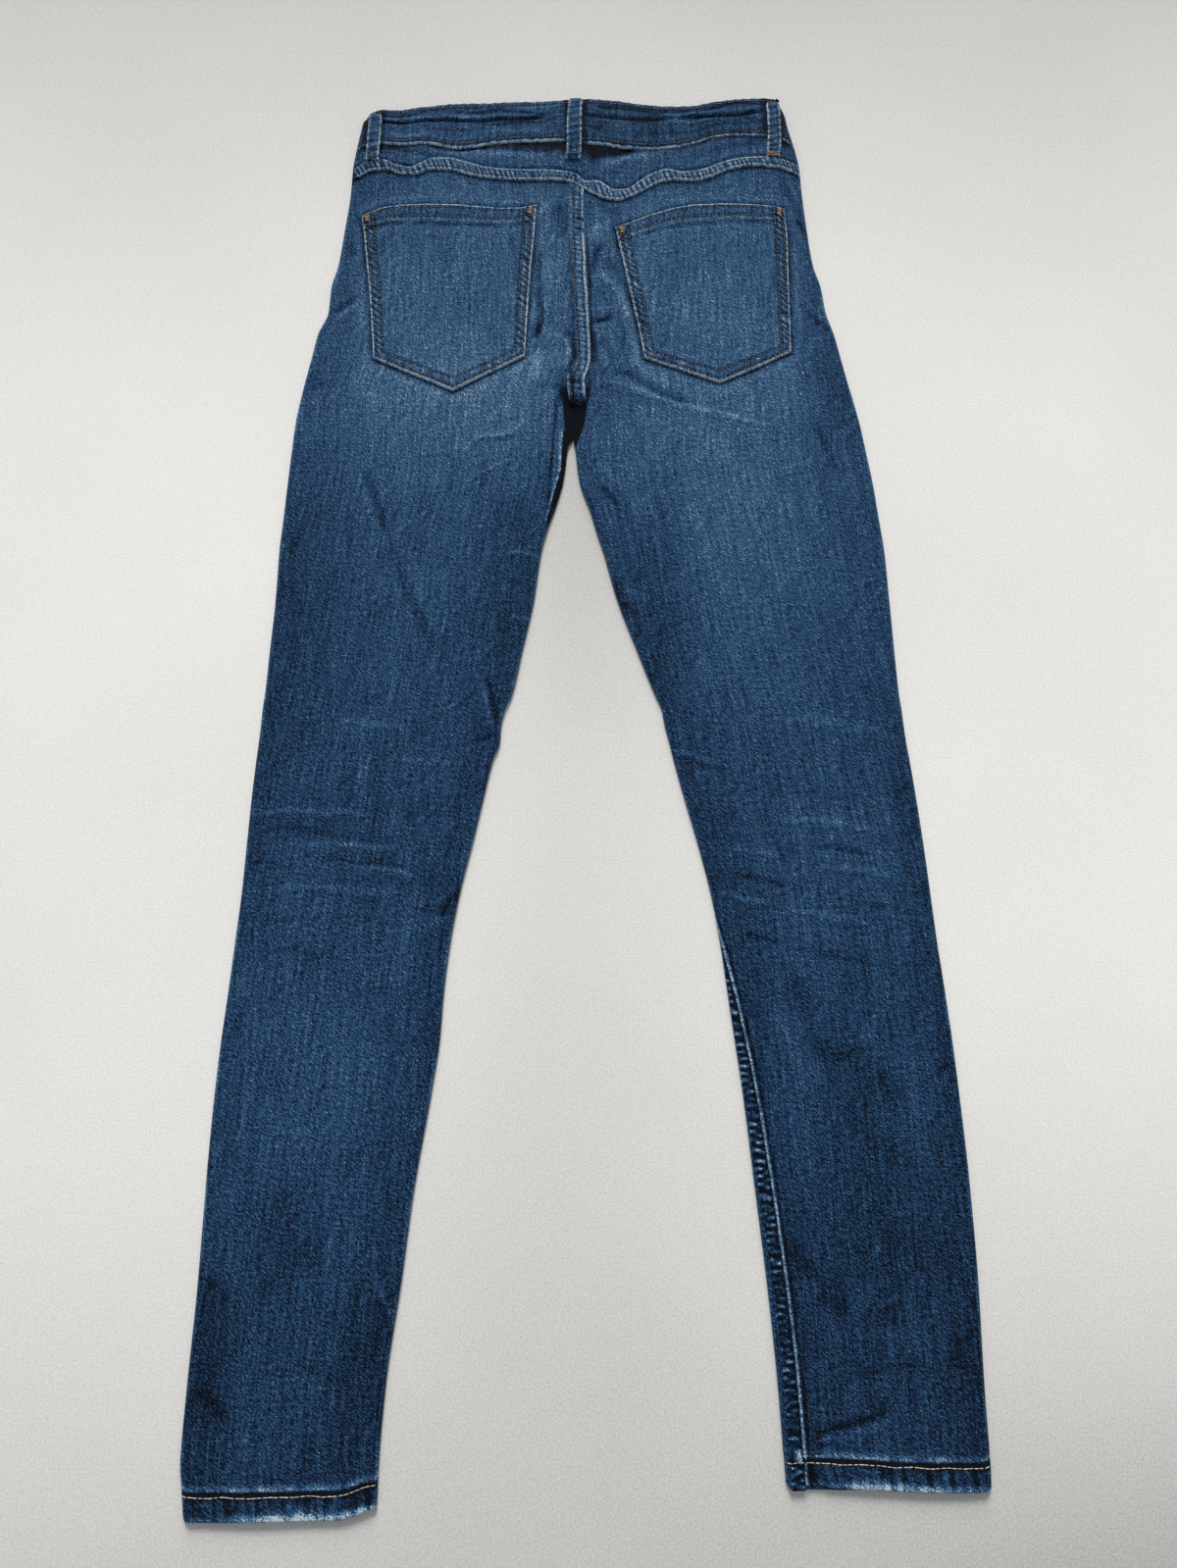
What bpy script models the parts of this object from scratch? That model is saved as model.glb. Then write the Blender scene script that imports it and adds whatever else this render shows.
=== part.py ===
"""Skinny jeans, laid flat with the back facing up.

World: metres, +Z up from the surface they lie on, +Y from the hems to the waist, +X to the wearer's right.
Each leg is a flattened tube. Its section is a ring: flat underneath, rounded at the two folds, gently
crowned on top. The ring is shared out between the cut panels at the side seam and the inside leg seam.
"""

import math

import bmesh
import bpy
from mathutils import Vector

MM = 0.001

# ---------------------------------------------------------------- driving sizes
CLOTH = 1.0 * MM  # stretch denim, one layer
BAND_WALL = 2.6 * MM  # waistband: two layers of denim and its interfacing
POCKET_WALL = 1.6 * MM  # back pocket, with its turned edges
LOOP_WALL = 1.8 * MM  # belt loop, folded in three
SEAM_GAP = 0.3 * MM  # between neighbouring pieces
FOLD_SHARE = 0.44  # height of the fold's outermost line, as a share of the cloth's height beside it
TOP_ROLL = 4.0 * MM  # how far in from the fold the top turns level
UNDER_ROLL = 2.8 * MM  # how far in from the fold the underside is flat
EDGE_SHARE, SWELL = 0.80, 0.045  # height just inside the folds, and how far in the full height is reached
SEAM_IN = 9.0 * MM  # how far under the leg its two seams lie
LOOP_WIDE = 11.5 * MM
HEM_DEEP = 14.0 * MM
HEM_STEP = 1.1 * MM  # the hem's extra layers stand this proud
FLOOR_Z = 2.8 * MM  # top of the cloth in the hollow between the legs
SPLIT_Y = 0.195  # where the four inside seams meet and the legs part
BAND_TOP = 9.0 * MM
BAND_UNDER = 4.0 * MM
WAIST_LIFT = 1.6 * MM  # the yoke rises to the waistband
BACK_LIFT = 4.2 * MM  # and the back rises over the button
LOOP_LIFT = 2.1 * MM  # the front lies over its belt loops
ZIP_WALL = 1.0 * MM
MOUTH_WIDE, MOUTH_DEEP = 0.080, 0.068
BUTTON_R = 8.5 * MM
BUTTON_X, BUTTON_Y = -0.006, 0.488
BUTTON_LIFT = 3.9 * MM  # the button's head holds the front this far off the surface

# ------------------------------------------------- outline, a row for each section
# y: height of the section; left_out, right_out: the two outer folds;
# left_in, right_in: the folds on the inside of the legs (the centre seam above the crotch);
# top: greatest height of the upper surface, in millimetres like the rest
SECTIONS_MM = [
    # y,     left_out, left_in, right_in, right_out, top
    (536.0, -179.0, -7.1, -7.1, 162.5, 6.6),
    (520.0, -184.0, -7.0, -7.0, 167.0, 6.6),
    (492.0, -189.0, -7.0, -7.0, 173.6, 6.6),
    (470.0, -192.0, -6.8, -6.8, 176.7, 6.3),
    (447.0, -192.8, -6.5, -6.5, 177.4, 6.0),
    (414.0, -196.0, -6.1, -6.1, 180.0, 5.9),
    (381.0, -199.6, -4.9, -4.9, 183.6, 5.9),
    (359.0, -204.6, -3.9, -3.9, 189.3, 5.9),
    (338.0, -205.6, -3.2, -3.2, 191.9, 5.9),
    (317.0, -213.2, -2.5, -2.5, 197.8, 6.0),
    (296.0, -217.0, -3.5, -3.0, 202.2, 6.0),
    (279.0, -220.3, -10.8, 2.3, 205.6, 6.0),
    (262.0, -223.2, -19.5, 1.6, 209.4, 6.0),
    (240.0, -226.5, -19.7, -0.6, 213.9, 5.9),
    (215.0, -228.2, -18.6, -6.6, 217.8, 5.9),
    (190.0, -229.6, -18.6, -3.4, 221.4, 5.9),
    (165.0, -231.0, -23.2, 5.3, 224.0, 5.9),
    (133.0, -232.9, -32.0, 13.5, 227.3, 5.8),
    (93.0, -233.4, -38.8, 24.0, 228.9, 5.7),
    (54.0, -235.2, -46.8, 38.1, 230.3, 5.7),
    (16.0, -237.0, -55.0, 52.5, 232.0, 5.7),
    (-21.0, -239.2, -63.0, 61.8, 235.2, 5.7),
    (-58.0, -241.5, -72.6, 71.2, 239.4, 5.7),
    (-94.0, -242.9, -81.2, 80.9, 242.7, 5.7),
    (-129.0, -244.2, -89.2, 89.2, 245.3, 5.7),
    (-164.0, -246.7, -95.0, 95.0, 247.9, 5.6),
    (-198.0, -249.0, -98.6, 99.2, 251.1, 5.6),
    (-231.0, -251.6, -100.6, 103.4, 253.9, 5.5),
    (-264.0, -253.6, -105.0, 107.6, 256.0, 5.4),
    (-328.0, -255.4, -114.9, 114.2, 259.2, 5.3),
    (-389.0, -256.2, -121.8, 120.4, 260.3, 5.3),
    (-449.0, -258.5, -129.4, 125.2, 259.6, 5.1),
    (-495.0, -259.6, -132.1, 127.6, 260.0, 4.9),
    (-513.0, -257.2, -132.4, 128.4, 259.4, 4.8),
    (-530.0, -254.9, -132.5, 129.0, 258.3, 4.8),
]
SECTION_COLUMNS = ("y", "left_out", "left_in", "right_in", "right_out", "top")

# across the back: the waistband's two edges and the yoke seam, in millimetres
SEAMS_MM = [
    # x,     band_top, band_bottom, yoke_seam
    (-195.0, 506.0, 486.5, 463.0),
    (-182.0, 511.5, 487.5, 467.0),
    (-170.0, 520.0, 488.4, 469.4),
    (-155.0, 519.8, 489.0, 466.6),
    (-140.0, 522.0, 487.0, 463.6),
    (-125.0, 520.8, 488.2, 468.6),
    (-110.0, 525.0, 483.6, 469.2),
    (-92.0, 525.4, 482.6, 462.2),
    (-73.0, 526.4, 488.8, 460.8),
    (-55.0, 527.2, 487.2, 461.4),
    (-30.0, 529.0, 488.4, 459.2),
    (-7.0, 530.4, 488.4, 451.6),
    (8.0, 529.9, 486.4, 449.2),
    (20.0, 528.6, 486.0, 441.4),
    (32.0, 527.2, 486.6, 444.2),
    (48.0, 525.4, 483.8, 455.4),
    (64.0, 523.6, 484.2, 461.2),
    (80.0, 522.6, 485.2, 455.2),
    (96.0, 525.0, 486.8, 459.2),
    (110.0, 529.4, 492.4, 469.0),
    (124.0, 530.6, 494.8, 473.2),
    (140.0, 531.0, 494.4, 472.4),
    (156.0, 530.4, 493.6, 468.6),
    (166.0, 520.0, 491.8, 463.4),
    (180.0, 508.0, 490.4, 461.0),
]
SEAM_COLUMNS = ("x", "band_top", "band_bottom", "yoke_seam")

# the largest folds of the upper surface, soft ridges (+) and troughs (-), in millimetres
FOLDS_MM = [
    # from x, y,    to x, y,     half-width, rise
    (-36.0, 425.0, -30.0, 330.0, 7.0, -1.4),
    (-22.0, 420.0, -18.0, 320.0, 8.0, 1.0),
    (12.0, 418.0, 38.0, 318.0, 8.0, 1.2),
    (22.0, 352.0, 38.0, 300.0, 6.0, -1.1),
    (20.0, 300.0, 88.0, 262.0, 8.0, -1.2),
    (-24.0, 330.0, -44.0, 280.0, 7.0, -1.0),
    (-200.0, 356.0, -176.0, 330.0, 6.0, -1.0),
    (-160.0, 215.0, -118.0, 90.0, 10.0, -1.1),
    (-118.0, 90.0, -92.0, 20.0, 10.0, -0.8),
    (-84.0, 40.0, -70.0, -30.0, 8.0, -0.8),
    (-220.0, -90.0, -110.0, -104.0, 9.0, -0.6),
    (-120.0, -128.0, -90.0, -120.0, 8.0, -0.9),
    (110.0, -60.0, 220.0, -72.0, 9.0, -0.6),
    (106.0, -140.0, 190.0, -152.0, 9.0, -0.7),
    (150.0, -220.0, 178.0, -300.0, 10.0, -0.7),
    (160.0, -455.0, 215.0, -432.0, 8.0, -0.8),
    (-170.0, 430.0, -40.0, 440.0, 12.0, 0.5),
]

# the inside leg seam: how far it lies from the inner fold, + on top of the leg and - under it
INSEAM_MM = [
    # y,      left,  right
    (530.0, -9.0, -9.0),
    (-80.0, -9.0, -9.0),
    (-125.0, -9.0, -5.0),
    (-160.0, -9.0, 0.5),
    (-205.0, -9.0, 6.0),
    (-260.0, -9.0, 9.5),
    (-350.0, -9.0, 12.5),
    (-450.0, -9.0, 13.5),
    (-530.0, -9.0, 13.5),
]
INSEAM_COLUMNS = ("y", "left", "right")

# the waistband's columns on the front: each half runs to its own end, and the ends lap under the button
FRONT_BAND_X = {
    "left": [x * MM for x in (-172, -148, -118, -86, -74.5, -57.5, -46, -36, -28, -20, -13, -6, 2, 10)],
    "right": [x * MM for x in (158, 132, 104, 74, 62.5, 45.5, 34, 28, 21, 14, 7, 0, -7, -14, -22, -30)],
}

# the line where the two fronts meet, from the waistband to the split
FLY_MM = [
    # y,     x
    (480.0, 9.5),
    (400.0, 8.0),
    (345.0, 4.0),
    (315.0, -1.0),
    (280.0, -6.5),
    (240.0, -9.5),
    (190.0, -11.0),
]
FLY_COLUMNS = ("y", "x")

# back pockets, corners in millimetres, clockwise seen from above
POCKETS_MM = {
    "left": [(-182.0, 417.0), (-172.0, 425.4), (-155.0, 431.6), (-133.0, 432.6), (-100.0, 431.8), (-70.0, 430.4),
             (-39.8, 428.2), (-47.8, 293.2), (-103.8, 262.8), (-166.4, 291.2)],
    "right": [(24.5, 411.6), (48.0, 419.6), (76.0, 427.4), (95.0, 431.6), (121.0, 432.8), (150.0, 432.0),
              (161.6, 426.6), (163.8, 394.0), (161.6, 297.4), (104.6, 269.4), (46.2, 291.2)],
}

# belt loops on the back, by their middle line, and those on the front
BACK_LOOPS_MM = [
    # name,            top x, bottom x, top y, bottom y
    ("belt_loop_back", -8.5, -8.5, 531.0, 471.0),
    ("belt_loop_back_left", -173.5, -173.6, 517.0, 472.0),
    ("belt_loop_back_right", 156.6, 153.6, 530.6, 474.4),
]
FRONT_LOOPS_MM = [
    ("belt_loop_front_left", -66.0, -67.0, 513.0, 461.0),
    ("belt_loop_front_right", 54.0, 55.0, 513.0, 461.0),
]

FINISHES = {
    # name: colour, roughness, metallic
    "denim": ((0.055, 0.13, 0.27, 1.0), 0.85, 0.0),
    "denim_pocket": ((0.075, 0.165, 0.31, 1.0), 0.85, 0.0),
    "denim_trim": ((0.06, 0.14, 0.28, 1.0), 0.85, 0.0),
    "zip_tape": ((0.03, 0.05, 0.10, 1.0), 0.7, 0.0),
    "metal": ((0.42, 0.36, 0.28, 1.0), 0.35, 1.0),
}


# ---------------------------------------------------------------- small helpers
def column(table, names, name):
    k = names.index(name)
    rows = sorted(table)
    return [r[0] * MM for r in rows], [r[k] * MM for r in rows]


def monotone(xs, ys):
    """A smooth curve through the points that doesn't overshoot them."""
    n = len(xs)
    h = [xs[i + 1] - xs[i] for i in range(n - 1)]
    d = [(ys[i + 1] - ys[i]) / h[i] for i in range(n - 1)]
    m = [d[0]] + [0.0] * (n - 2) + [d[-1]]
    for i in range(1, n - 1):
        if d[i - 1] * d[i] > 0:
            w1, w2 = 2 * h[i] + h[i - 1], h[i] + 2 * h[i - 1]
            m[i] = (w1 + w2) / (w1 / d[i - 1] + w2 / d[i])

    def at(x):
        if x <= xs[0]:
            return ys[0]
        if x >= xs[-1]:
            return ys[-1]
        i = max(j for j in range(n - 1) if xs[j] <= x)
        t = (x - xs[i]) / h[i]
        a, b = ys[i], ys[i + 1]
        return (
            a * (1 + 2 * t) * (1 - t) ** 2
            + m[i] * h[i] * t * (1 - t) ** 2
            + b * t * t * (3 - 2 * t)
            - m[i + 1] * h[i] * t * t * (1 - t)
        )

    return at


SECTION = {c: monotone(*column(SECTIONS_MM, SECTION_COLUMNS, c)) for c in SECTION_COLUMNS[1:]}
SEAM = {c: monotone(*column(SEAMS_MM, SEAM_COLUMNS, c)) for c in SEAM_COLUMNS[1:]}
INSEAM = {c: monotone(*column(INSEAM_MM, INSEAM_COLUMNS, c)) for c in INSEAM_COLUMNS[1:]}
FLY_X = monotone(*column(FLY_MM, FLY_COLUMNS, "x"))


def smooth(a, b, x):
    """0 at a, 1 at b, with soft ends. a may be above b."""
    t = min(1.0, max(0.0, (x - a) / (b - a)))
    return t * t * (3 - 2 * t)


def lerp(a, b, t):
    return a + (b - a) * t


def steps(a, b, n):
    return [lerp(a, b, i / (n - 1)) for i in range(n)]


def quarter(semi_a, semi_b):
    """Length round a quarter of an ellipse."""
    return math.pi / 2 * math.sqrt((semi_a**2 + semi_b**2) / 2)


OVER = quarter(TOP_ROLL, 2.7 * MM)
# stations round the side fold, from the side seam under the leg to the level top
OUT_STATIONS = (-SEAM_IN, -3.8 * MM, -1.6 * MM, 0.6 * MM, 0.55 * OVER, 1.05 * OVER)
LEVEL = OUT_STATIONS[-1]
# stations of the front near the inside leg seam; the right one goes on round the fold to the top
FRONT_STATIONS = {
    "left": (-17.0 * MM, -9.0 * MM),
    "right": (-17.0 * MM, -6.0 * MM, -3.5 * MM, -1.0 * MM, 2.0 * MM, 6.0 * MM, 13.5 * MM),
}


# ---------------------------------------------------------------- heights
def bump(x, y):
    """1 over the button, fading out round it."""
    return math.exp(-(((x - BUTTON_X) / 0.030) ** 2) - (((y - BUTTON_Y) / 0.036) ** 2))


def fold_rise(x, y):
    """What the largest folds add at a point."""
    total = 0.0
    for x0, y0, x1, y1, wide, rise in FOLDS_MM:
        ax, ay, bx, by = x0 * MM, y0 * MM, x1 * MM, y1 * MM
        dx, dy = bx - ax, by - ay
        long = math.hypot(dx, dy)
        along = ((x - ax) * dx + (y - ay) * dy) / long**2
        off = abs((x - ax) * dy - (y - ay) * dx) / long
        ends = smooth(-0.15, 0.25, along) * smooth(1.15, 0.75, along)
        total += rise * MM * math.exp(-((off / (wide * MM)) ** 2)) * ends
    return total


def hem_line(side, x):
    """Lower end of a leg at x: the right hem lies a little higher and slopes."""
    if side == "left":
        return -0.5298 + 0.0012 * math.sin((x + 0.19) * 26)
    return lerp(-0.5095, -0.5128, smooth(0.135, 0.25, x))


def crown(side, x, y):
    """The top swells a little towards the middle of each leg and of the seat."""
    out, inn = SECTION[side + "_out"](y), SECTION[side + "_in"](y)
    across = min(1.0, max(0.0, (x - out) / (inn - out)))
    edge = min(abs(x - out), abs(x - inn) if y < 0.27 else 1.0)
    sag = 0.06 * math.sin(math.pi * across * lerp(1.0, 0.55, smooth(0.24, 0.30, y)))
    return lerp(EDGE_SHARE, 0.94, smooth(0.0, SWELL, edge)) + sag


def top_height(side, x, y):
    """Full height of the upper surface, away from the folds at its edges."""
    hem = HEM_STEP * smooth(0.0025, 0.0, y - hem_line(side, x) - HEM_DEEP) if y < -0.45 else 0.0
    waist = WAIST_LIFT * smooth(0.446, 0.478, y) + BACK_LIFT * bump(x, y)
    return SECTION["top"](y) * crown(side, x, y) + fold_rise(x, y) + hem + waist


def band_height(side, x):
    return BAND_TOP * lerp(1.0, crown(side, x, 0.505), 0.7) + BACK_LIFT * bump(x, BUTTON_Y)


def front_rise(x, y):
    """How far the fastened button and the belt loops underneath hold the front off the surface."""
    loops = max(smooth(0.020, 0.0085, abs(x - row[1] * MM)) for row in FRONT_LOOPS_MM)
    return BUTTON_LIFT * bump(x, y) + LOOP_LIFT * loops * smooth(0.430, 0.446, y)


# ---------------------------------------------------------------- round the folds
def fold_low(y):
    return FOLD_SHARE * EDGE_SHARE * SECTION["top"](y)


def ring(side, edge, y, s, height, low=None, under=UNDER_ROLL):
    """A point of the outer surface, s along it from the fold: + on top, - underneath."""
    inward = 1.0 if (side == "left") == (edge == "out") else -1.0
    low = low or fold_low(y)
    if s >= 0:
        turn = min(1.0, s / OVER) * math.pi / 2
        d = TOP_ROLL * (1 - math.cos(turn)) + max(0.0, s - OVER)
        x = SECTION[f"{side}_{edge}"](y) + inward * d
        return x, low + (height(side, x, y) - low) * math.sin(turn)
    below = quarter(under, low)
    turn = min(1.0, -s / below) * math.pi / 2
    d = under * (1 - math.cos(turn)) + max(0.0, -s - below)
    return SECTION[f"{side}_{edge}"](y) + inward * d, low * (1 - math.sin(turn))


def underside(s):
    """How far round the fold a station is: 0 on top of it, 1 below it."""
    return smooth(0.010, -0.007, s)


def front_band_edges(x):
    """The waistband's top and bottom on the front, which dips towards the fly."""
    dip = math.exp(-(((x + 0.006) / 0.11) ** 2))
    return 0.5165 - 0.0125 * dip, 0.4815 - 0.0130 * dip


def band_edges(x, u):
    top, low = front_band_edges(x)
    return lerp(SEAM["band_top"](x), top, u), lerp(SEAM["band_bottom"](x), low, u)


def seam_room(s):
    """Half the gap at the inside leg seam; more where it crosses the fold, whose inner side is shorter."""
    return SEAM_GAP / 2 + 0.9 * MM * math.exp(-((s / (4 * MM)) ** 2))


def split_end(side, y):
    """Station of the back's inner edge: across the hollow above the split, under the leg below it."""
    gap = abs(SECTION["right_in"](y) - SECTION["left_in"](y)) / 2
    parted = smooth(SPLIT_Y + 0.005, SPLIT_Y - 0.004, y)
    turned = smooth(SPLIT_Y - 0.006, SPLIT_Y - 0.036, y)
    inseam = INSEAM[side](y)
    return lerp(lerp(-gap, -0.8 * MM, parted), inseam, turned) + (seam_room(inseam) if turned > 0.99 else SEAM_GAP / 2)


def inner_points(side, y_of, y):
    """The back's last stations, at the centre seam, over the hollow or round the inside of the leg."""
    sign = 1.0 if side == "left" else -1.0
    end = split_end(side, y)
    hollow = [LEVEL, 0.72 * LEVEL, 0.43 * LEVEL, 0.17 * LEVEL, 0.02 * end, 0.5 * end, end]
    leg = steps(max(LEVEL, end + 12 * MM), end, 7)
    turned = smooth(SPLIT_Y + 0.005, SPLIT_Y - 0.004, y)
    wrapped = smooth(SPLIT_Y - 0.004, SPLIT_Y - 0.010, y)
    seat = smooth(0.262, 0.292, y)
    low = lerp(FLOOR_Z, fold_low(y), wrapped)
    x_fold = SECTION[side + "_in"](y)
    points = []
    for k in range(7):
        s = lerp(hollow[k], leg[k], turned)
        x, z = ring(side, "in", y, s, top_height, low)
        if s < 0:
            x, z = lerp(x_fold - sign * s, x, wrapped), lerp(low, z, wrapped)
        away = (6 - k) * 6 * MM + SEAM_GAP / 2
        x_seat = SECTION[side + "_in"](max(y, 0.285)) - sign * away
        x, z = lerp(x, x_seat, seat), lerp(z, top_height(side, x_seat, y), seat)
        points.append((x, y_of(x, 0.0), z))
    return points


def back_row(side, y_of, n_mid):
    """One section of the back or the yoke, from the side seam over the top to its inner edge."""
    out = SECTION[side + "_out"]
    near = y_of(out(0.45 if y_of(0.0, 0.0) > 0.3 else y_of(0.0, 0.0)), 0.0)
    points = []
    for s in OUT_STATIONS:
        x, _ = ring(side, "out", near, s, top_height)
        y = y_of(x, underside(s))
        x, z = ring(side, "out", y, s, top_height)
        points.append((x, y, z))
    inner = inner_points(side, y_of, y_of(SECTION[side + "_in"](near), 0.0))
    first, last = points[-1], inner[0]
    for k in range(1, n_mid + 1):
        x = lerp(first[0], last[0], k / (n_mid + 1))
        y = y_of(x, 0.0)
        points.append((x, y, top_height(side, x, y)))
    return points + inner


def front_row(side, y):
    """One section of the front, flat on the surface, from the side seam to the fly or the inside leg seam."""
    sign = 1.0 if side == "left" else -1.0
    out = [ring(side, "out", y, s, top_height) for s in (-SEAM_IN - SEAM_GAP, -SEAM_IN - 6 * MM)]
    if y > SPLIT_Y - 0.036:
        s_back = min(0.0, split_end(side, y)) if y < SPLIT_Y - 0.004 else -0.8 * MM
        x_back, _ = ring(side, "in", y, s_back, top_height)
        lean = math.cos(min(1.0, -s_back / quarter(UNDER_ROLL, fold_low(y))) * math.pi / 2 * 0.7)
        d = abs(x_back - SECTION[side + "_in"](y)) + SEAM_GAP + 1.7 * CLOTH * lean
        parted = smooth(SPLIT_Y + 0.005, SPLIT_Y - 0.004, y)
        edge = lerp(FLY_X(y) - sign * SEAM_GAP / 2, SECTION[side + "_in"](y) - sign * d, parted)
        inner = [(edge - sign * away, 0.0) for away in steps(16 * MM, 0.0, len(FRONT_STATIONS[side]))]
    else:
        end, count = INSEAM[side](y) - seam_room(INSEAM[side](y)), len(FRONT_STATIONS[side]) - 1
        stations = [min(s, end - (count - k) * 0.8 * MM) for k, s in enumerate(FRONT_STATIONS[side])]
        inner = [ring(side, "in", y, s, top_height) for s in stations[:-1] + [end]]
    a, b = out[-1][0], inner[0][0]
    loop = next(row[1] for row in FRONT_LOOPS_MM if row[0].endswith(side)) * MM
    at_loop = [loop + sign * w * MM for w in (-20.0, -8.5, 8.5, 20.0)]
    middle = [(lerp(lerp(a, b, (k + 1) / 5), at_loop[k], smooth(0.41, 0.445, y)), 0.0) for k in range(4)]
    return [(x, y, z + front_rise(x, y)) for x, z in out + middle + inner]


# ---------------------------------------------------------------- making objects
def clear_scene():
    for old in list(bpy.data.objects):
        bpy.data.objects.remove(old, do_unlink=True)


def material(name):
    found = bpy.data.materials.get(name)
    if found:
        return found
    colour, rough, metal = FINISHES[name]
    made = bpy.data.materials.new(name)
    made.use_nodes = True
    shader = made.node_tree.nodes["Principled BSDF"]
    shader.inputs["Base Color"].default_value = colour
    shader.inputs["Roughness"].default_value = rough
    shader.inputs["Metallic"].default_value = metal
    made.diffuse_color = colour
    return made


def collection(name):
    made = bpy.data.collections.new(name)
    bpy.context.scene.collection.children.link(made)
    return made


def loft(name, rows, where, finish, thick, first_up=True, outward=False):
    """A sheet through rows of points, given its thickness by Solidify."""
    bm = bmesh.new()
    grid = [[bm.verts.new(p) for p in row] for row in rows]
    for a, b in zip(grid, grid[1:]):
        for i in range(len(a) - 1):
            bm.faces.new((a[i], a[i + 1], b[i + 1], b[i]))
    bm.normal_update()
    bm.faces.ensure_lookup_table()
    if (bm.faces[0].normal.z > 0) != first_up:
        bmesh.ops.reverse_faces(bm, faces=bm.faces[:])
    bmesh.ops.triangulate(bm, faces=bm.faces[:], quad_method="FIXED")
    return sheet_object(name, bm, where, finish, thick, outward)


def sheet_object(name, bm, where, finish, thick, outward=False):
    mesh = bpy.data.meshes.new(name)
    bm.to_mesh(mesh)
    bm.free()
    obj = bpy.data.objects.new(name, mesh)
    where.objects.link(obj)
    mesh.materials.append(material(finish))
    wall = obj.modifiers.new("cloth wall", "SOLIDIFY")
    wall.thickness = thick
    wall.offset = 1.0 if outward else -1.0
    wall.use_even_offset = True
    wall.use_quality_normals = True
    return obj


def solid_of(obj):
    """The object with its modifiers worked into its mesh."""
    graph = bpy.context.evaluated_depsgraph_get()
    graph.update()
    mesh = bpy.data.meshes.new_from_object(obj.evaluated_get(graph))
    obj.modifiers.clear()
    obj.data = mesh
    return obj


def primitive(name, where, hidden=False):
    """Name the object just added, move it to its collection, and hide it if it only cuts."""
    made = bpy.context.object
    made.name = name
    for c in list(made.users_collection):
        c.objects.unlink(made)
    where.objects.link(made)
    if hidden:
        made.hide_render = True
        made.display_type = "WIRE"
    return made


def boolean(obj, tool, operation="DIFFERENCE"):
    m = obj.modifiers.new(tool.name, "BOOLEAN")
    m.operation, m.object, m.solver = operation, tool, "EXACT"


# ---------------------------------------------------------------- the body
BODY_ROWS = (0.42, 0.38, 0.35, 0.325, 0.303, 0.286, 0.270, 0.248, 0.22)
SPLIT_ROWS = (0.201, 0.195, 0.191, 0.187, 0.181, 0.174, 0.166, 0.157)
HEM_ROWS = (HEM_DEEP + 0.4 * MM, HEM_DEEP - 2.2 * MM, 0.0)
LEG_ROWS = (0.12, 0.06, 0.0, -0.06, -0.105, -0.129, -0.147, -0.163, -0.178, -0.20, -0.25, -0.32, -0.41, -0.48)


def build_back(side, parts):
    seam = lambda x, u: SEAM["yoke_seam"](x) - SEAM_GAP / 2
    rows = [back_row(side, seam, 5), back_row(side, lambda x, u: lerp(seam(x, u), 0.42, 0.5), 5)]
    rows += [back_row(side, lambda x, u, at=y: at, 5) for y in BODY_ROWS + SPLIT_ROWS + LEG_ROWS]
    for above in HEM_ROWS:
        rows.append(back_row(side, lambda x, u, up=above: hem_line(side, x) + up, 5))
    return loft(f"back_panel_{side}", rows, parts, "denim", CLOTH, first_up=False)


def under_band(x, u):
    """Where the yoke stops below the waistband, with more room where both turn round the fold."""
    return band_edges(x, u)[1] - SEAM_GAP * (1 + 6 * min(1.0, 4 * u))


def build_yoke(side, parts):
    rows = []
    for t in (0.0, 0.45, 1.0):
        edge = lambda x, u, k=t: lerp(under_band(x, u), SEAM["yoke_seam"](x) + SEAM_GAP / 2, k)
        rows.append(back_row(side, edge, 5))
    return loft(f"yoke_{side}", rows, parts, "denim", CLOTH, first_up=False)


def build_front(side, parts, cutters):
    rows = [[(x, front_band_edges(x)[1] - 3 * SEAM_GAP, front_rise(x, 0.4735)) for x, _, _ in front_row(side, 0.4735)]]
    for y in (0.460, 0.447, 0.434) + BODY_ROWS + SPLIT_ROWS + LEG_ROWS:
        rows.append(front_row(side, y))
    for above in HEM_ROWS:
        level = front_row(side, hem_line(side, 0.19) + above)
        rows.append([(x, hem_line(side, x) + above, z) for x, _, z in level])
    panel = solid_of(loft(f"front_panel_{side}", rows, parts, "denim", CLOTH, first_up=False))
    # the curved mouth of the front pocket takes away the panel's upper outer corner
    sign = 1.0 if side == "left" else -1.0
    bpy.ops.mesh.primitive_cylinder_add(
        vertices=40, radius=1.0, depth=0.02, location=(SECTION[side + "_out"](0.47) + sign * 0.012, 0.486, 0.001)
    )
    mouth = primitive(f"mouth_{side}", cutters, hidden=True)
    mouth.scale = (MOUTH_WIDE, MOUTH_DEEP, 1.0)
    boolean(panel, mouth)
    return panel


def build_facing(side, parts):
    """The piece that fills the pocket's mouth, joined at the side seam and lying behind the front."""
    sign = 1.0 if side == "left" else -1.0
    rows = []
    for y, drop in ((0.4735, 1.0), (0.455, 1.0), (0.436, 1.0), (0.4215, 1.0), (0.4192, 0.0), (0.402, 0.0), (0.388, 0.0)):
        fold = SECTION[side + "_out"](y)
        row = []
        for d, level in ((9.0, 0.0), (14.0, 0.55), (22.0, 1.0), (60.0, 1.0), (101.0, 1.0)):
            x = fold + sign * d * MM
            z = (CLOTH + SEAM_GAP) * lerp(1.0, level, drop)
            at = front_band_edges(x)[1] - 4 * SEAM_GAP if y == 0.4735 else y
            row.append((x, at, z + front_rise(x, at)))
        rows.append(row)
    return loft(f"pocket_facing_{side}", rows, parts, "denim", CLOTH, first_up=False)


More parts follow.
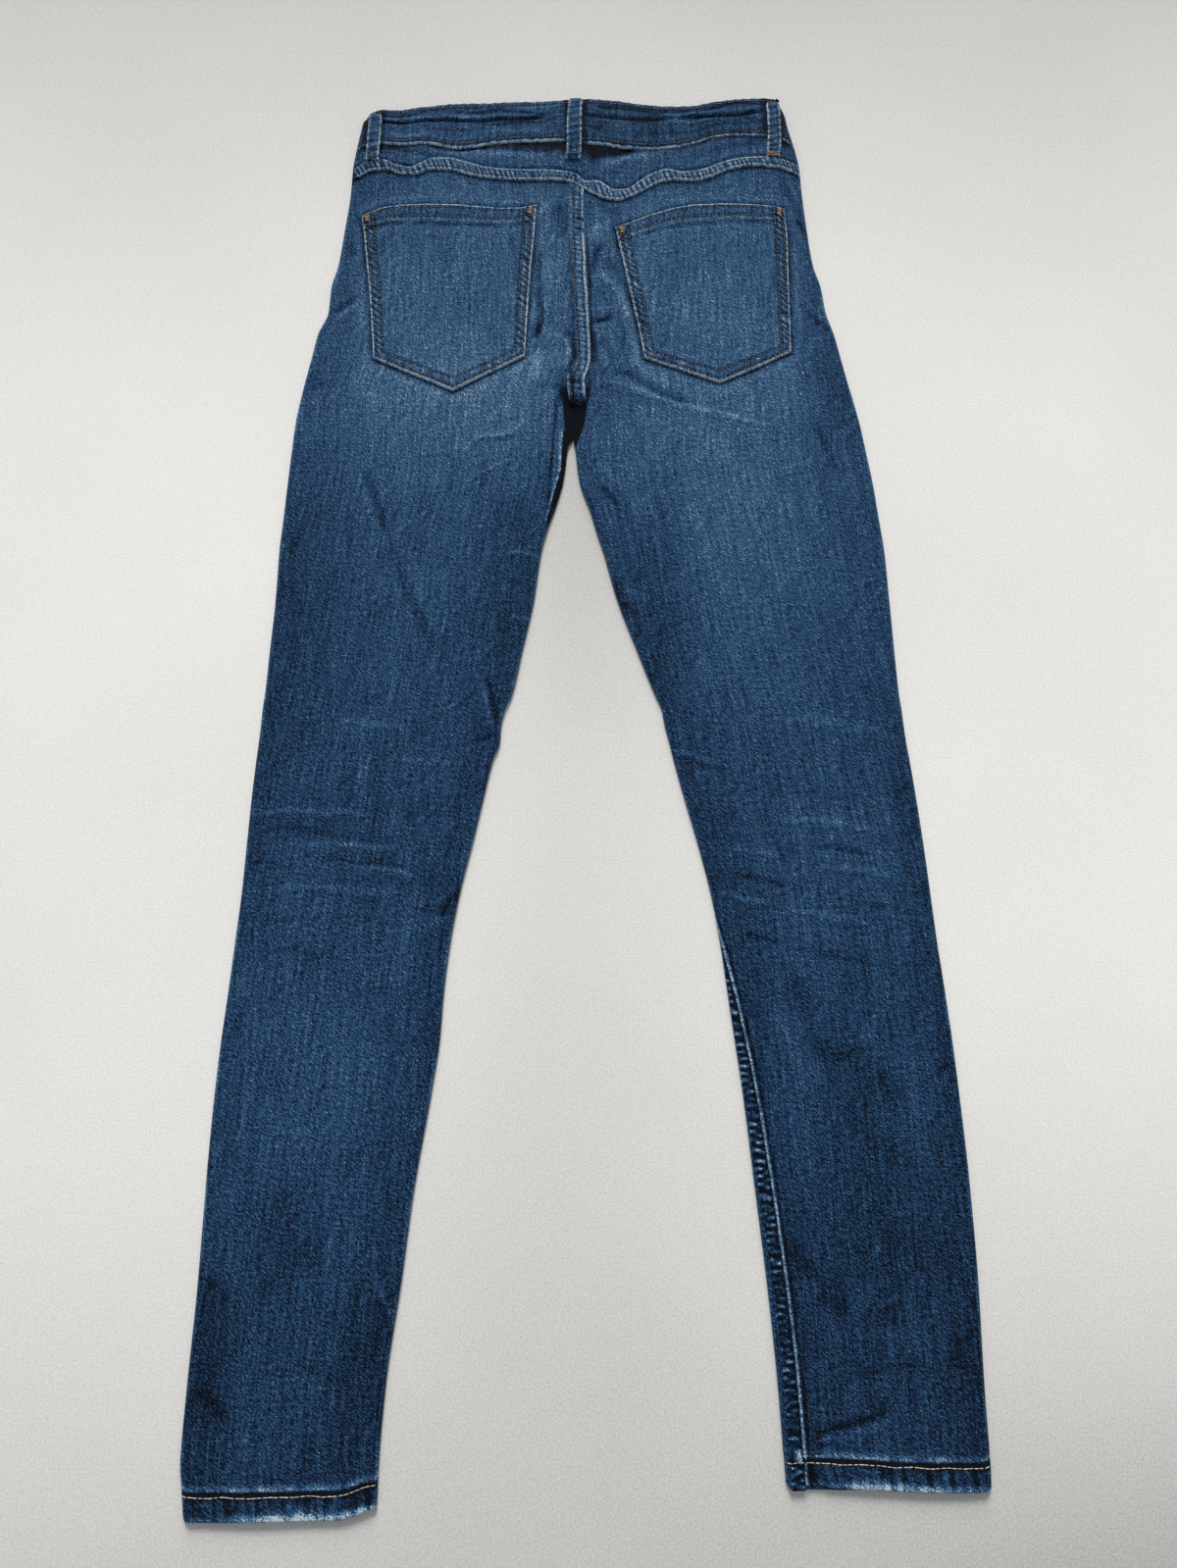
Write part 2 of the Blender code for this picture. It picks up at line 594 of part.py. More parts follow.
def build_fly(parts):
    """The closed zip behind the meeting edges of the fronts, and the shield behind the zip."""
    zip_z, shield_z = CLOTH + SEAM_GAP, CLOTH + 2 * SEAM_GAP + ZIP_WALL
    ys = (0.462, 0.445, 0.42, 0.39, 0.36, 0.335)
    rows = [[(x, y, zip_z + front_rise(x, y)) for x in (-0.012, -0.004, 0.004, 0.012)] for y in ys]
    loft("zip", rows, parts, "zip_tape", ZIP_WALL, first_up=False)
    rows = [[(x, y - 0.004, shield_z + front_rise(x, y - 0.004)) for x in (-0.022, -0.012, 0.0, 0.011)] for y in ys]
    loft("fly_shield", rows, parts, "denim_trim", CLOTH, first_up=False)


# ---------------------------------------------------------------- the waistband
def build_band(side, parts, cutters):
    """Half of the waistband: from the centre back, round the side fold, along the front to the button."""
    sign = -1.0 if side == "left" else 1.0
    x_side = SECTION[side + "_out"](0.505)
    flat = lambda s, x, y: band_height(s, x)
    low = FOLD_SHARE * band_height(side, x_side)
    widths = steps(0.0, 1.0, 3)
    rows = []
    beside = back_row(side, under_band, 5)
    for x, _, _ in beside[: len(OUT_STATIONS) - 1 : -1]:
        rows.append([(x, lerp(*band_edges(x, 0.0)[::-1], v), band_height(side, x)) for v in widths])
    for s in OUT_STATIONS[::-1]:
        row = []
        for v in widths:
            x, _ = ring(side, "out", 0.505, s, flat, low, BAND_UNDER)
            y = lerp(*band_edges(x, underside(s))[::-1], v)
            x, z = ring(side, "out", y, s, flat, low, BAND_UNDER)
            row.append((x, y, z))
        rows.append(row)
    for x in FRONT_BAND_X[side]:
        top, low = front_band_edges(x)
        lap = (BAND_WALL + SEAM_GAP) * smooth(0.046, 0.014, x) if side == "right" else 0.0
        rows.append([(x, lerp(low, top, v), front_rise(x, lerp(low, top, v)) + lap) for v in widths])
    band = solid_of(loft(f"waistband_{side}", rows, parts, "denim_trim", BAND_WALL))
    if side == "left":
        bpy.ops.mesh.primitive_cube_add(size=1.0, location=(BUTTON_X - 0.003, BUTTON_Y, 0.005))
        hole = primitive("buttonhole", cutters, hidden=True)
        hole.scale = (0.018, 0.0062, 0.03)
        boolean(band, hole)
    return band


def build_button(parts, cutters):
    """A shank button: its head under the band, its shank up through the buttonhole."""
    bpy.ops.mesh.primitive_cylinder_add(vertices=24, radius=BUTTON_R, depth=2.3 * MM, location=(BUTTON_X, BUTTON_Y, 1.15 * MM))
    head = primitive("button", parts)
    head.data.materials.append(material("metal"))
    rim = head.modifiers.new("rolled rim", "BEVEL")
    rim.width, rim.segments, rim.limit_method = 0.7 * MM, 1, "ANGLE"
    bpy.ops.mesh.primitive_cylinder_add(vertices=16, radius=2.4 * MM, depth=4.5 * MM, location=(BUTTON_X, BUTTON_Y, 4.25 * MM))
    shank = primitive("shank", cutters, hidden=True)
    boolean(head, shank, "UNION")


# ---------------------------------------------------------------- what lies on the panels
def sheet_over(name, source, outline, thick, parts, finish):
    """A piece made from the points of the panel beneath it: its upper faces inside a convex outline, moved out."""
    bm = bmesh.new()
    bm.from_mesh(source.data)
    bm.normal_update()
    bmesh.ops.delete(bm, geom=[f for f in bm.faces if f.normal.z < 0.25], context="FACES")
    n = len(outline)
    centre = Vector((sum(p[0] for p in outline) / n, sum(p[1] for p in outline) / n, 0))
    for i in range(n):
        (x0, y0), (x1, y1) = outline[i], outline[(i + 1) % n]
        away = Vector((y1 - y0, x0 - x1, 0)).normalized()
        if (centre - Vector((x0, y0, 0))).dot(away) > 0:
            away = -away
        geom = bm.verts[:] + bm.edges[:] + bm.faces[:]
        bmesh.ops.bisect_plane(bm, geom=geom, dist=1e-6, plane_co=(x0, y0, 0), plane_no=away, clear_outer=True)
    bmesh.ops.remove_doubles(bm, verts=bm.verts[:], dist=1e-5)
    bmesh.ops.delete(bm, geom=[v for v in bm.verts if not v.link_faces], context="VERTS")
    for v in bm.verts:
        v.co.z += SEAM_GAP + 0.02 * MM
    bm.normal_update()
    return sheet_object(name, bm, parts, finish, thick, outward=True)


def build_pocket(side, back, parts):
    outline = [(x * MM, y * MM) for x, y in POCKETS_MM[side]]
    return sheet_over(f"back_pocket_{side}", back, outline, POCKET_WALL, parts, "denim_pocket")


def build_back_loop(name, x_top, x_low, y_top, y_low, parts):
    """A strip over the waistband, tacked at its top edge and to the yoke below."""
    edge = SEAM["band_bottom"](x_top * MM)
    rows = []
    for y in (y_top * MM, y_top * MM - 0.004, edge + 0.022, edge + 0.010, edge + 0.0006, edge - 0.004, edge - 0.009, y_low * MM):
        t = (y_top * MM - y) / ((y_top - y_low) * MM)
        x = lerp(x_top, x_low, t) * MM
        side = "left" if x < -0.05 else "right"
        clear = 0.4 * MM + 0.9 * MM * math.sin(math.pi * t)
        yoke = max(top_height(side, x + w * LOOP_WIDE / 2, y) for w in (-1, 0, 1))
        band = max(band_height(side, x + w * LOOP_WIDE / 2) for w in (-1, 0, 1))
        z = lerp(yoke, max(band, yoke), smooth(edge - 0.012, edge - 0.002, y)) + clear
        rows.append([(x + w * LOOP_WIDE, y, z) for w in (-0.5, 0.5)])
    return loft(name, rows, parts, "denim_trim", LOOP_WALL, outward=True)


def build_front_loop(name, x_top, x_low, y_top, y_low, parts):
    """The loops under the front, between its waistband and the surface."""
    rows = []
    for y in steps(y_top * MM, y_low * MM, 6):
        x = lerp(x_top, x_low, (y_top * MM - y) / ((y_top - y_low) * MM)) * MM
        rows.append([(x + w * LOOP_WIDE, y, 0.0) for w in (-0.5, 0.5)])
    return loft(name, rows, parts, "denim_trim", LOOP_WALL, first_up=False)


def main():
    clear_scene()
    parts, cutters = collection("skinny_jeans"), collection("cutters")
    for side in ("left", "right"):
        back = build_back(side, parts)
        build_yoke(side, parts)
        build_front(side, parts, cutters)
        build_facing(side, parts)
        build_band(side, parts, cutters)
        build_pocket(side, back, parts)
    build_fly(parts)
    build_button(parts, cutters)
    for row in BACK_LOOPS_MM:
        build_back_loop(*row, parts)
    for row in FRONT_LOOPS_MM:
        build_front_loop(*row, parts)


main()
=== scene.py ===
"""Skinny jeans laid flat, back up: the cloth, its creases, seams, stitches and wear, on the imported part's form.

Row frame: metres, +Z up, +Y from the hems to the waist, +X to the wearer's right. Tables are in millimetres.
Everything is a thin open shell over the part's solids; nothing is simulated.
"""

import math

import bpy
import numpy as np
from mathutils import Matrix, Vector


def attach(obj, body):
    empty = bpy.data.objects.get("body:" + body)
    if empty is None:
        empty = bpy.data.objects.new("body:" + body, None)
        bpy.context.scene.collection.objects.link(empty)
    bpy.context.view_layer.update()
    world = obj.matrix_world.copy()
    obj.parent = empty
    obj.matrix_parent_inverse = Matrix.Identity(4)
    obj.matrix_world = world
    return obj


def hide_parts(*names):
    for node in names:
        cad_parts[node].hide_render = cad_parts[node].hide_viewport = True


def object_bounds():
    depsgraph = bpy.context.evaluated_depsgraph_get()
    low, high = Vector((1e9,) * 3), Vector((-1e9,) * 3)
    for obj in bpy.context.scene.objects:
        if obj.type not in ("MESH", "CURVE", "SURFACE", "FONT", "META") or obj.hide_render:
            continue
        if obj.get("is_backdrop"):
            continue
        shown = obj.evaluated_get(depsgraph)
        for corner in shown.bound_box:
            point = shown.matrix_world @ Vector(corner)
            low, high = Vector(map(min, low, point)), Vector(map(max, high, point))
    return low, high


MM = 0.001

# ---------------------------------------------------------------- the form, as in the part
CLOTH, BAND_WALL, LOOP_WALL, SEAM_GAP = 1.0 * MM, 2.4 * MM, 1.8 * MM, 0.3 * MM
FOLD_SHARE, TOP_ROLL, UNDER_ROLL = 0.44, 4.6 * MM, 2.8 * MM
EDGE_SHARE, SWELL = 0.80, 0.045
SEAM_IN, LOOP_WIDE, HEM_DEEP, HEM_STEP, FLOOR_Z = 9.0 * MM, 11.5 * MM, 14.0 * MM, 1.1 * MM, 2.8 * MM
SPLIT_Y, BAND_TOP, BAND_UNDER, WAIST_LIFT, BACK_LIFT = 0.221, 9.0 * MM, 4.0 * MM, 1.6 * MM, 4.2 * MM
LOOP_LIFT, ZIP_WALL, BUTTON_R, BUTTON_X, BUTTON_Y, BUTTON_LIFT = 2.1 * MM, 1.0 * MM, 8.5 * MM, -0.006, 0.488, 3.9 * MM
MOUTH_WIDE, MOUTH_DEEP = 0.080, 0.068

SECTIONS_MM = [
    # y, left_out, left_in, right_in, right_out, top
    (536.0, -179.0, -7.1, -7.1, 162.5, 6.6),
    (520.0, -184.0, -7.0, -7.0, 165.6, 6.6),
    (506.0, -186.6, -7.0, -7.0, 168.6, 6.6),
    (492.0, -189.0, -7.0, -7.0, 172.2, 6.6),
    (470.0, -192.0, -6.8, -6.8, 176.2, 6.3),
    (447.0, -192.8, -6.5, -6.5, 177.4, 6.0),
    (414.0, -196.0, -6.1, -6.1, 180.0, 5.9),
    (381.0, -199.6, -4.9, -4.9, 183.6, 5.9),
    (359.0, -204.6, -3.9, -3.9, 189.3, 5.9),
    (338.0, -205.6, -3.2, -3.2, 191.9, 5.9),
    (317.0, -213.2, -2.5, -2.5, 197.8, 6.0),
    (296.0, -217.0, -3.5, -3.0, 202.2, 6.0),
    (279.0, -220.3, -10.8, 2.3, 205.6, 6.0),
    (262.0, -223.2, -17.5, 1.6, 209.4, 6.0),
    (240.0, -226.5, -16.2, -0.8, 213.9, 5.9),
    (215.0, -228.2, -14.6, -7.4, 217.8, 5.9),
    (190.0, -229.6, -17.2, -4.6, 221.4, 5.9),
    (178.0, -230.3, -20.2, -1.0, 222.8, 5.9),
    (165.0, -231.0, -24.0, 3.8, 224.0, 5.9),
    (150.0, -231.9, -29.2, 7.9, 225.6, 5.9),
    (133.0, -232.9, -33.4, 13.2, 227.3, 5.8),
    (93.0, -233.4, -38.8, 24.0, 228.9, 5.7),
    (54.0, -235.2, -46.8, 38.1, 230.3, 5.7),
    (16.0, -237.0, -55.0, 52.5, 232.0, 5.7),
    (8.0, -237.8, -58.6, 56.0, 232.9, 5.7),
    (-5.0, -238.3, -61.8, 58.2, 233.8, 5.7),
    (-18.0, -239.0, -62.6, 61.4, 234.9, 5.7),
    (-32.0, -240.0, -67.6, 64.6, 236.6, 5.7),
    (-58.0, -241.5, -73.4, 71.2, 239.4, 5.7),
    (-94.0, -242.9, -81.2, 80.9, 242.7, 5.7),
    (-129.0, -244.2, -89.2, 89.2, 245.3, 5.7),
    (-164.0, -246.7, -95.0, 95.0, 247.9, 5.6),
    (-198.0, -249.0, -98.6, 99.2, 251.1, 5.6),
    (-231.0, -251.6, -100.6, 103.4, 253.9, 5.5),
    (-264.0, -253.6, -105.0, 107.6, 256.0, 5.4),
    (-328.0, -255.4, -114.9, 114.2, 259.2, 5.3),
    (-389.0, -256.2, -121.8, 120.4, 260.3, 5.3),
    (-449.0, -258.5, -129.4, 125.2, 259.6, 5.1),
    (-495.0, -259.6, -132.1, 127.6, 260.0, 4.9),
    (-513.0, -257.2, -132.4, 128.4, 259.4, 4.8),
    (-530.0, -254.9, -132.5, 129.0, 258.3, 4.8),
]
SEAMS_MM = [
    # x, band_top, band_bottom, yoke_seam
    (-195.0, 506.0, 486.5, 463.0),
    (-182.0, 511.5, 487.5, 467.0),
    (-170.0, 520.0, 488.4, 469.4),
    (-155.0, 519.8, 489.0, 466.6),
    (-140.0, 522.0, 487.0, 463.6),
    (-125.0, 520.8, 488.2, 468.6),
    (-110.0, 525.0, 483.6, 469.2),
    (-92.0, 525.4, 482.6, 462.2),
    (-73.0, 526.4, 488.8, 460.8),
    (-55.0, 527.2, 487.2, 461.4),
    (-30.0, 529.0, 488.4, 459.2),
    (-7.0, 530.4, 488.4, 451.6),
    (8.0, 529.9, 486.4, 449.2),
    (20.0, 528.6, 486.0, 441.4),
    (32.0, 527.2, 486.6, 444.2),
    (48.0, 525.4, 483.8, 455.4),
    (64.0, 523.6, 484.2, 461.2),
    (80.0, 522.6, 485.2, 455.2),
    (96.0, 525.0, 486.8, 459.2),
    (110.0, 529.4, 492.4, 469.0),
    (124.0, 530.6, 494.8, 473.2),
    (140.0, 531.0, 494.4, 472.4),
    (156.0, 530.4, 493.6, 468.6),
    (166.0, 520.0, 491.8, 463.4),
    (180.0, 508.0, 490.4, 461.0),
]
FOLDS_MM = [
    # from x, y, to x, y, half-width, rise
    (-36.0, 425.0, -30.0, 330.0, 7.0, -1.4),
    (-22.0, 420.0, -18.0, 320.0, 8.0, 1.0),
    (12.0, 418.0, 38.0, 318.0, 8.0, 1.2),
    (22.0, 352.0, 38.0, 300.0, 6.0, -1.1),
    (20.0, 300.0, 88.0, 262.0, 8.0, -1.2),
    (-24.0, 330.0, -44.0, 280.0, 7.0, -1.0),
    (-200.0, 356.0, -176.0, 330.0, 6.0, -1.0),
    (-160.0, 215.0, -118.0, 90.0, 10.0, -1.1),
    (-118.0, 90.0, -92.0, 20.0, 10.0, -0.8),
    (-84.0, 40.0, -70.0, -30.0, 8.0, -0.8),
    (-220.0, -90.0, -110.0, -104.0, 9.0, -0.6),
    (-120.0, -128.0, -90.0, -120.0, 8.0, -0.9),
    (110.0, -60.0, 220.0, -72.0, 9.0, -0.6),
    (106.0, -140.0, 190.0, -152.0, 9.0, -0.7),
    (150.0, -220.0, 178.0, -300.0, 10.0, -0.7),
    (160.0, -455.0, 215.0, -432.0, 8.0, -0.8),
    (-170.0, 430.0, -40.0, 440.0, 12.0, 0.5),
]
INSEAM_MM = [
    # y, left, right: distance from the inner fold, + on top
    (530.0, -9.0, -9.0),
    (-80.0, -9.0, -9.0),
    (-125.0, -9.0, -5.0),
    (-160.0, -9.0, 0.5),
    (-205.0, -9.0, 6.0),
    (-260.0, -9.0, 9.5),
    (-350.0, -9.0, 12.5),
    (-450.0, -9.0, 13.5),
    (-530.0, -9.0, 13.5),
]
FLY_MM = [(480.0, 9.5), (400.0, 8.0), (345.0, 4.0), (315.0, -1.0), (280.0, -6.5), (240.0, -9.5), (190.0, -11.0)]
BACK_LOOPS_MM = [
    # name, top x, bottom x, top y, bottom y
    ("belt_loop_back", -8.3, -10.2, 529.6, 472.5),
    ("belt_loop_back_left", -174.0, -175.4, 519.4, 474.8),
    ("belt_loop_back_right", 155.2, 154.2, 530.6, 478.2),
]
FRONT_LOOPS_MM = [("belt_loop_front_left", -66.0, -67.0, 513.0, 461.0), ("belt_loop_front_right", 54.0, 55.0, 513.0, 461.0)]
FRONT_ENDS = {"left": 10.0, "right": -30.0}

# the yoke's felled band on the back: its upper and lower edges
YOKE_UP_MM = [
    (-192.0, 466.0), (-186.7, 469.5), (-179.2, 474.6), (-166.2, 475.5), (-155.7, 471.0), (-143.9, 468.6), (-135.0, 472.5),
    (-126.0, 477.1), (-111.7, 476.5), (-96.0, 472.5), (-83.0, 468.6), (-64.8, 466.5), (-41.5, 465.5), (-20.7, 463.4), (-7.8, 460.4),
    (0.1, 454.8), (9.7, 455.3), (23.4, 448.0), (33.0, 448.4), (45.4, 456.9), (56.4, 463.3), (67.5, 466.5), (78.4, 464.3),
    (86.7, 464.9), (100.5, 468.2), (111.6, 473.0), (131.1, 477.8), (147.6, 478.5), (161.3, 476.2), (178.0, 469.0),
]
YOKE_LOW_MM = [
    (-192.0, 456.5), (-186.4, 460.1), (-176.3, 465.5), (-163.4, 466.4), (-150.3, 462.2), (-139.9, 462.2), (-127.1, 466.4),
    (-111.5, 465.8), (-98.5, 462.5), (-82.9, 459.2), (-56.9, 456.8), (-31.0, 456.2), (-12.9, 454.0), (0.1, 447.0),
    (15.2, 440.0), (26.1, 438.0), (39.8, 443.2), (53.6, 451.1), (64.6, 455.9), (75.6, 456.9), (86.6, 455.9), (103.1, 460.1),
    (119.8, 467.1), (136.4, 470.2), (158.4, 468.4), (178.0, 460.5),
]

# back pockets: mouth and foot from left to right, sides from the mouth down
POCKETS_MM = {
    "left": {
        "mouth": [(-182.7, 423.5), (-173.6, 428.2), (-163.7, 431.9), (-147.4, 433.7), (-129.7, 434.3), (-104.5, 433.7), (-86.8, 432.0), (-69.1, 430.3), (-54.0, 430.7), (-39.6, 433.4)],
        "foot": [(-167.3, 293.9), (-137.1, 279.9), (-103.9, 265.2), (-76.3, 280.2), (-47.8, 295.8)],
        "left": [(-182.7, 423.5), (-179.9, 408.6), (-177.0, 383.8), (-173.1, 355.4), (-169.9, 321.9), (-167.3, 293.9)],
        "right": [(-39.6, 433.4), (-41.4, 406.7), (-43.6, 378.1), (-45.4, 347.0), (-46.6, 321.9), (-47.8, 295.8)],
    },
    "right": {
        "mouth": [(23.9, 412.7), (34.8, 416.6), (51.0, 423.9), (71.7, 430.8), (89.4, 434.2), (110.0, 435.3), (133.5, 434.5), (151.1, 433.3), (162.2, 430.7)],
        "foot": [(46.6, 294.0), (74.9, 283.1), (105.3, 272.0), (134.6, 285.1), (162.4, 299.4)],
        "left": [(23.9, 412.7), (28.7, 387.6), (33.4, 364.4), (38.5, 338.1), (42.9, 315.5), (46.6, 294.0)],
        "right": [(162.2, 430.7), (163.7, 404.3), (163.2, 374.3), (162.9, 341.4), (162.4, 299.4)],
    },
}

# the waistband's edges on the back, as they show
BAND_TOP_MM = [
    (-195.0, 506.0), (-183.2, 514.6), (-178.2, 521.0), (-170.5, 524.9), (-154.7, 524.1), (-141.7, 526.2), (-123.4, 528.3),
    (-110.3, 530.0), (-84.0, 530.5), (-57.8, 531.6), (-36.0, 531.0), (-14.5, 530.4), (-1.3, 531.0), (23.8, 531.8),
    (51.6, 528.6), (73.8, 527.6), (87.7, 528.0), (104.6, 531.4), (126.9, 534.6), (149.3, 536.0), (155.5, 535.4), (160.5, 532.6), (163.5, 528.2), (167.0, 521.0), (180.0, 508.0),
]
BAND_LOW_MM = [
    (-195.0, 487.0), (-186.3, 489.6), (-168.2, 492.0), (-148.5, 490.2), (-135.6, 491.4), (-122.5, 489.4), (-106.8, 486.2),
    (-91.2, 487.7), (-75.6, 491.0), (-52.2, 492.3), (-31.3, 491.7), (-15.7, 490.2), (-2.7, 487.5), (12.5, 487.5), (31.9, 485.8),
    (54.0, 485.2), (76.1, 487.5), (92.8, 492.4), (106.7, 497.5), (126.2, 499.5), (148.3, 499.2), (170.3, 494.0), (182.0, 489.0),
]

# the shade below the waistband: along the back, how deep and how far it reaches
SHADE_X = [-190.0, -168.0, -150.0, -100.0, -70.0, -48.0, -30.0, -2.0, 3.0, 18.0, 34.0, 55.0, 90.0, 120.0, 150.0, 165.0, 178.0]
SHADE_DEEP = [0.36, 0.46, 0.34, 0.36, 0.42, 0.56, 0.66, 0.66, 0.70, 0.64, 0.46, 0.36, 0.36, 0.38, 0.38, 0.50, 0.36]
SHADE_REACH = [8.0, 10.0, 3.8, 4.4, 6.0, 9.0, 12.5, 13.5, 17.0, 12.0, 8.0, 4.2, 4.2, 5.2, 5.2, 9.0, 6.0]

# long folds in the waistband: points of x and share up the band; half-width as a share, rise, tone. The tone is
# painted shade in the hollows and painted highlight on the ridges.
BAND_FOLDS = [
    ([(-176, 0.565), (-147, 0.61), (-108, 0.58), (-80, 0.53), (-48, 0.535), (-30, 0.56)], 0.040, -0.7, -0.28),
    ([(-176, 0.66), (-147, 0.70), (-108, 0.68), (-80, 0.64), (-48, 0.64), (-20, 0.66)], 0.045, 0.5, 0.08),
    ([(-118, 0.84), (-88, 0.78), (-60, 0.72), (-36, 0.69), (-14, 0.70)], 0.032, -0.5, -0.17),
    ([(-172, 0.80), (-140, 0.82), (-110, 0.84)], 0.040, -0.4, -0.12),
    ([(-90, 0.46), (-66, 0.44), (-40, 0.47), (-15, 0.58)], 0.035, -0.4, -0.14),
    ([(-60, 0.84), (-36, 0.82), (-14, 0.84)], 0.035, 0.3, 0.07),
    ([(-174, 0.24), (-150, 0.20), (-120, 0.22)], 0.060, 0.3, 0.06),
    ([(-95, 0.30), (-60, 0.25), (-30, 0.28)], 0.050, 0.3, 0.06),
    ([(-130, 0.40), (-100, 0.36), (-70, 0.34)], 0.040, -0.2, -0.08),
    ([(-4, 0.66), (16, 0.59), (34, 0.60), (51, 0.67), (72, 0.72)], 0.042, -0.7, -0.26),
    ([(8, 0.50), (24, 0.52), (40, 0.51)], 0.045, 0.4, 0.09),
    ([(78, 0.70), (103, 0.61), (123, 0.54), (136, 0.56), (150, 0.61)], 0.042, -0.8, -0.28),
    ([(60, 0.60), (92, 0.52), (126, 0.45), (150, 0.48)], 0.045, 0.4, 0.08),
    ([(56, 0.80), (92, 0.74), (126, 0.68), (150, 0.72)], 0.040, 0.4, 0.08),
    ([(2, 0.80), (36, 0.84), (75, 0.86), (110, 0.84), (150, 0.84)], 0.036, -0.5, -0.14),
    ([(-3, 0.42), (10, 0.34), (20, 0.26)], 0.045, -0.3, -0.12),
    ([(40, 0.34), (90, 0.30), (140, 0.30)], 0.035, -0.2, -0.07),
]

# the felled band over the seat seam: its two edges
SEAT_BAND_MM = [
    # y, left edge, right edge
    (462.0, -12.9, -1.7),
    (440.0, -12.9, -1.7),
    (420.0, -12.7, -1.7),
    (400.0, -12.4, -0.8),
    (375.0, -11.8, 0.3),
    (350.0, -11.0, 1.5),
    (325.0, -9.7, 3.0),
    (305.0, -8.4, 3.7),
    (292.0, -7.1, 3.9),
    (282.0, -11.1, 1.7),
    (277.2, -15.0, -0.4),
    (255.4, -12.3, 1.2),
]

# where the legs part: the left back's folded edge, and the stitched edge that shows past it
GAP_Y = [140.0, 150.0, 160.0, 170.0, 180.0, 190.0, 200.0, 210.0, 220.0, 230.0, 240.0, 250.0, 260.0, 270.0]
GAP_FOLD = [-31.6, -30.5, -29.8, -29.1, -28.4, -27.8, -27.3, -26.7, -26.1, -25.3, -24.4, -23.8, -23.4, -23.4]
GAP_PIPE = [-31.2, -30.5, -29.5, -27.4, -24.6, -22.2, -19.9, -19.4, -19.1, -18.9, -18.7, -18.7, -18.7, -18.7]
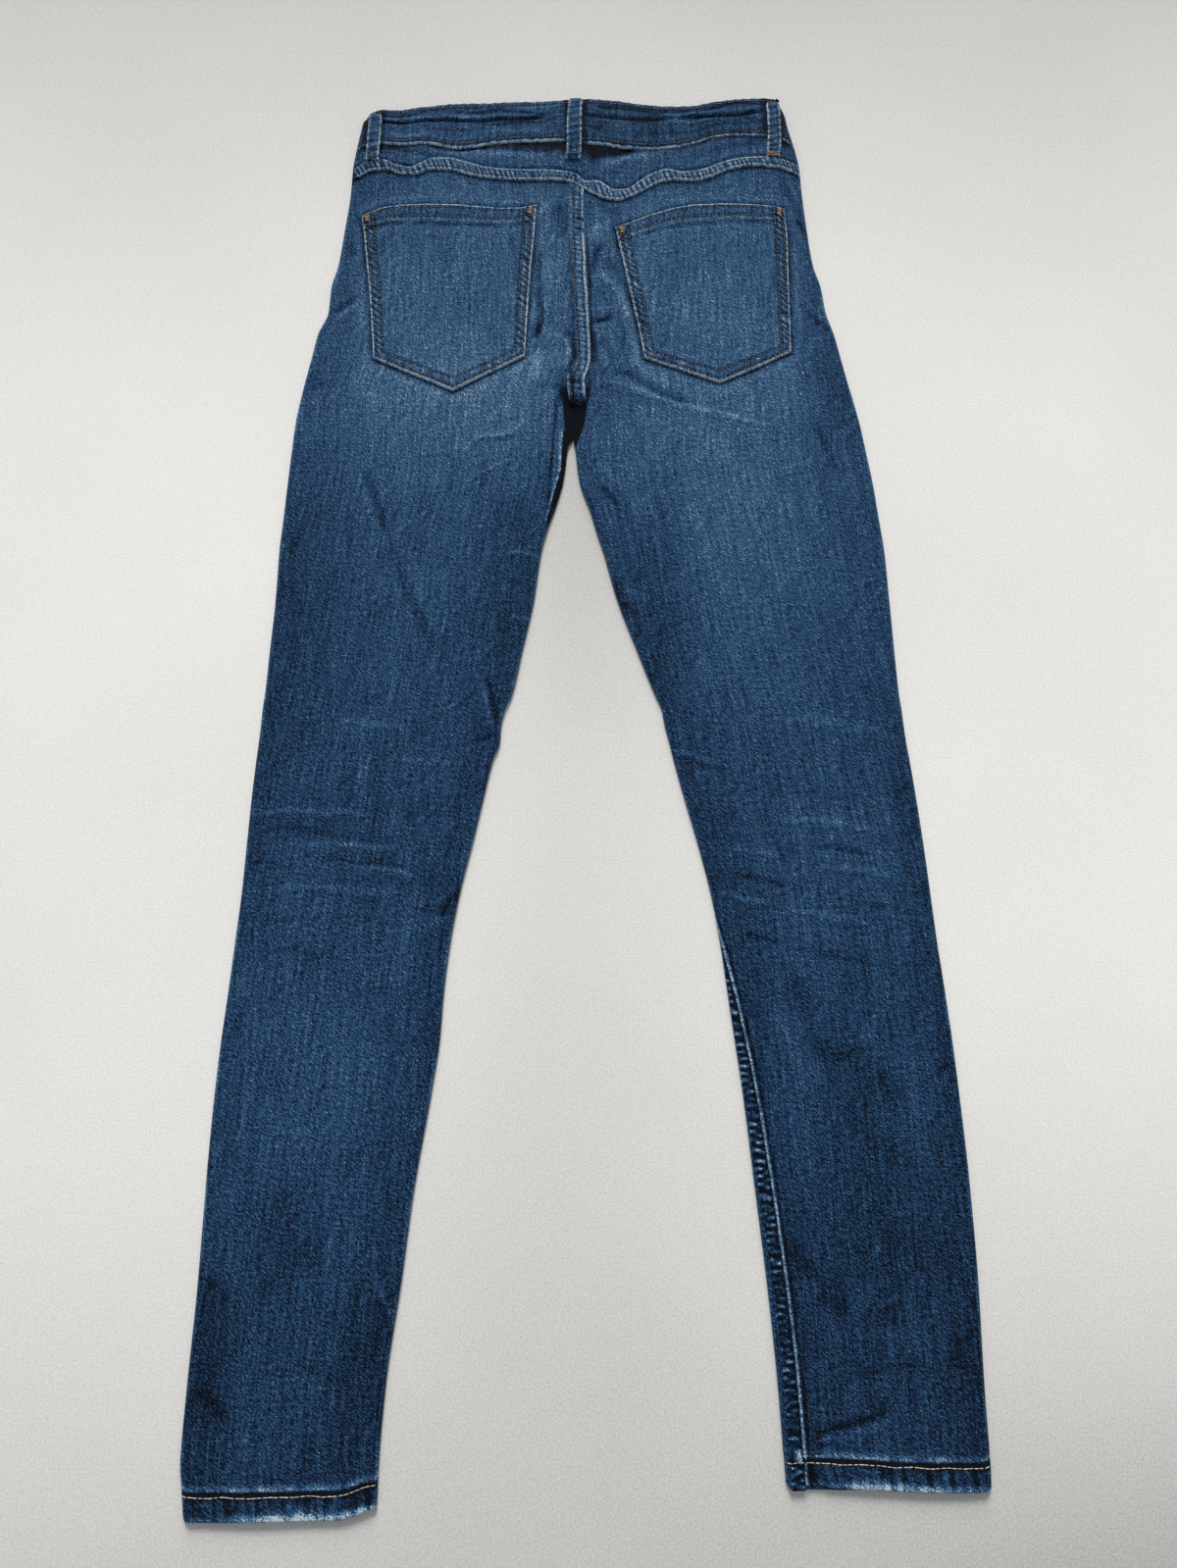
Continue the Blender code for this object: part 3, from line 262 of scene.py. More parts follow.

# ---------------------------------------------------------------- creases, listed one by one
CREASES_MM = [
    # what, from x, y, to x, y, bend, half-width, rise, tone; the tone is painted shade in the hollows and painted
    # highlight on the ridges
    ("side notch left", -201, 334, -183, 350, 0.0, 2.6, -1.0, -0.20),
    ("side notch left, light", -198, 327, -179, 346, 0.0, 3.0, 0.6, 0.12),
    ("side left 2", -196, 396, -183, 385, 0.0, 3.0, -0.5, -0.12),
    ("side notch right", 194, 318, 179, 335, 0.0, 2.6, -0.8, -0.18),
    ("side right 2", 171, 422, 183, 400, 0.0, 2.6, -0.7, -0.18),
    ("side right 3", 173, 351, 191, 325, 0.0, 3.5, 0.5, 0.1),
    ("hip left 2", -219, 266, -199, 274, 0.0, 3.0, -0.5, -0.1),
    ("left inner small", -61, 131, -33, 126, 0.0, 1.6, 0.6, 0.24),
    ("left inner small 2", -56, 79, -39, 75, 0.0, 1.6, 0.6, 0.22),
    ("left inner small 3", -66, 108, -38, 100, 0.0, 2.0, -0.4, -0.12),
    ("left thigh whisker", -191, -5, -127, -10, 2.2, 2.6, 0.3, 0.1),
    ("left thigh whisker 2", -144, -31, -90, -38, 1.5, 2.4, 0.3, 0.09),
    ("knee left 1", -243, -72, -148, -75, 2.2, 2.4, 0.5, 0.17),
    ("knee left 2", -208, -96, -130, -100, 2.2, 2.2, 0.5, 0.17),
    ("knee left 3", -162, -112, -119, -119, 1.5, 2.2, 0.5, 0.15),
    ("knee left 4", -235, -84, -180, -87, 1.5, 2.6, -0.4, -0.12),
    ("knee left 5", -193, -107, -123, -111, 1.5, 2.6, -0.4, -0.14),
    ("knee left 6", -220, -126, -136, -133, 3.0, 2.6, 0.3, 0.1),
    ("knee left 7", -242, -108, -207, -111, 0.0, 2.6, -0.3, -0.1),
    ("knee notch left", -89, -126, -103, -151, 0.0, 3.0, -1.0, -0.22),
    ("knee notch left light", -96, -143, -115, -157, 0.0, 3.0, 0.5, 0.12),
    ("left calf patch", -204, -164, -182, -184, 0.0, 7.0, -0.3, -0.08),
    ("left ankle fold", -140, -384, -123, -414, 0.0, 3.4, 0.8, 0.14),
    ("left ankle fold dark", -136, -393, -127, -426, 0.0, 2.6, -0.6, -0.16),
    ("left ankle patch", -251, -453, -229, -475, 0.0, 6.0, -0.6, -0.16),
    ("left ankle 2", -188, -439, -159, -447, 0.0, 4.0, -0.3, -0.08),
    ("left ankle 3", -250, -383, -234, -401, 0.0, 4.0, -0.3, -0.10),
    ("right thigh crease", 11, 185, 26, 166, 0.0, 2.6, -0.9, -0.22),
    ("right thigh crease 2", 11, 205, 32, 180, 0.0, 3.0, 0.5, 0.08),
    ("right inner notch", 22, 110, 29, 77, 0.0, 2.8, -0.9, -0.22),
    ("right inner dark", 26, 92, 39, 80, 0.0, 2.0, -0.8, -0.22),
    ("right inner light", 27, 100, 48, 91, 0.0, 2.2, 0.5, 0.14),
    ("right inner 3", 39, 54, 51, 23, 0.0, 3.0, -0.5, -0.14),
    ("right thigh light band", 142, -1, 232, -19, 3.8, 5.0, 0.4, 0.08),
    ("right thin light", 62, -24, 97, -36, 0.0, 1.8, 0.5, 0.18),
    ("right thin dark", 66, -31, 102, -42, 0.0, 2.2, -0.3, -0.1),
    ("knee right 1", 163, -96, 202, -102, 0.0, 2.4, -0.5, -0.18),
    ("knee right 2", 107, -117, 145, -127, 1.5, 2.6, -0.5, -0.18),
    ("knee right 3", 97, -129, 129, -137, 0.0, 2.4, 0.5, 0.18),
    ("knee right 4", 111, -159, 136, -165, 0.0, 2.0, -0.5, -0.18),
    ("knee right 5", 136, -77, 216, -87, 3.0, 2.8, 0.4, 0.13),
    ("knee right 6", 171, -112, 228, -120, 1.5, 2.8, 0.4, 0.12),
    ("knee right 7", 134, -143, 202, -153, 2.2, 2.8, 0.4, 0.12),
    ("knee right 8", 176, -133, 230, -143, 0.0, 2.6, -0.3, -0.12),
    ("knee right 9", 102, -98, 142, -105, 1.5, 2.4, 0.3, 0.1),
    ("knee right 10", 140, -171, 208, -181, 2.2, 3.0, -0.3, -0.1),
    ("right calf patch 1", 143, -191, 158, -221, 0.0, 11.0, -0.5, -0.10),
    ("right calf patch 2", 155, -231, 184, -249, 0.0, 10.2, -0.5, -0.10),
    ("right calf patch 3", 200, -252, 218, -274, 0.0, 10.2, -0.5, -0.09),
    ("right calf light", 131, -211, 147, -251, 0.0, 6.0, 0.4, 0.10),
    ("right calf light 2", 192, -218, 204, -244, 0.0, 6.0, 0.3, 0.08),
    ("right calf patch 4", 134, -361, 152, -389, 0.0, 10.2, -0.5, -0.10),
    ("right calf patch 5", 156, -390, 174, -411, 0.0, 9.3, -0.5, -0.10),
    ("right calf patch 6", 192, -405, 203, -414, 0.0, 8.5, -0.4, -0.09),
    ("right calf patch 7", 241, -422, 251, -444, 0.0, 8.5, -0.5, -0.10),
    ("right ankle crease", 147, -478, 198, -463, -2.2, 2.8, -0.8, -0.22),
    ("right ankle crease light", 148, -483, 201, -468, -2.2, 3.2, 0.5, 0.1),
    ("right ankle 2", 180, -442, 225, -437, 0.0, 4.0, -0.3, -0.10),
    ("right outer 1", 236, -51, 221, -65, 0.0, 3.0, -0.4, -0.10),
    ("right outer 2", 244, -122, 231, -133, 0.0, 3.0, -0.4, -0.10),
    ("right outer 3", 254, -244, 240, -255, 0.0, 3.0, -0.4, -0.10),
    ("left outer 1", -242, -83, -230, -77, 0.0, 3.0, -0.4, -0.10),
    ("left outer 2", -228, 132, -217, 142, 0.0, 3.0, -0.4, -0.10),
]

# folds and pale lines drawn as strokes, sharper on one side than on the other; their tone is painted shade in the
# folds and painted highlight on the ridges
STROKES_MM = [
    # what, points, half-width to the left of the way along, to the right, rise, tone
    ("left of the seam, dark hem of the fold", [(-35.0, 399.9), (-36.0, 385.3), (-37.8, 364.6), (-36.1, 351.2), (-34.4, 335.3), (-35.1, 324.7), (-38.1, 311.6), (-41.8, 302.0)], 1.3, 5.0, -1.5, -0.22),
    ("left of the seam, deepest", [(-35.1, 328.2), (-37.0, 321.2), (-38.8, 311.6)], 1.6, 2.6, -0.8, -0.22),
    ("left of the seam, light side", [(-32.6, 401.7), (-33.2, 378.1), (-33.0, 351.2), (-31.5, 323.0)], 6.0, 1.2, 0.8, 0.035),
    ("below the pocket corner, light", [(-39.5, 418.2), (-36.8, 427.4), (-32.0, 432.9), (-24.9, 436.6)], 1.2, 1.6, 0.5, 0.15),
    ("left of the seam, dark patch", [(-20.1, 437.5), (-17.6, 421.8), (-19.1, 401.7)], 3.2, 8.0, -0.9, -0.16),
    ("left of the seam, streak", [(-31.7, 395.3), (-26.3, 404.4), (-20.8, 415.4)], 1.6, 1.6, 0.4, 0.12),
    ("left of the seam, streak 2", [(-22.3, 401.7), (-14.4, 410.8)], 1.0, 1.0, -0.3, -0.16),
    ("left of the seam, long light", [(-26.1, 385.3), (-26.7, 360.2), (-24.2, 329.1)], 8.0, 6.0, 0.4, 0.02),
    ("above the fold, light arc", [(-30.3, 316.8), (-23.3, 315.9), (-17.1, 311.6), (-12.8, 304.6), (-11.6, 297.6), (-13.1, 290.7), (-17.7, 282.9)], 1.0, 2.0, 0.6, 0.16),
    ("above the fold, dark arc", [(-19.5, 320.3), (-13.2, 314.2), (-10.1, 304.6), (-10.1, 295.0), (-13.1, 287.3), (-17.7, 279.5)], 3.2, 1.0, -1.0, -0.28),
    ("above the fold, small dark", [(-29.5, 311.6), (-31.8, 301.1)], 1.4, 1.4, -0.4, -0.13),
    ("above the fold, small dark 2", [(-38.0, 307.2), (-41.8, 296.8)], 1.2, 1.6, -0.4, -0.14),
    ("above the fold, light side", [(-34.9, 305.5), (-37.8, 288.1), (-40.0, 270.9)], 2.5, 5.0, 0.4, 0.08),
    ("beside the pocket, light", [(-40.4, 385.3), (-42.4, 351.2), (-43.6, 324.7)], 2.5, 1.2, 0.3, 0.08),
    ("beside the seam, shade", [(-12.8, 407.2), (-11.0, 360.2), (-9.3, 315.9), (-6.9, 284.7)], 1.6, 1.8, -0.2, -0.16),
    ("right of the seam, line", [(-0.5, 409.0), (1.1, 385.3), (2.9, 351.2), (4.3, 324.7), (5.0, 305.5), (4.8, 281.2)], 1.5, 0.9, -0.7, -0.42),
    ("right of the seam, upper dark", [(2.3, 439.4), (11.9, 434.8), (21.5, 426.4), (27.8, 412.7), (32.4, 396.2)], 6.0, 4.0, -0.6, -0.1),
    ("right of the seam, light patch", [(3.1, 399.9), (7.1, 409.0), (12.7, 416.3)], 4.0, 5.0, 0.6, 0.13),
    ("right of the seam, wedge", [(4.7, 367.3), (6.3, 379.9), (9.4, 390.8), (15.0, 397.1)], 2.2, 3.2, -1.0, -0.24),
    ("right of the seam, ridge", [(5.5, 379.9), (12.6, 370.0), (21.2, 359.3), (29.7, 347.7), (34.3, 335.3), (35.8, 319.4)], 1.6, 7.5, 1.4, 0.10),
    ("right of the seam, past the ridge", [(11.0, 389.0), (20.5, 375.4), (29.8, 360.2), (37.5, 343.2), (42.0, 323.0), (45.0, 305.5)], 5.0, 1.6, -0.9, -0.13),
    ("right of the seam, lines on the ridge", [(7.0, 369.1), (14.9, 359.3), (24.3, 348.6)], 1.0, 1.0, -0.3, -0.12),
    ("right of the seam, lines on the ridge 2", [(5.5, 358.4), (13.3, 350.4), (19.5, 343.2)], 1.0, 1.2, -0.3, -0.1),
    ("crumple, light", [(3.1, 335.3), (11.7, 337.0), (22.6, 340.6)], 1.6, 1.2, 0.6, 0.12),
    ("crumple", [(4.7, 327.3), (10.1, 328.2), (15.6, 329.1), (21.8, 334.4)], 1.3, 2.8, -1.1, -0.3),
    ("crumple, below", [(5.4, 318.6), (11.7, 323.0), (19.5, 325.6)], 1.5, 1.8, 0.4, 0.09),
    ("crumple, upright", [(25.8, 338.8), (26.5, 329.1), (26.4, 319.4)], 1.3, 1.3, -0.6, -0.19),
    ("crumple, upright 2", [(29.6, 323.8), (30.3, 311.6), (29.4, 302.0)], 1.6, 2.0, -0.5, -0.14),
    ("crumple, light 2", [(19.4, 317.7), (21.7, 307.2), (22.4, 296.8)], 1.4, 2.2, 0.4, 0.1),
    ("crumple, small dark 3", [(11.6, 313.3), (14.7, 305.5)], 1.3, 1.3, -0.4, -0.14),
    ("right of the seam, low dark", [(7.0, 317.7), (7.7, 302.0), (6.9, 284.7)], 2.6, 2.6, -0.6, -0.18),
    ("right of the seam, arc", [(11.6, 303.7), (16.2, 296.8), (17.4, 289.9), (13.9, 280.4)], 1.0, 1.4, 0.4, 0.15),
    ("right of the seam, arc dark", [(14.7, 305.5), (19.3, 295.9), (20.1, 288.1), (17.0, 279.5)], 1.4, 1.0, -0.4, -0.14),
    ("fold from the crotch, dark", [(19.3, 289.9), (27.0, 284.7), (33.9, 279.5), (44.6, 270.9), (57.6, 262.4), (72.8, 256.4), (91.1, 251.3)], 4.0, 1.6, -1.1, -0.16),
    ("fold from the crotch, light", [(0.8, 278.6), (11.6, 276.1), (25.4, 272.6), (37.7, 267.5), (51.4, 262.4), (71.2, 254.7), (104.7, 246.2), (152.4, 232.8)], 1.4, 2.4, 0.9, 0.15),
    ("fold from the crotch, high light", [(34.8, 296.8), (44.8, 285.5), (54.6, 274.4), (66.8, 267.5)], 4.0, 3.0, 0.6, 0.09),
    ("below the crotch fold", [(11.5, 265.8), (33.0, 260.7), (54.4, 253.9)], 3.0, 4.5, -0.4, -0.06),
    ("left of the gap, light", [(-26.1, 270.9), (-28.3, 255.6), (-31.2, 230.2)], 5.0, 2.0, 0.3, 0.06),
    ("right hip, pale line 1", [(167.8, 454.3), (172.9, 441.3), (176.4, 429.2)], 1.2, 1.4, 0.5, 0.12),
    ("right hip, pale line 2", [(173.5, 457.1), (177.9, 446.8), (180.7, 436.6)], 1.1, 1.2, 0.5, 0.11),
    ("right hip, dark line", [(163.7, 453.4), (168.8, 438.5), (172.3, 425.5)], 2.0, 1.6, -0.5, -0.12),
    ("right yoke, pale line 1", [(64.2, 453.4), (69.6, 444.0), (75.1, 434.8)], 0.8, 0.9, 0.2, 0.09),
    ("right yoke, pale line 2", [(71.3, 449.6), (79.2, 439.4), (89.4, 430.1)], 0.8, 0.9, 0.2, 0.07),
    ("yoke, right ridge", [(8.8, 461.8), (20.1, 469.3), (37.8, 476.8), (76.8, 487.3)], 4.2, 4.2, 0.8, 0.12),
    ("yoke, right hollow", [(2.3, 472.1), (16.9, 477.8), (42.8, 484.4)], 3.5, 3.5, -0.9, -0.16),
    ("yoke, right far dark", [(83.1, 476.8), (115.6, 487.3), (152.3, 493.0)], 2.6, 4.0, -0.5, -0.1),
    ("yoke, left dark", [(-163.7, 489.2), (-144.9, 483.5), (-122.1, 479.7)], 2.4, 2.4, -0.5, -0.14),
    ("yoke, left light", [(-126.9, 476.8), (-94.7, 481.6), (-62.3, 479.7), (-21.9, 475.9)], 3.0, 3.0, 0.5, 0.09),
    ("yoke, left dark 2", [(-115.0, 487.3), (-78.6, 487.3), (-30.0, 482.5)], 1.8, 3.0, -0.5, -0.12),
    ("left thigh, thin light", [(-41.3, 248.8), (-48.8, 238.6), (-57.0, 229.4), (-63.9, 226.9), (-78.3, 227.7), (-87.3, 222.7), (-93.2, 214.4), (-97.5, 204.4)], 1.1, 1.4, 0.6, 0.15),
    ("left thigh, thin light 2", [(-55.2, 207.7), (-68.0, 201.9), (-79.9, 195.3), (-89.6, 188.7), (-95.5, 183.0)], 1.0, 1.3, 0.5, 0.12),
    ("left thigh, beside the thin light", [(-51.0, 230.2), (-63.0, 222.7), (-79.7, 222.7), (-90.1, 211.9)], 1.2, 2.2, -0.4, -0.08),
    ("left thigh crease", [(-170.5, 201.0), (-164.2, 185.1), (-158.2, 167.1), (-150.0, 142.0)], 1.8, 3.6, -1.2, -0.19),
    ("left thigh crease, light", [(-176.0, 196.0), (-170.0, 180.0), (-163.6, 162.0), (-155.0, 140.0)], 2.6, 3.6, 0.7, 0.06),
    ("left thigh crease, on", [(-153.0, 150.0), (-148.1, 136.4), (-138.1, 108.6), (-126.1, 81.1), (-114.4, 57.8), (-107.3, 37.1)], 2.6, 4.0, -0.7, -0.09),
    ("left thigh crease, on, light", [(-146.0, 152.0), (-141.0, 138.0), (-131.0, 110.0), (-119.0, 83.0), (-108.0, 60.0)], 4.0, 3.0, 0.4, 0.04),
    ("left inner fold", [(-73.5, 36.0), (-70.6, 24.0), (-66.5, 4.8), (-63.8, -12.0)], 1.4, 2.0, -0.9, -0.22),
    ("left inner fold, light", [(-78.0, 30.0), (-74.4, 20.0), (-69.8, -0.7), (-66.2, -14.4)], 1.2, 1.6, 0.6, 0.16),
    ("left inner fold, low", [(-66.0, -12.0), (-74.0, -17.0), (-84.0, -19.0)], 1.4, 2.0, -0.5, -0.12),
    ("right thigh, fold", [(177.2, 242.9), (183.3, 226.0), (190.1, 209.4), (195.4, 193.6)], 2.4, 4.0, -0.6, -0.13),
]

# how faded the cloth is down the middle of each leg, and how much darker it is at the folds
FADE_MM = {
    "left": [(530, 0.46), (440, 0.50), (380, 0.54), (300, 0.58), (240, 0.56), (190, 0.46), (120, 0.41), (40, 0.38), (-60, 0.36), (-150, 0.36), (-250, 0.37), (-340, 0.36), (-430, 0.31), (-530, 0.28)],
    "right": [(530, 0.46), (440, 0.50), (380, 0.54), (300, 0.56), (240, 0.53), (190, 0.50), (120, 0.47), (40, 0.42), (-60, 0.38), (-150, 0.36), (-250, 0.31), (-340, 0.29), (-430, 0.26), (-530, 0.25)],
}
BLOBS_MM = [
    # what, x, y, reach across, reach along, turn in degrees, tone
    ("band", -95.3, 504.3, 48, 14, 0, -0.06),
    ("band, right", 83.7, 504.3, 56, 14, 0, -0.11),
    ("left hip", -197.7, 269.0, 21, 52, 0, -0.085),
    ("right hip", 190.8, 269.0, 24, 52, 0, -0.09),
    ("left thigh, inner", -62.9, 120.4, 21, 65, 0, -0.07),
    ("right thigh, inner", 52.5, 100.7, 29, 78, 0, -0.13),
    ("left seat, low", -97.0, 239.2, 48, 23, 0, -0.04),
    ("right seat by the pocket", 24.5, 389.7, 11, 23, 0, -0.09),
    ("right thigh, outer", 217.7, 100.7, 18, 78, 0, 0.05),
    ("left calf, outer", -240.5, -257.2, 24, 96, 0, 0.09),
    ("right calf, outer", 230.3, -257.2, 19, 78, 0, 0.065),
    ("right calf, inner", 141.7, -260.5, 21, 61, 0, 0.075),
    ("right calf, middle", 184.4, -263.7, 21, 61, 0, -0.05),
    ("left shin", -194.7, -355.3, 27, 42, 0, -0.1),
    ("right shin", 198.0, -355.3, 32, 52, 0, -0.08),
    ("left ankle, inner", -149.0, -442.3, 16, 61, 0, -0.06),
    ("left ankle, outer", -244.4, -442.3, 14, 52, 0, -0.08),
    ("left knee", -166.0, -93.9, 40, 43, 0, -0.03),
    ("left seat", -90, 262, 75, 40, 0, 0.07),
    ("left seat by the seam", -25, 300, 14, 70, 0, -0.01),
    ("right seat", 90, 240, 70, 34, 0, 0.02),
    ("right of the seat seam", 20, 350, 14, 60, 0, -0.03),
    ("right thigh", 110, 150, 60, 70, 0, 0.04),
    ("left thigh, outer", -205, 120, 25, 130, 0, -0.05),
    ("right thigh, outer", 205, 120, 25, 120, 0, -0.06),
    ("left hip", -198, 330, 18, 60, 0, -0.04),
    ("right hip", 182, 330, 18, 60, 0, -0.05),
    ("left calf", -190, -260, 30, 90, 0, 0.03),
    ("left knee", -185, -90, 50, 40, 0, 0.02),
    ("right knee", 170, -100, 45, 45, 0, 0.01),
    ("right knee, outer", 212, -95, 20, 60, 0, 0.035),
    ("right knee, inner", 100, -90, 26, 60, 0, -0.03),
    ("right hip, low", 186, 300, 20, 50, 0, -0.03),
    ("middle of the seat", 4, 330, 26, 50, 0, -0.05),
    ("right seat, by the pocket corner", 40, 385, 13, 26, 0, 0.07),
    ("right pocket, low", 108, 318, 36, 26, 0, 0.04),
    ("left calf, inner", -128, -180, 16, 70, 0, 0.03),
    ("right hip, outer", 200, 262, 18, 40, 0, -0.02),
    ("right hem", 200, -500, 60, 22, 0, 0.03),
]


# ---------------------------------------------------------------- helpers
def smooth(a, b, x):
    t = np.clip((x - a) / (b - a), 0.0, 1.0)
    return t * t * (3 - 2 * t)


def lerp(a, b, t):
    return a + (b - a) * t


def gauss(x):
    return np.exp(-(x**2))


class Curve:
    """The part's smooth curve through points, which doesn't overshoot them."""

    def __init__(self, points, scale=(MM, MM)):
        rows = sorted(points)
        xs = np.array([r[0] for r in rows], float) * scale[0]
        ys = np.array([r[1] for r in rows], float) * scale[1]
        h, n = np.diff(xs), len(xs)
        d = np.diff(ys) / h
        m = np.zeros(n)
        m[0], m[-1] = d[0], d[-1]
        for i in range(1, n - 1):
            if d[i - 1] * d[i] > 0:
                w1, w2 = 2 * h[i] + h[i - 1], h[i] + 2 * h[i - 1]
                m[i] = (w1 + w2) / (w1 / d[i - 1] + w2 / d[i])
        self.xs, self.ys, self.m, self.h = xs, ys, m, h

    def __call__(self, x):
        x = np.clip(np.asarray(x, float), self.xs[0], self.xs[-1])
        i = np.clip(np.searchsorted(self.xs, x, side="right") - 1, 0, len(self.xs) - 2)
        h, t = self.h[i], (x - self.xs[i]) / self.h[i]
        a, b = self.ys[i], self.ys[i + 1]
        return (
            a * (1 + 2 * t) * (1 - t) ** 2
            + self.m[i] * h * t * (1 - t) ** 2
            + b * t * t * (3 - 2 * t)
            - self.m[i + 1] * h * t * t * (1 - t)
        )


def lattice(ix, iy, seed):
    h = (ix.astype(np.int64) * 374761393 + iy.astype(np.int64) * 668265263 + seed * 974634777) & 0xFFFFFFFF
    h = ((h ^ (h >> 13)) * 1274126177) & 0xFFFFFFFF
    return ((h ^ (h >> 16)) & 0xFFFF) / 32767.5 - 1.0


def noise(x, y, seed=0):
    """Smooth noise from -1 to 1, one hump to each unit."""
    x, y = np.broadcast_arrays(np.asarray(x, float), np.asarray(y, float))
    ix, iy = np.floor(x), np.floor(y)
    fx, fy = x - ix, y - iy
    u, v = fx * fx * (3 - 2 * fx), fy * fy * (3 - 2 * fy)
    a, b = lattice(ix, iy, seed), lattice(ix + 1, iy, seed)
    c, d = lattice(ix, iy + 1, seed), lattice(ix + 1, iy + 1, seed)
    return lerp(lerp(a, b, u), lerp(c, d, u), v)


def wave(s, pitch, seed):
    """An uneven wave along a seam, from -1 to 1: the pitch and the height both wander."""
    phase = s / pitch + 0.55 * noise(s / (2.3 * pitch), 0.0 * s, seed)
    return np.sin(2 * np.pi * phase) * (0.65 + 0.35 * noise(s / (1.7 * pitch), 3.0 + 0.0 * s, seed + 1))


names = ("y", "left_out", "left_in", "right_in", "right_out", "top")
SECTION = {c: Curve([(r[0], r[k]) for r in SECTIONS_MM]) for k, c in enumerate(names) if k}
SEAM = {c: Curve([(r[0], r[k]) for r in SEAMS_MM]) for k, c in enumerate(("x", "band_top", "band_bottom", "yoke_seam")) if k}
INSEAM = {c: Curve([(r[0], r[k]) for r in INSEAM_MM]) for k, c in enumerate(("y", "left", "right")) if k}
SEAM["band_top"], SEAM["band_bottom"] = Curve(BAND_TOP_MM), Curve(BAND_LOW_MM)
YOKE_UP, YOKE_LOW = Curve(YOKE_UP_MM), Curve(YOKE_LOW_MM)
FLY_X = Curve(FLY_MM)
SEAT_L, SEAT_R = Curve([r[:2] for r in SEAT_BAND_MM]), Curve([(r[0], r[2]) for r in SEAT_BAND_MM])
FADE = {s: Curve(rows, (MM, 1.0)) for s, rows in FADE_MM.items()}


def quarter(a, b):
    return math.pi / 2 * np.sqrt((a**2 + b**2) / 2)


OVER = float(quarter(TOP_ROLL, 2.7 * MM))


# ---------------------------------------------------------------- heights
def bump(x, y):
    return np.exp(-(((x - BUTTON_X) / 0.030) ** 2) - (((y - BUTTON_Y) / 0.036) ** 2))


def fold_rise(x, y):
    total = np.zeros(np.broadcast(x, y).shape)
    for x0, y0, x1, y1, wide, rise in FOLDS_MM:
        ax, ay, bx, by = x0 * MM, y0 * MM, x1 * MM, y1 * MM
        dx, dy = bx - ax, by - ay
        long = math.hypot(dx, dy)
        a = ((x - ax) * dx + (y - ay) * dy) / long**2
        off = ((x - ax) * dy - (y - ay) * dx) / long
        total += rise * MM * gauss(off / (wide * MM)) * smooth(-0.15, 0.25, a) * smooth(1.15, 0.75, a)
    return total


def hem_line(side, x):
    if side == "left":
        return -0.5284 + 0.0008 * np.sin((x + 0.19) * 26) + 0.0058 * smooth(-0.158, -0.131, x) + 0.0014 * smooth(-0.2525, -0.2570, x)
    return lerp(-0.5088, -0.5120, smooth(0.135, 0.235, x)) + 0.0022 * smooth(0.2550, 0.2600, x) + 0.0010 * smooth(0.132, 0.128, x)


def crown(side, x, y):
    out, inn = SECTION[side + "_out"](y), SECTION[side + "_in"](y)
    across = np.clip((x - out) / (inn - out), 0, 1)
    edge = np.minimum(np.abs(x - out), np.where(y < 0.27, np.abs(x - inn), 1.0))
    sag = 0.06 * np.sin(np.pi * across * lerp(1.0, 0.55, smooth(0.24, 0.30, y)))
    return lerp(EDGE_SHARE, 0.94, smooth(0.0, SWELL, edge)) + sag


def stroke_distance(x, y, path):
    """Signed distance to a polyline (left of the way along is positive), how far along it, and its length."""
    best, run, sign = np.full(x.shape, 1e9), np.zeros(x.shape), np.ones(x.shape)
    start = 0.0
    for (x0, y0), (x1, y1) in zip(path, path[1:]):
        dx, dy = x1 - x0, y1 - y0
        long = math.hypot(dx, dy)
        a = ((x - x0) * dx + (y - y0) * dy) / long**2
        b = np.clip(a, 0, 1)
        d = np.hypot(x - x0 - b * dx, y - y0 - b * dy)
        closer = d < best
        run = np.where(closer, start + a * long if len(path) == 2 else start + b * long, run)
        sign = np.where(closer, np.sign(dx * (y - y0) - dy * (x - x0)), sign)
        best = np.minimum(best, d)
        start += long
    return best * sign, run, start


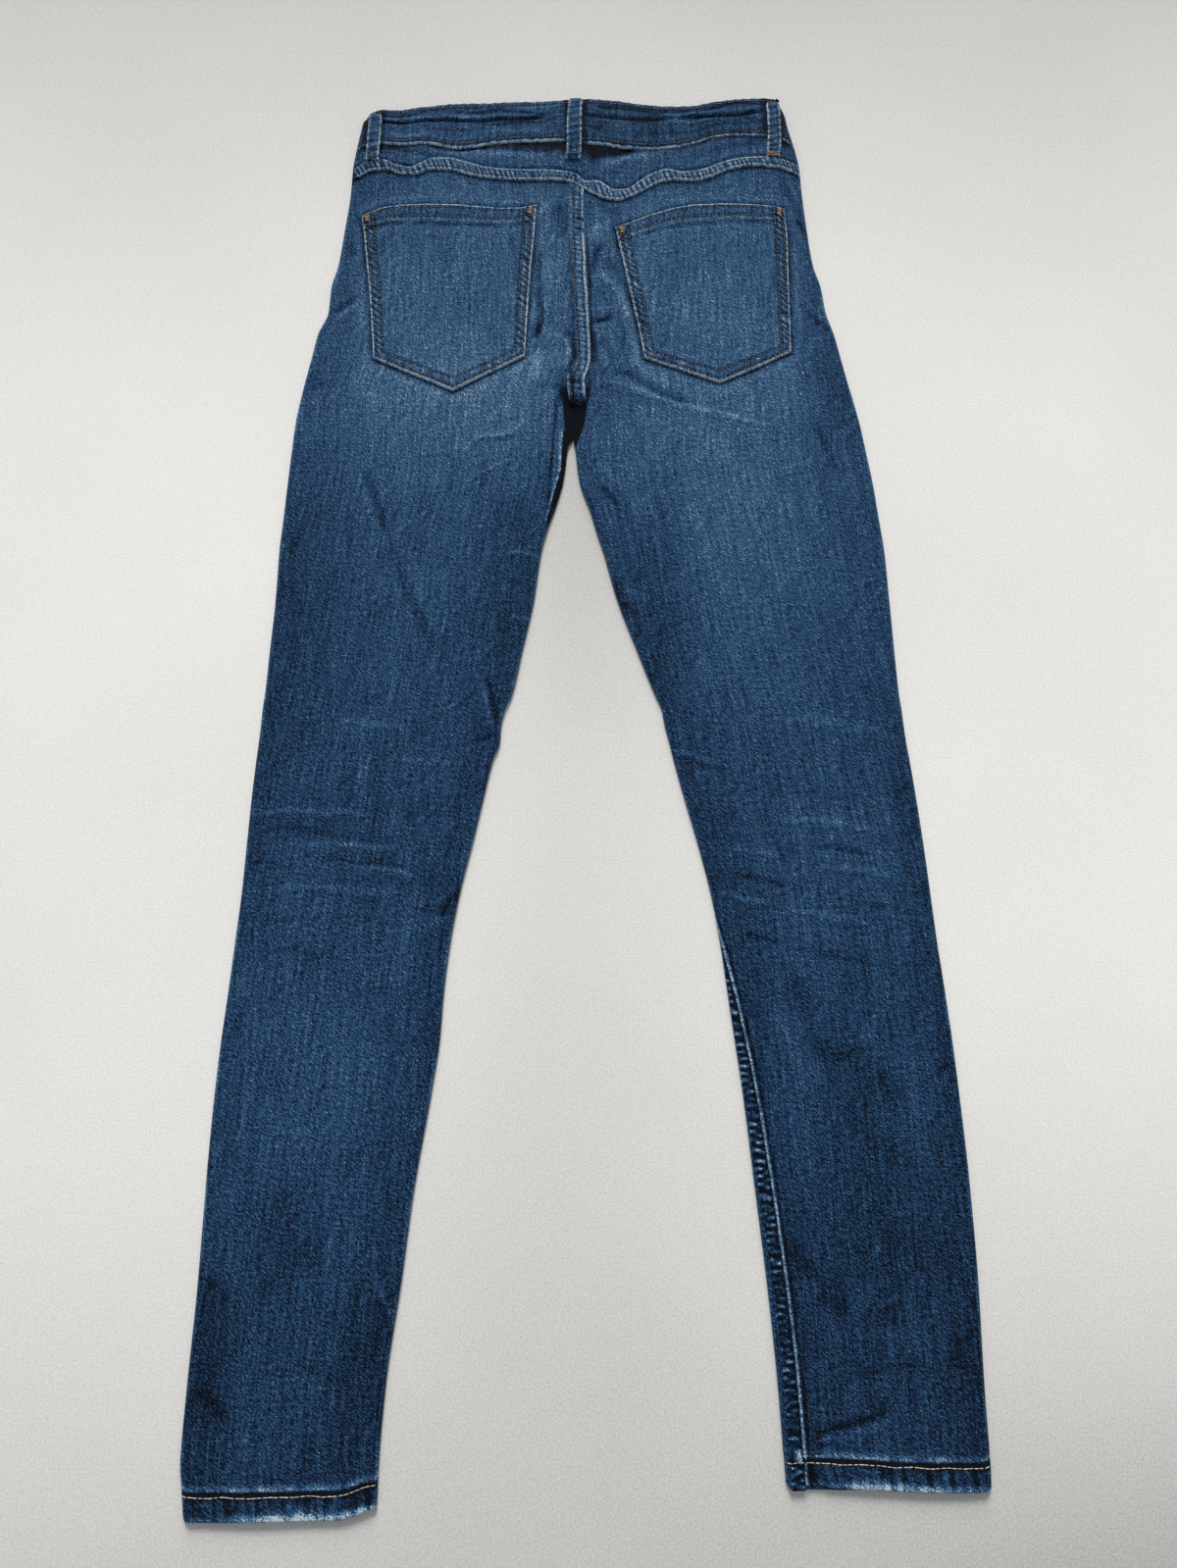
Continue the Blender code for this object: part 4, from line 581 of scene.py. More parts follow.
def fields(x, y):
    """What the listed creases and the cloth's own unevenness add: height in metres, and tone."""
    shape = np.broadcast(x, y).shape
    x = np.broadcast_to(x, shape).ravel() * 1e3
    y = np.broadcast_to(y, shape).ravel() * 1e3
    h, t = np.zeros(x.size), np.zeros(x.size)
    # the creases' and strokes' tone is painted shade in their hollows and painted highlight on their ridges
    for k, (_, x0, y0, x1, y1, bend, wide, rise, tone) in enumerate(CREASES_MM):
        reach = 3.2 * wide + abs(bend) + 3
        near = np.nonzero(
            (x > min(x0, x1) - reach) & (x < max(x0, x1) + reach) & (y > min(y0, y1) - reach) & (y < max(y0, y1) + reach)
        )[0]
        if not near.size:
            continue
        dx, dy = x1 - x0, y1 - y0
        long = math.hypot(dx, dy)
        px, py = x[near] - x0, y[near] - y0
        a = (px * dx + py * dy) / long**2
        b = np.clip(a, 0, 1)
        off = (py * dx - px * dy) / long - bend * 4 * b * (1 - b) - 0.45 * wide * noise(a * long / 14, 0 * a + k, 5)
        size = wide * (0.55 + 0.45 * np.sin(np.pi * b))
        skew = np.where(off > 0, 1.25, 0.85)
        ends = smooth(-0.08, 0.24, a) * smooth(1.08, 0.76, a)
        form = np.exp(-np.abs(off * skew / size) ** (1.4 if rise < 0 else 2.0))
        h[near] += 1.45 * rise * form * ends
        t[near] += 1.35 * tone * np.exp(-np.abs(off / (0.8 * size)) ** 1.5) * ends * (0.85 + 0.4 * noise(px / 5, py / 5, 9))
    for k, (_, points, left, right, rise, tone) in enumerate(STROKES_MM):
        reach = 3.0 * max(left, right) + 2
        xs, ys = [q[0] for q in points], [q[1] for q in points]
        near = np.nonzero((x > min(xs) - reach) & (x < max(xs) + reach) & (y > min(ys) - reach) & (y < max(ys) + reach))[0]
        if not near.size:
            continue
        d, run, total = stroke_distance(x[near], y[near], points)
        d = d + 0.22 * min(left, right) * noise(run / 6, 0 * run + k, 6)
        ends = smooth(-0.5, 0.22 * total, run) * smooth(total + 0.5, 0.78 * total, run)
        form = gauss(d / np.where(d > 0, left, right)) * ends
        h[near] += 1.25 * rise * form
        t[near] += 1.40 * tone * form * (0.9 + 0.3 * noise(x[near] / 4, y[near] / 4, 8))
    for _, bx, by, rx, ry, turn, tone in BLOBS_MM:
        c, s = math.cos(math.radians(turn)), math.sin(math.radians(turn))
        u, v = (x - bx) * c + (y - by) * s, -(x - bx) * s + (y - by) * c
        t += tone * np.exp(-((u / rx) ** 2) - (v / ry) ** 2)
    # the cloth never lies quite level, and small creases cross the back of the knees, the thighs and the ankles; their
    # tone follows their height, painted shade in the hollows and painted highlight on the crests
    h += 0.30 * noise(x / 62, y / 75, 11) + 0.20 * noise(x / 24, y / 31, 12) + 0.09 * noise(x / 9, y / 12, 13)
    knees = np.exp(-(((y + 115) / 70) ** 2))
    fine = noise(x / 36 + 0.3 * noise(y / 20, x / 40, 3), y / 6.5, 14)
    h += knees * 0.22 * fine
    t += knees * 0.035 * fine
    thigh = np.exp(-(((y - 240) / 60) ** 2))
    lines = noise((x + 0.8 * y) / 34, (y - 0.3 * x) / 8.0, 15)
    h += thigh * 0.14 * lines
    t += thigh * 0.02 * lines
    ankles = smooth(-300, -470, y)
    fine = noise(x / 22, y / 9, 16)
    h += ankles * 0.18 * fine
    t += ankles * 0.02 * fine
    t += 0.022 * noise(x / 2.6, y / 70, 17) + 0.022 * noise(x / 30, y / 38, 18) + 0.018 * noise(x / 8, y / 11, 19)
    return (h * MM).reshape(shape), t.reshape(shape)


def side_of(x):
    return np.where(x < -0.0065, 0, 1)


def base_top(side, x, y):
    hem = HEM_STEP * smooth(0.0025, 0.0, y - hem_line(side, x) - HEM_DEEP) * smooth(-0.45, -0.47, y)
    waist = WAIST_LIFT * smooth(0.446, 0.478, y) + BACK_LIFT * bump(x, y)
    return SECTION["top"](y) * crown(side, x, y) + 0.8 * fold_rise(x, y) + hem + waist


HEM_BLOCKS = {
    # dark blocks along the turned hems: where across, half-width, how deep
    "left": [(-246.0, 3.0, 0.7), (-224.7, 3.6, 0.8), (-204.5, 3.2, 0.6), (-192.0, 4.2, 0.9), (-175.0, 3.6, 1.0), (-163.0, 3.2, 0.9), (-146.0, 6.0, 1.0), (-136.5, 3.4, 1.1)],
    "right": [(145.5, 3.6, 1.9), (170.0, 3.0, 0.6), (179.0, 2.6, 0.6), (194.5, 4.2, 1.0), (206.5, 3.6, 0.7), (221.5, 5.0, 1.1), (236.0, 3.4, 0.6), (250.0, 3.6, 0.7)],
}


def hem_pucker(side, x, y):
    """The rope-like twist of the turned hem: height and tone."""
    d = (y - hem_line(side, x)) * 1e3
    X = x * 1e3
    s = X + (0.10 if side == "left" else 0.22) * d
    inside = smooth(-1.0, 1.0, d) * smooth(14.6, 12.6, d)
    w = 0.55 * wave(s, 7.5, 31 if side == "left" else 41)
    for at, wide, deep in HEM_BLOCKS[side]:
        w = w - deep * gauss((s - at) / wide) * smooth(1.0, 4.0, d)
    groove = gauss((d - 14.9) / (1.35 + 0.45 * noise(X / 7, 0 * X, 43)))
    halo = smooth(15.2, 16.8, d) * smooth(21.5, 17.2, d) * (0.75 + 0.45 * noise(s / 5, d / 6, 46))
    height = inside * (0.40 * w + 0.15 * noise(s / 2.6, d / 3, 44)) - 0.75 * groove + 0.35 * gauss((d - 17.4) / 1.6)
    # the roped hem's tone follows its height, painted shade in the dips and painted highlight on the crests; the
    # groove above the stitch row and the thin line below it are darkened with painted shade
    tone = inside * (0.23 * w + 0.03 + 0.08 * noise(s / 2.4, d / 2.6, 45)) + 0.38 * halo - 0.66 * groove
    tone += 0.16 * gauss((d - 0.8) / 2.6) * (0.6 + 0.8 * noise(s / 9, 1 + 0 * s, 47)) - 0.10 * gauss((d - 12.0) / 0.9)
    near = smooth(-0.45, -0.47, y)
    return height * MM * near, tone * near


def top(side, x, y):
    """Height of the back panel's outer surface, with every crease: height and tone."""
    h, t = fields(x, y)
    ph, pt = hem_pucker(side, x, y)
    out, inn = SECTION[side + "_out"](y), SECTION[side + "_in"](y)
    edge = np.minimum(np.abs(x - out), np.where(y < 0.285, np.abs(x - inn), 1.0))
    calm = 0.35 + 0.65 * smooth(0.001, 0.010, edge)
    fade = FADE[side](y) - 0.06 - 0.085 * (1 - smooth(0.0, 0.040, edge)) + 0.02 * smooth(0.02, 0.08, edge)
    return base_top(side, x, y) + h * calm + ph, fade + t + pt


def band_height(side, x):
    return BAND_TOP * lerp(1.0, crown(side, x, 0.505 + 0 * x), 0.7) + BACK_LIFT * bump(x, BUTTON_Y)


def front_rise(x, y):
    loops = np.maximum(*[smooth(0.020, 0.0085, np.abs(x - row[1] * MM)) for row in FRONT_LOOPS_MM])
    return BUTTON_LIFT * bump(x, y) + LOOP_LIFT * loops * smooth(0.430, 0.446, y)


def fold_low(y):
    return FOLD_SHARE * EDGE_SHARE * SECTION["top"](y)


def roll(s, low, under=UNDER_ROLL):
    """How far in from the fold a station lies, and how far it has turned: 0..1 up on top, 0..-1 below."""
    over = np.clip(s / OVER, 0, 1)
    below = quarter(under, low)
    down = np.clip(-s / below, 0, 1)
    d_top = TOP_ROLL * (1 - np.cos(over * np.pi / 2)) + np.maximum(0.0, s - OVER)
    d_low = under * (1 - np.cos(down * np.pi / 2)) + np.maximum(0.0, -s - below)
    return np.where(s >= 0, d_top, d_low), np.where(s >= 0, np.sin(over * np.pi / 2), -np.sin(down * np.pi / 2))


def inward(side, edge):
    return 1.0 if (side == "left") == (edge == "out") else -1.0


def raise_to(low, full, turn):
    return np.where(turn >= 0, low + (full - low) * turn, low * (1 + turn))


def underside(s):
    return smooth(0.010, -0.007, s)


def front_band_edges(x):
    dip = gauss((x + 0.006) / 0.11)
    return 0.5165 - 0.0125 * dip, 0.4815 - 0.0130 * dip


def band_edges(x, u):
    upper, lower = front_band_edges(x)
    return lerp(SEAM["band_top"](x), upper, u), lerp(SEAM["band_bottom"](x), lower, u)


def seam_room(s):
    return SEAM_GAP / 2 + 0.3 * MM * gauss(s / (4 * MM))


def split_end(side, y):
    gap = np.abs(SECTION["right_in"](y) - SECTION["left_in"](y)) / 2
    parted = smooth(SPLIT_Y + 0.005, SPLIT_Y - 0.004, y)
    turned = smooth(SPLIT_Y - 0.006, SPLIT_Y - 0.036, y)
    inseam = INSEAM[side](y)
    room = np.where(turned > 0.99, seam_room(inseam), SEAM_GAP / 2)
    return lerp(lerp(-gap, -0.8 * MM, parted), inseam, turned) + room


# ---------------------------------------------------------------- grids over the form
def spread_rows(a, b, c, side, top_line):
    """Row heights: a share of the top line, a share of the hem line, and a plain height."""

    def y_of(x):
        return a[:, None] * top_line(x) + b[:, None] * hem_line(side, x) + c[:, None]

    return y_of


def back_grid(side, y_of, guess, n_out, n_mid, n_in, height, seat_in=True):
    """Points of a back piece from its side seam, over the top, to its inner edge. Returns points, cloth coordinates, fold distance."""
    out, inn = SECTION[side + "_out"], SECTION[side + "_in"]
    sign = 1.0 if side == "left" else -1.0
    # round the side fold
    s = np.concatenate([np.linspace(-SEAM_IN, -3 * MM, 5), np.linspace(-2.2 * MM, 9 * MM, n_out - 5)])
    y = guess[:, None] + 0 * s
    for _ in range(3):
        low = fold_low(y)
        d, turn = roll(s[None, :], low)
        x = out(y) + sign * d
        y = y_of(x) if y_of.__code__.co_argcount == 1 else y_of(x, underside(s)[None, :])
    z, tone = height(side, x, y)
    z = raise_to(fold_low(y), z, turn)
    outer = np.stack([x, y, z], -1)
    outer_u = out(y) + sign * s[None, :]
    outer_tone = tone
    # the inner edge
    y = guess.copy()[:, None]
    for _ in range(3):
        x = inn(y)
        y = y_of(x) if y_of.__code__.co_argcount == 1 else y_of(x, 0 * x)
    y = y[:, 0]
    end = split_end(side, y)
    q = np.linspace(0, 6, n_in)
    level = 1.05 * OVER
    start = max(level, 14 * MM) if side == "left" else level
    knots = np.stack([0 * end + start, 0 * end + 0.72 * start, 0 * end + 0.43 * start, 0 * end + 0.17 * level, 0.02 * end, 0.5 * end, end], -1)
    hollow = np.stack([np.interp(q, np.arange(7), row) for row in knots])
    leg_from = np.maximum(level, end + 12 * MM)
    if side == "left":
        leg_from = np.maximum(leg_from, 14 * MM * smooth(0.14, 0.155, y))
    leg = lerp(leg_from[:, None], end[:, None], q[None, :] / 6)
    turned = smooth(SPLIT_Y + 0.005, SPLIT_Y - 0.004, y)[:, None]
    wrapped = smooth(SPLIT_Y - 0.004, SPLIT_Y - 0.010, y)[:, None]
    seat = smooth(0.262, 0.292, y)[:, None]
    yy = y[:, None] + 0 * q[None, :]
    low = lerp(FLOOR_Z, fold_low(yy), wrapped)
    s_in = lerp(hollow, leg, turned)
    d, turn = roll(s_in, low)
    x = inn(yy) - sign * d
    full, tone_a = height(side, x, yy)
    z = raise_to(low, full, turn)
    below = s_in < 0
    x = np.where(below, lerp(inn(yy) - sign * s_in, x, wrapped), x)
    z = np.where(below, lerp(low, z, wrapped), z)
    away = (6 - q)[None, :] * 6 * MM + SEAM_GAP / 2
    x_seat = inn(np.maximum(yy, 0.285)) - sign * away
    y_seat = y_of(x_seat) if y_of.__code__.co_argcount == 1 else y_of(x_seat, 0 * x_seat)
    z_seat, tone_b = height(side, x_seat, y_seat)
    inner_u = lerp(inn(yy) - sign * s_in, x_seat, seat)
    x, z = lerp(x, x_seat, seat), lerp(z, z_seat, seat)
    yy = lerp(yy, y_seat, seat)
    inner_tone = lerp(tone_a, tone_b, seat)
    inner = np.stack([x, yy, z], -1)
    # level between them
    k = (np.arange(n_mid) + 1) / (n_mid + 1)
    x = lerp(outer[:, -1:, 0], inner[:, :1, 0], k[None, :])
    y = y_of(x) if y_of.__code__.co_argcount == 1 else y_of(x, 0 * x)
    z, tone = height(side, x, y)
    mid_u = lerp(outer_u[:, -1:], inner_u[:, :1], k[None, :])
    points = np.concatenate([outer, np.stack([x, y, z], -1), inner], 1)
    tones = np.concatenate([outer_tone, tone, inner_tone], 1)
    across = np.concatenate([outer_u, mid_u, inner_u], 1)
    station_out = np.concatenate([s[None, :] + 0 * outer_u, 1.0 + 0 * mid_u, 1.0 + 0 * inner_u], 1)
    station_in = np.concatenate([1.0 + 0 * outer_u, 1.0 + 0 * mid_u, np.where(seat > 0.5, 1.0, s_in)], 1)
    return points, tones, across, station_out, station_in


def leg_middle(side, y):
    """Middle of a leg, which the grain of the cloth follows."""
    low = 0.5 * (SECTION[side + "_out"](y) + SECTION[side + "_in"](y))
    return low - 0.5 * (SECTION[side + "_out"](0.285) + SECTION[side + "_in"](0.285))


def normals(points):
    """Unit normals of a grid, pointing to the same side all over."""
    a = np.gradient(points, axis=0)
    b = np.gradient(points, axis=1)
    n = np.cross(a, b)
    n /= np.maximum(np.linalg.norm(n, axis=-1, keepdims=True), 1e-12)
    return n


# ---------------------------------------------------------------- meshes
PIECES = {}


def mesh_object(name, verts, faces, tone, wear, cloth, material, smooth_shade=True):
    mesh = bpy.data.meshes.new(name)
    verts, faces = np.asarray(verts, np.float32), np.asarray(faces, np.int32)
    sides = faces.shape[1]
    mesh.vertices.add(len(verts))
    mesh.vertices.foreach_set("co", verts.ravel())
    mesh.loops.add(faces.size)
    mesh.loops.foreach_set("vertex_index", faces.ravel())
    mesh.polygons.add(len(faces))
    mesh.polygons.foreach_set("loop_start", np.arange(len(faces), dtype=np.int32) * sides)
    mesh.polygons.foreach_set("use_smooth", np.full(len(faces), smooth_shade))
    mesh.update(calc_edges=True)
    mesh.validate()
    for attr, data in (("tone", tone), ("wear", wear)):
        a = mesh.attributes.new(attr, "FLOAT", "POINT")
        a.data.foreach_set("value", np.asarray(data, np.float32).ravel())
    a = mesh.attributes.new("cloth", "FLOAT_VECTOR", "POINT")
    a.data.foreach_set("vector", np.asarray(cloth, np.float32).ravel())
    mesh.materials.append(material)
    obj = bpy.data.objects.new(name, mesh)
    bpy.context.scene.collection.objects.link(obj)
    PIECES[name] = obj
    return obj


def grid_faces(rows, cols, keep=None, offset=0):
    idx = np.arange(rows * cols).reshape(rows, cols) + offset
    quads = np.stack([idx[:-1, :-1], idx[:-1, 1:], idx[1:, 1:], idx[1:, :-1]], -1)
    if keep is not None:
        return quads[keep]
    return quads.reshape(-1, 4)


def grid_object(name, points, tone, wear, across, along, material, up=True, keep=None):
    rows, cols = points.shape[:2]
    n = normals(points)
    faces = grid_faces(rows, cols, keep)
    upward = n[rows // 2, cols // 2, 2] > 0
    if upward == up:
        faces = faces[:, ::-1]
    cloth = np.stack([across, along, 0 * across], -1).reshape(-1, 3)
    return mesh_object(name, points.reshape(-1, 3), faces, tone, wear, cloth, material)


# ---------------------------------------------------------------- stitches
THREADS = []


def thread_row(group, path, length=2.7, gap=0.6, radius=0.30, lift=0.10, jitter=0.10, seed=0):
    """A row of stitches along a path of surface points, in metres."""
    path = np.asarray(path, float)
    seg = np.linalg.norm(np.diff(path, axis=0), axis=1)
    at = np.concatenate([[0], np.cumsum(seg)])
    pitch = (length + gap) * MM
    count = int(at[-1] / pitch)
    if count < 1:
        return
    r = np.random.default_rng(1000 + seed)
    mids = (np.arange(count) + 0.5) * at[-1] / count + r.uniform(-0.12, 0.12, count) * pitch
    half = 0.5 * length * MM * r.uniform(0.88, 1.08, count)
    get = lambda t: np.stack([np.interp(t, at, path[:, k]) for k in range(3)], -1)
    a, b = get(mids - half), get(mids + half)
    centre = get(mids)
    centre[:, 2] += lift * MM
    centre[:, :2] += r.uniform(-jitter, jitter, (count, 2)) * MM
    THREADS.append((group, centre, (b - a) / np.maximum(np.linalg.norm(b - a, axis=1, keepdims=True), 1e-9), half, np.full(count, radius * MM)))


def thread_objects(materials):
    made = {}
    around = np.arange(6) * np.pi / 3
    rings = [(-0.72, 0.78), (0.0, 1.0), (0.72, 0.78)]
    for group in sorted(set(row[0] for row in THREADS)):
        rows = [row[1:] for row in THREADS if row[0] == group]
        centre, tangent, half, radius = (np.concatenate([row[k] for row in rows]) for k in range(4))
        up = np.zeros_like(tangent)
        up[:, 2] = 1
        side = np.cross(tangent, up)
        side /= np.maximum(np.linalg.norm(side, axis=1, keepdims=True), 1e-9)
        up = np.cross(side, tangent)
        verts = [centre - tangent * half[:, None]]
        for t, w in rings:
            for a in around:
                verts.append(
                    centre + tangent * (half * t)[:, None] + (side * math.cos(a) + 0.8 * up * math.sin(a)) * (radius * w)[:, None]
                )
        verts.append(centre + tangent * half[:, None])
        verts = np.stack(verts, 1)
        n = verts.shape[1]
        tris = []
        for j in range(6):
            k = (j + 1) % 6
            tris.append((0, 1 + k, 1 + j))
            for q in range(2):
                a, b, c, d = 1 + 6 * q + j, 1 + 6 * q + k, 7 + 6 * q + k, 7 + 6 * q + j
                tris += [(a, b, c), (a, c, d)]
            tris.append((n - 1, 13 + j, 13 + k))
        tris = np.array(tris)[None] + (np.arange(len(centre)) * n)[:, None, None]
        count = len(centre) * n
        verts = verts.reshape(-1, 3)
        shade = np.repeat(np.random.default_rng(7).uniform(0, 1, len(centre)), n)
        made[group] = mesh_object(
            "stitches_" + group, verts, tris.reshape(-1, 3), shade, np.zeros(count), verts * 1.0, materials[group.split("_")[0]]
        )
    return made


def dense(points, step=1.0):
    """Points in millimetres along a polyline, close together, in metres."""
    p = np.asarray(points, float)
    at = np.concatenate([[0], np.cumsum(np.linalg.norm(np.diff(p, axis=0), axis=1))])
    t = np.linspace(0, at[-1], max(2, int(at[-1] / step)))
    return np.stack([np.interp(t, at, p[:, k]) for k in range(p.shape[1])], -1) * MM


# ---------------------------------------------------------------- materials
def new_material(name):
    m = bpy.data.materials.new(name)
    m.use_nodes = True
    nodes, links = m.node_tree.nodes, m.node_tree.links
    return m, nodes, links, nodes["Principled BSDF"]


class Graph:
    """Short names for building node graphs."""

    def __init__(self, nodes, links):
        self.nodes, self.links = nodes, links

    def put(self, socket, value):
        if hasattr(value, "is_output"):
            self.links.new(value, socket)
        else:
            socket.default_value = value

    def math(self, op, a, b=0.0, clamp=False):
        n = self.nodes.new("ShaderNodeMath")
        n.operation, n.use_clamp = op, clamp
        self.put(n.inputs[0], a)
        self.put(n.inputs[1], b)
        return n.outputs[0]

    def attr(self, name):
        n = self.nodes.new("ShaderNodeAttribute")
        n.attribute_name = name
        return n

    def scaled(self, vector, scale, turn=0.0):
        if turn:
            r = self.nodes.new("ShaderNodeVectorRotate")
            r.rotation_type = "Z_AXIS"
            self.put(r.inputs["Vector"], vector)
            r.inputs["Angle"].default_value = turn
            vector = r.outputs[0]
        n = self.nodes.new("ShaderNodeVectorMath")
        n.operation = "MULTIPLY"
        self.put(n.inputs[0], vector)
        n.inputs[1].default_value = scale
        return n.outputs[0]

    def noise(self, vector, scale=1.0, detail=2.0, rough=0.5, distort=0.0):
        n = self.nodes.new("ShaderNodeTexNoise")
        self.put(n.inputs["Vector"], vector)
        n.inputs["Scale"].default_value = scale
        n.inputs["Detail"].default_value = detail
        n.inputs["Roughness"].default_value = rough
        n.inputs["Distortion"].default_value = distort
        return n.outputs[0]

    def signed(self, value, share):
        """From noise round 0.5 to about -share..share."""
        return self.math("MULTIPLY", self.math("SUBTRACT", value, 0.5), share * 3.2)

    def add(self, *values):
        total = values[0]
        for v in values[1:]:
            total = self.math("ADD", total, v)
        return total

    def ramp(self, value, stops):
        n = self.nodes.new("ShaderNodeValToRGB")
        self.put(n.inputs[0], value)
        while len(n.color_ramp.elements) < len(stops):
            n.color_ramp.elements.new(0.5)
        for e, (at, colour) in zip(n.color_ramp.elements, stops):
            e.position = at
            e.color = (*colour, 1.0)
        return n.outputs[0]

    def bump(self, height, distance, strength=1.0):
        n = self.nodes.new("ShaderNodeBump")
        n.inputs["Strength"].default_value = strength
        n.inputs["Distance"].default_value = distance
        self.put(n.inputs["Height"], height)
        return n.outputs[0]


DENIM_STOPS = [
    # how faded, colour
    (0.00, (0.0012, 0.0026, 0.0062)),
    (0.15, (0.0056, 0.0188, 0.0500)),
    (0.30, (0.0112, 0.0390, 0.0975)),
    (0.45, (0.0225, 0.0715, 0.1550)),
    (0.60, (0.0455, 0.1120, 0.2120)),
    (0.75, (0.0860, 0.1730, 0.2880)),
    (0.88, (0.1900, 0.2950, 0.4050)),
    (1.00, (0.4200, 0.4900, 0.5400)),
]


def denim_material():
    m, nodes, links, shader = new_material("washed_denim")
    g = Graph(nodes, links)
    cloth = g.attr("cloth").outputs["Vector"]
    tone, wear = g.attr("tone").outputs["Fac"], g.attr("wear").outputs["Fac"]
    slub = g.noise(g.scaled(cloth, (820.0, 34.0, 1.0)), detail=2.0, rough=0.55)
    streak = g.noise(g.scaled(cloth, (330.0, 9.0, 1.0)), detail=2.0, rough=0.5)
    weft = g.noise(g.scaled(cloth, (70.0, 900.0, 1.0)), detail=1.0)
    twill = g.noise(g.scaled(cloth, (240.0, 980.0, 1.0), turn=math.radians(38)), detail=1.0, rough=0.5)
    speck = g.noise(g.scaled(cloth, (900.0, 900.0, 1.0)), detail=1.0, rough=0.5)
    cloud = g.noise(g.scaled(cloth, (95.0, 60.0, 1.0)), detail=3.0, rough=0.6)
    grain = g.add(g.signed(slub, 0.20), g.signed(streak, 0.08), g.signed(weft, 0.08), g.signed(twill, 0.34), g.signed(speck, 0.40))
    worn = g.math("MULTIPLY", wear, g.math("ADD", 0.24, g.math("MULTIPLY", speck, 0.40)))
    total = g.add(tone, grain, g.signed(cloud, 0.03), worn)
    colour = g.ramp(total, DENIM_STOPS)
    links.new(colour, shader.inputs["Base Color"])
    shader.inputs["Roughness"].default_value = 0.92
    shader.inputs["Specular IOR Level"].default_value = 0.10
    shader.inputs["Sheen Weight"].default_value = 0.03
    shader.inputs["Sheen Roughness"].default_value = 0.5
    shader.inputs["Sheen Tint"].default_value = (0.75, 0.85, 1.0, 1.0)
    height = g.add(g.math("MULTIPLY", twill, 0.6), g.math("MULTIPLY", speck, 0.6), g.math("MULTIPLY", slub, 0.5))
    links.new(g.bump(height, 0.0006), shader.inputs["Normal"])
    return m


def thread_material(name, dark, light):
    m, nodes, links, shader = new_material(name)
    g = Graph(nodes, links)
    shade = g.attr("tone").outputs["Fac"]
    fibre = g.noise(g.scaled(g.attr("cloth").outputs["Vector"], (1500.0, 1500.0, 1500.0)), detail=2.0)
    mix = g.add(g.math("MULTIPLY", shade, 0.7), g.math("MULTIPLY", fibre, 0.4))
    links.new(g.ramp(mix, [(0.1, dark), (0.9, light)]), shader.inputs["Base Color"])
    shader.inputs["Roughness"].default_value = 0.7
    return m


def plain_material(name, colour, rough, metal=0.0):
    m, nodes, links, shader = new_material(name)
    shader.inputs["Base Color"].default_value = (*colour, 1.0)
    shader.inputs["Roughness"].default_value = rough
    shader.inputs["Metallic"].default_value = metal
    return m


def floor_material():
    m, nodes, links, shader = new_material("pale_floor")
    g = Graph(nodes, links)
    place = nodes.new("ShaderNodeTexCoord").outputs["Object"]
    fine = g.noise(place, scale=700.0, detail=3.0, rough=0.7)
    broad = g.noise(place, scale=3.0, detail=3.0)
    split = nodes.new("ShaderNodeSeparateXYZ")
    links.new(place, split.inputs[0])
    px = g.math("MAXIMUM", g.math("MINIMUM", split.outputs[0], 0.46), -0.46)
    py = g.math("MAXIMUM", g.math("MINIMUM", split.outputs[1], 0.66), -0.58)
    # painted falloff of light: the floor's colour darkens towards its ends and its lower right corner, and painted
    # shade darkens it near the crotch and between the legs
    head = g.math("POWER", g.math("MULTIPLY", g.math("MAXIMUM", g.math("SUBTRACT", py, 0.10), 0.0), 2.0), 2.0)
    foot = g.math("POWER", g.math("MULTIPLY", g.math("MAXIMUM", g.math("SUBTRACT", -0.12, py), 0.0), 2.0), 2.0)
    corner = g.math("MULTIPLY", foot, g.math("MAXIMUM", px, 0.0))
    fall = g.add(g.math("MULTIPLY", head, 0.20), g.math("MULTIPLY", foot, 0.30), g.math("MULTIPLY", corner, 0.52))
    near = g.math("ADD", g.math("POWER", g.math("MULTIPLY", px, 16.0), 2.0), g.math("POWER", g.math("MULTIPLY", g.math("SUBTRACT", py, 0.22), 5.5), 2.0))
    apart = g.math("ADD", g.math("POWER", g.math("MULTIPLY", px, 8.0), 2.0), g.math("POWER", g.math("MULTIPLY", g.math("ADD", py, 0.20), 2.6), 2.0))
    fall = g.add(fall, g.math("MULTIPLY", g.math("EXPONENT", g.math("MULTIPLY", near, -1.0)), 0.22), g.math("MULTIPLY", g.math("EXPONENT", g.math("MULTIPLY", apart, -1.0)), 0.13))
    fall = g.math("MINIMUM", fall, 0.55)
    mix = g.add(0.85, g.signed(fine, 0.16), g.signed(broad, 0.05), g.math("MULTIPLY", fall, -1.0))
    links.new(g.ramp(mix, [(0.0, (0.0, 0.0, 0.0)), (1.0, (1.0, 0.977, 0.945))]), shader.inputs["Base Color"])
    shader.inputs["Roughness"].default_value = 0.75
    shader.inputs["Specular IOR Level"].default_value = 0.25
    return m


# ================================================================ build
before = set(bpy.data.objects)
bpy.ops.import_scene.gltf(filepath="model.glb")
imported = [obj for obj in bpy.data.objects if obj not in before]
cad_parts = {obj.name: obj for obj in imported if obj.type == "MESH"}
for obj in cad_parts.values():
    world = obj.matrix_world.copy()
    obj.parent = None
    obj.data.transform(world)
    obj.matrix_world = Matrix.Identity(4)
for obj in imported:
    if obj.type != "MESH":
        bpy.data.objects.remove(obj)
start_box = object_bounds()

DENIM = denim_material()
MATS = {
    "tan": thread_material("thread_tan", (0.040, 0.042, 0.048), (0.28, 0.245, 0.205)),
    "golden": thread_material("thread_golden", (0.40, 0.31, 0.235), (0.76, 0.62, 0.48)),
    "orange": thread_material("thread_orange", (0.36, 0.18, 0.07), (0.72, 0.44, 0.20)),
}
METAL = plain_material("aged_metal", (0.42, 0.36, 0.28), 0.35, 1.0)
TAPE = plain_material("zip_tape_cloth", (0.03, 0.05, 0.10), 0.8)


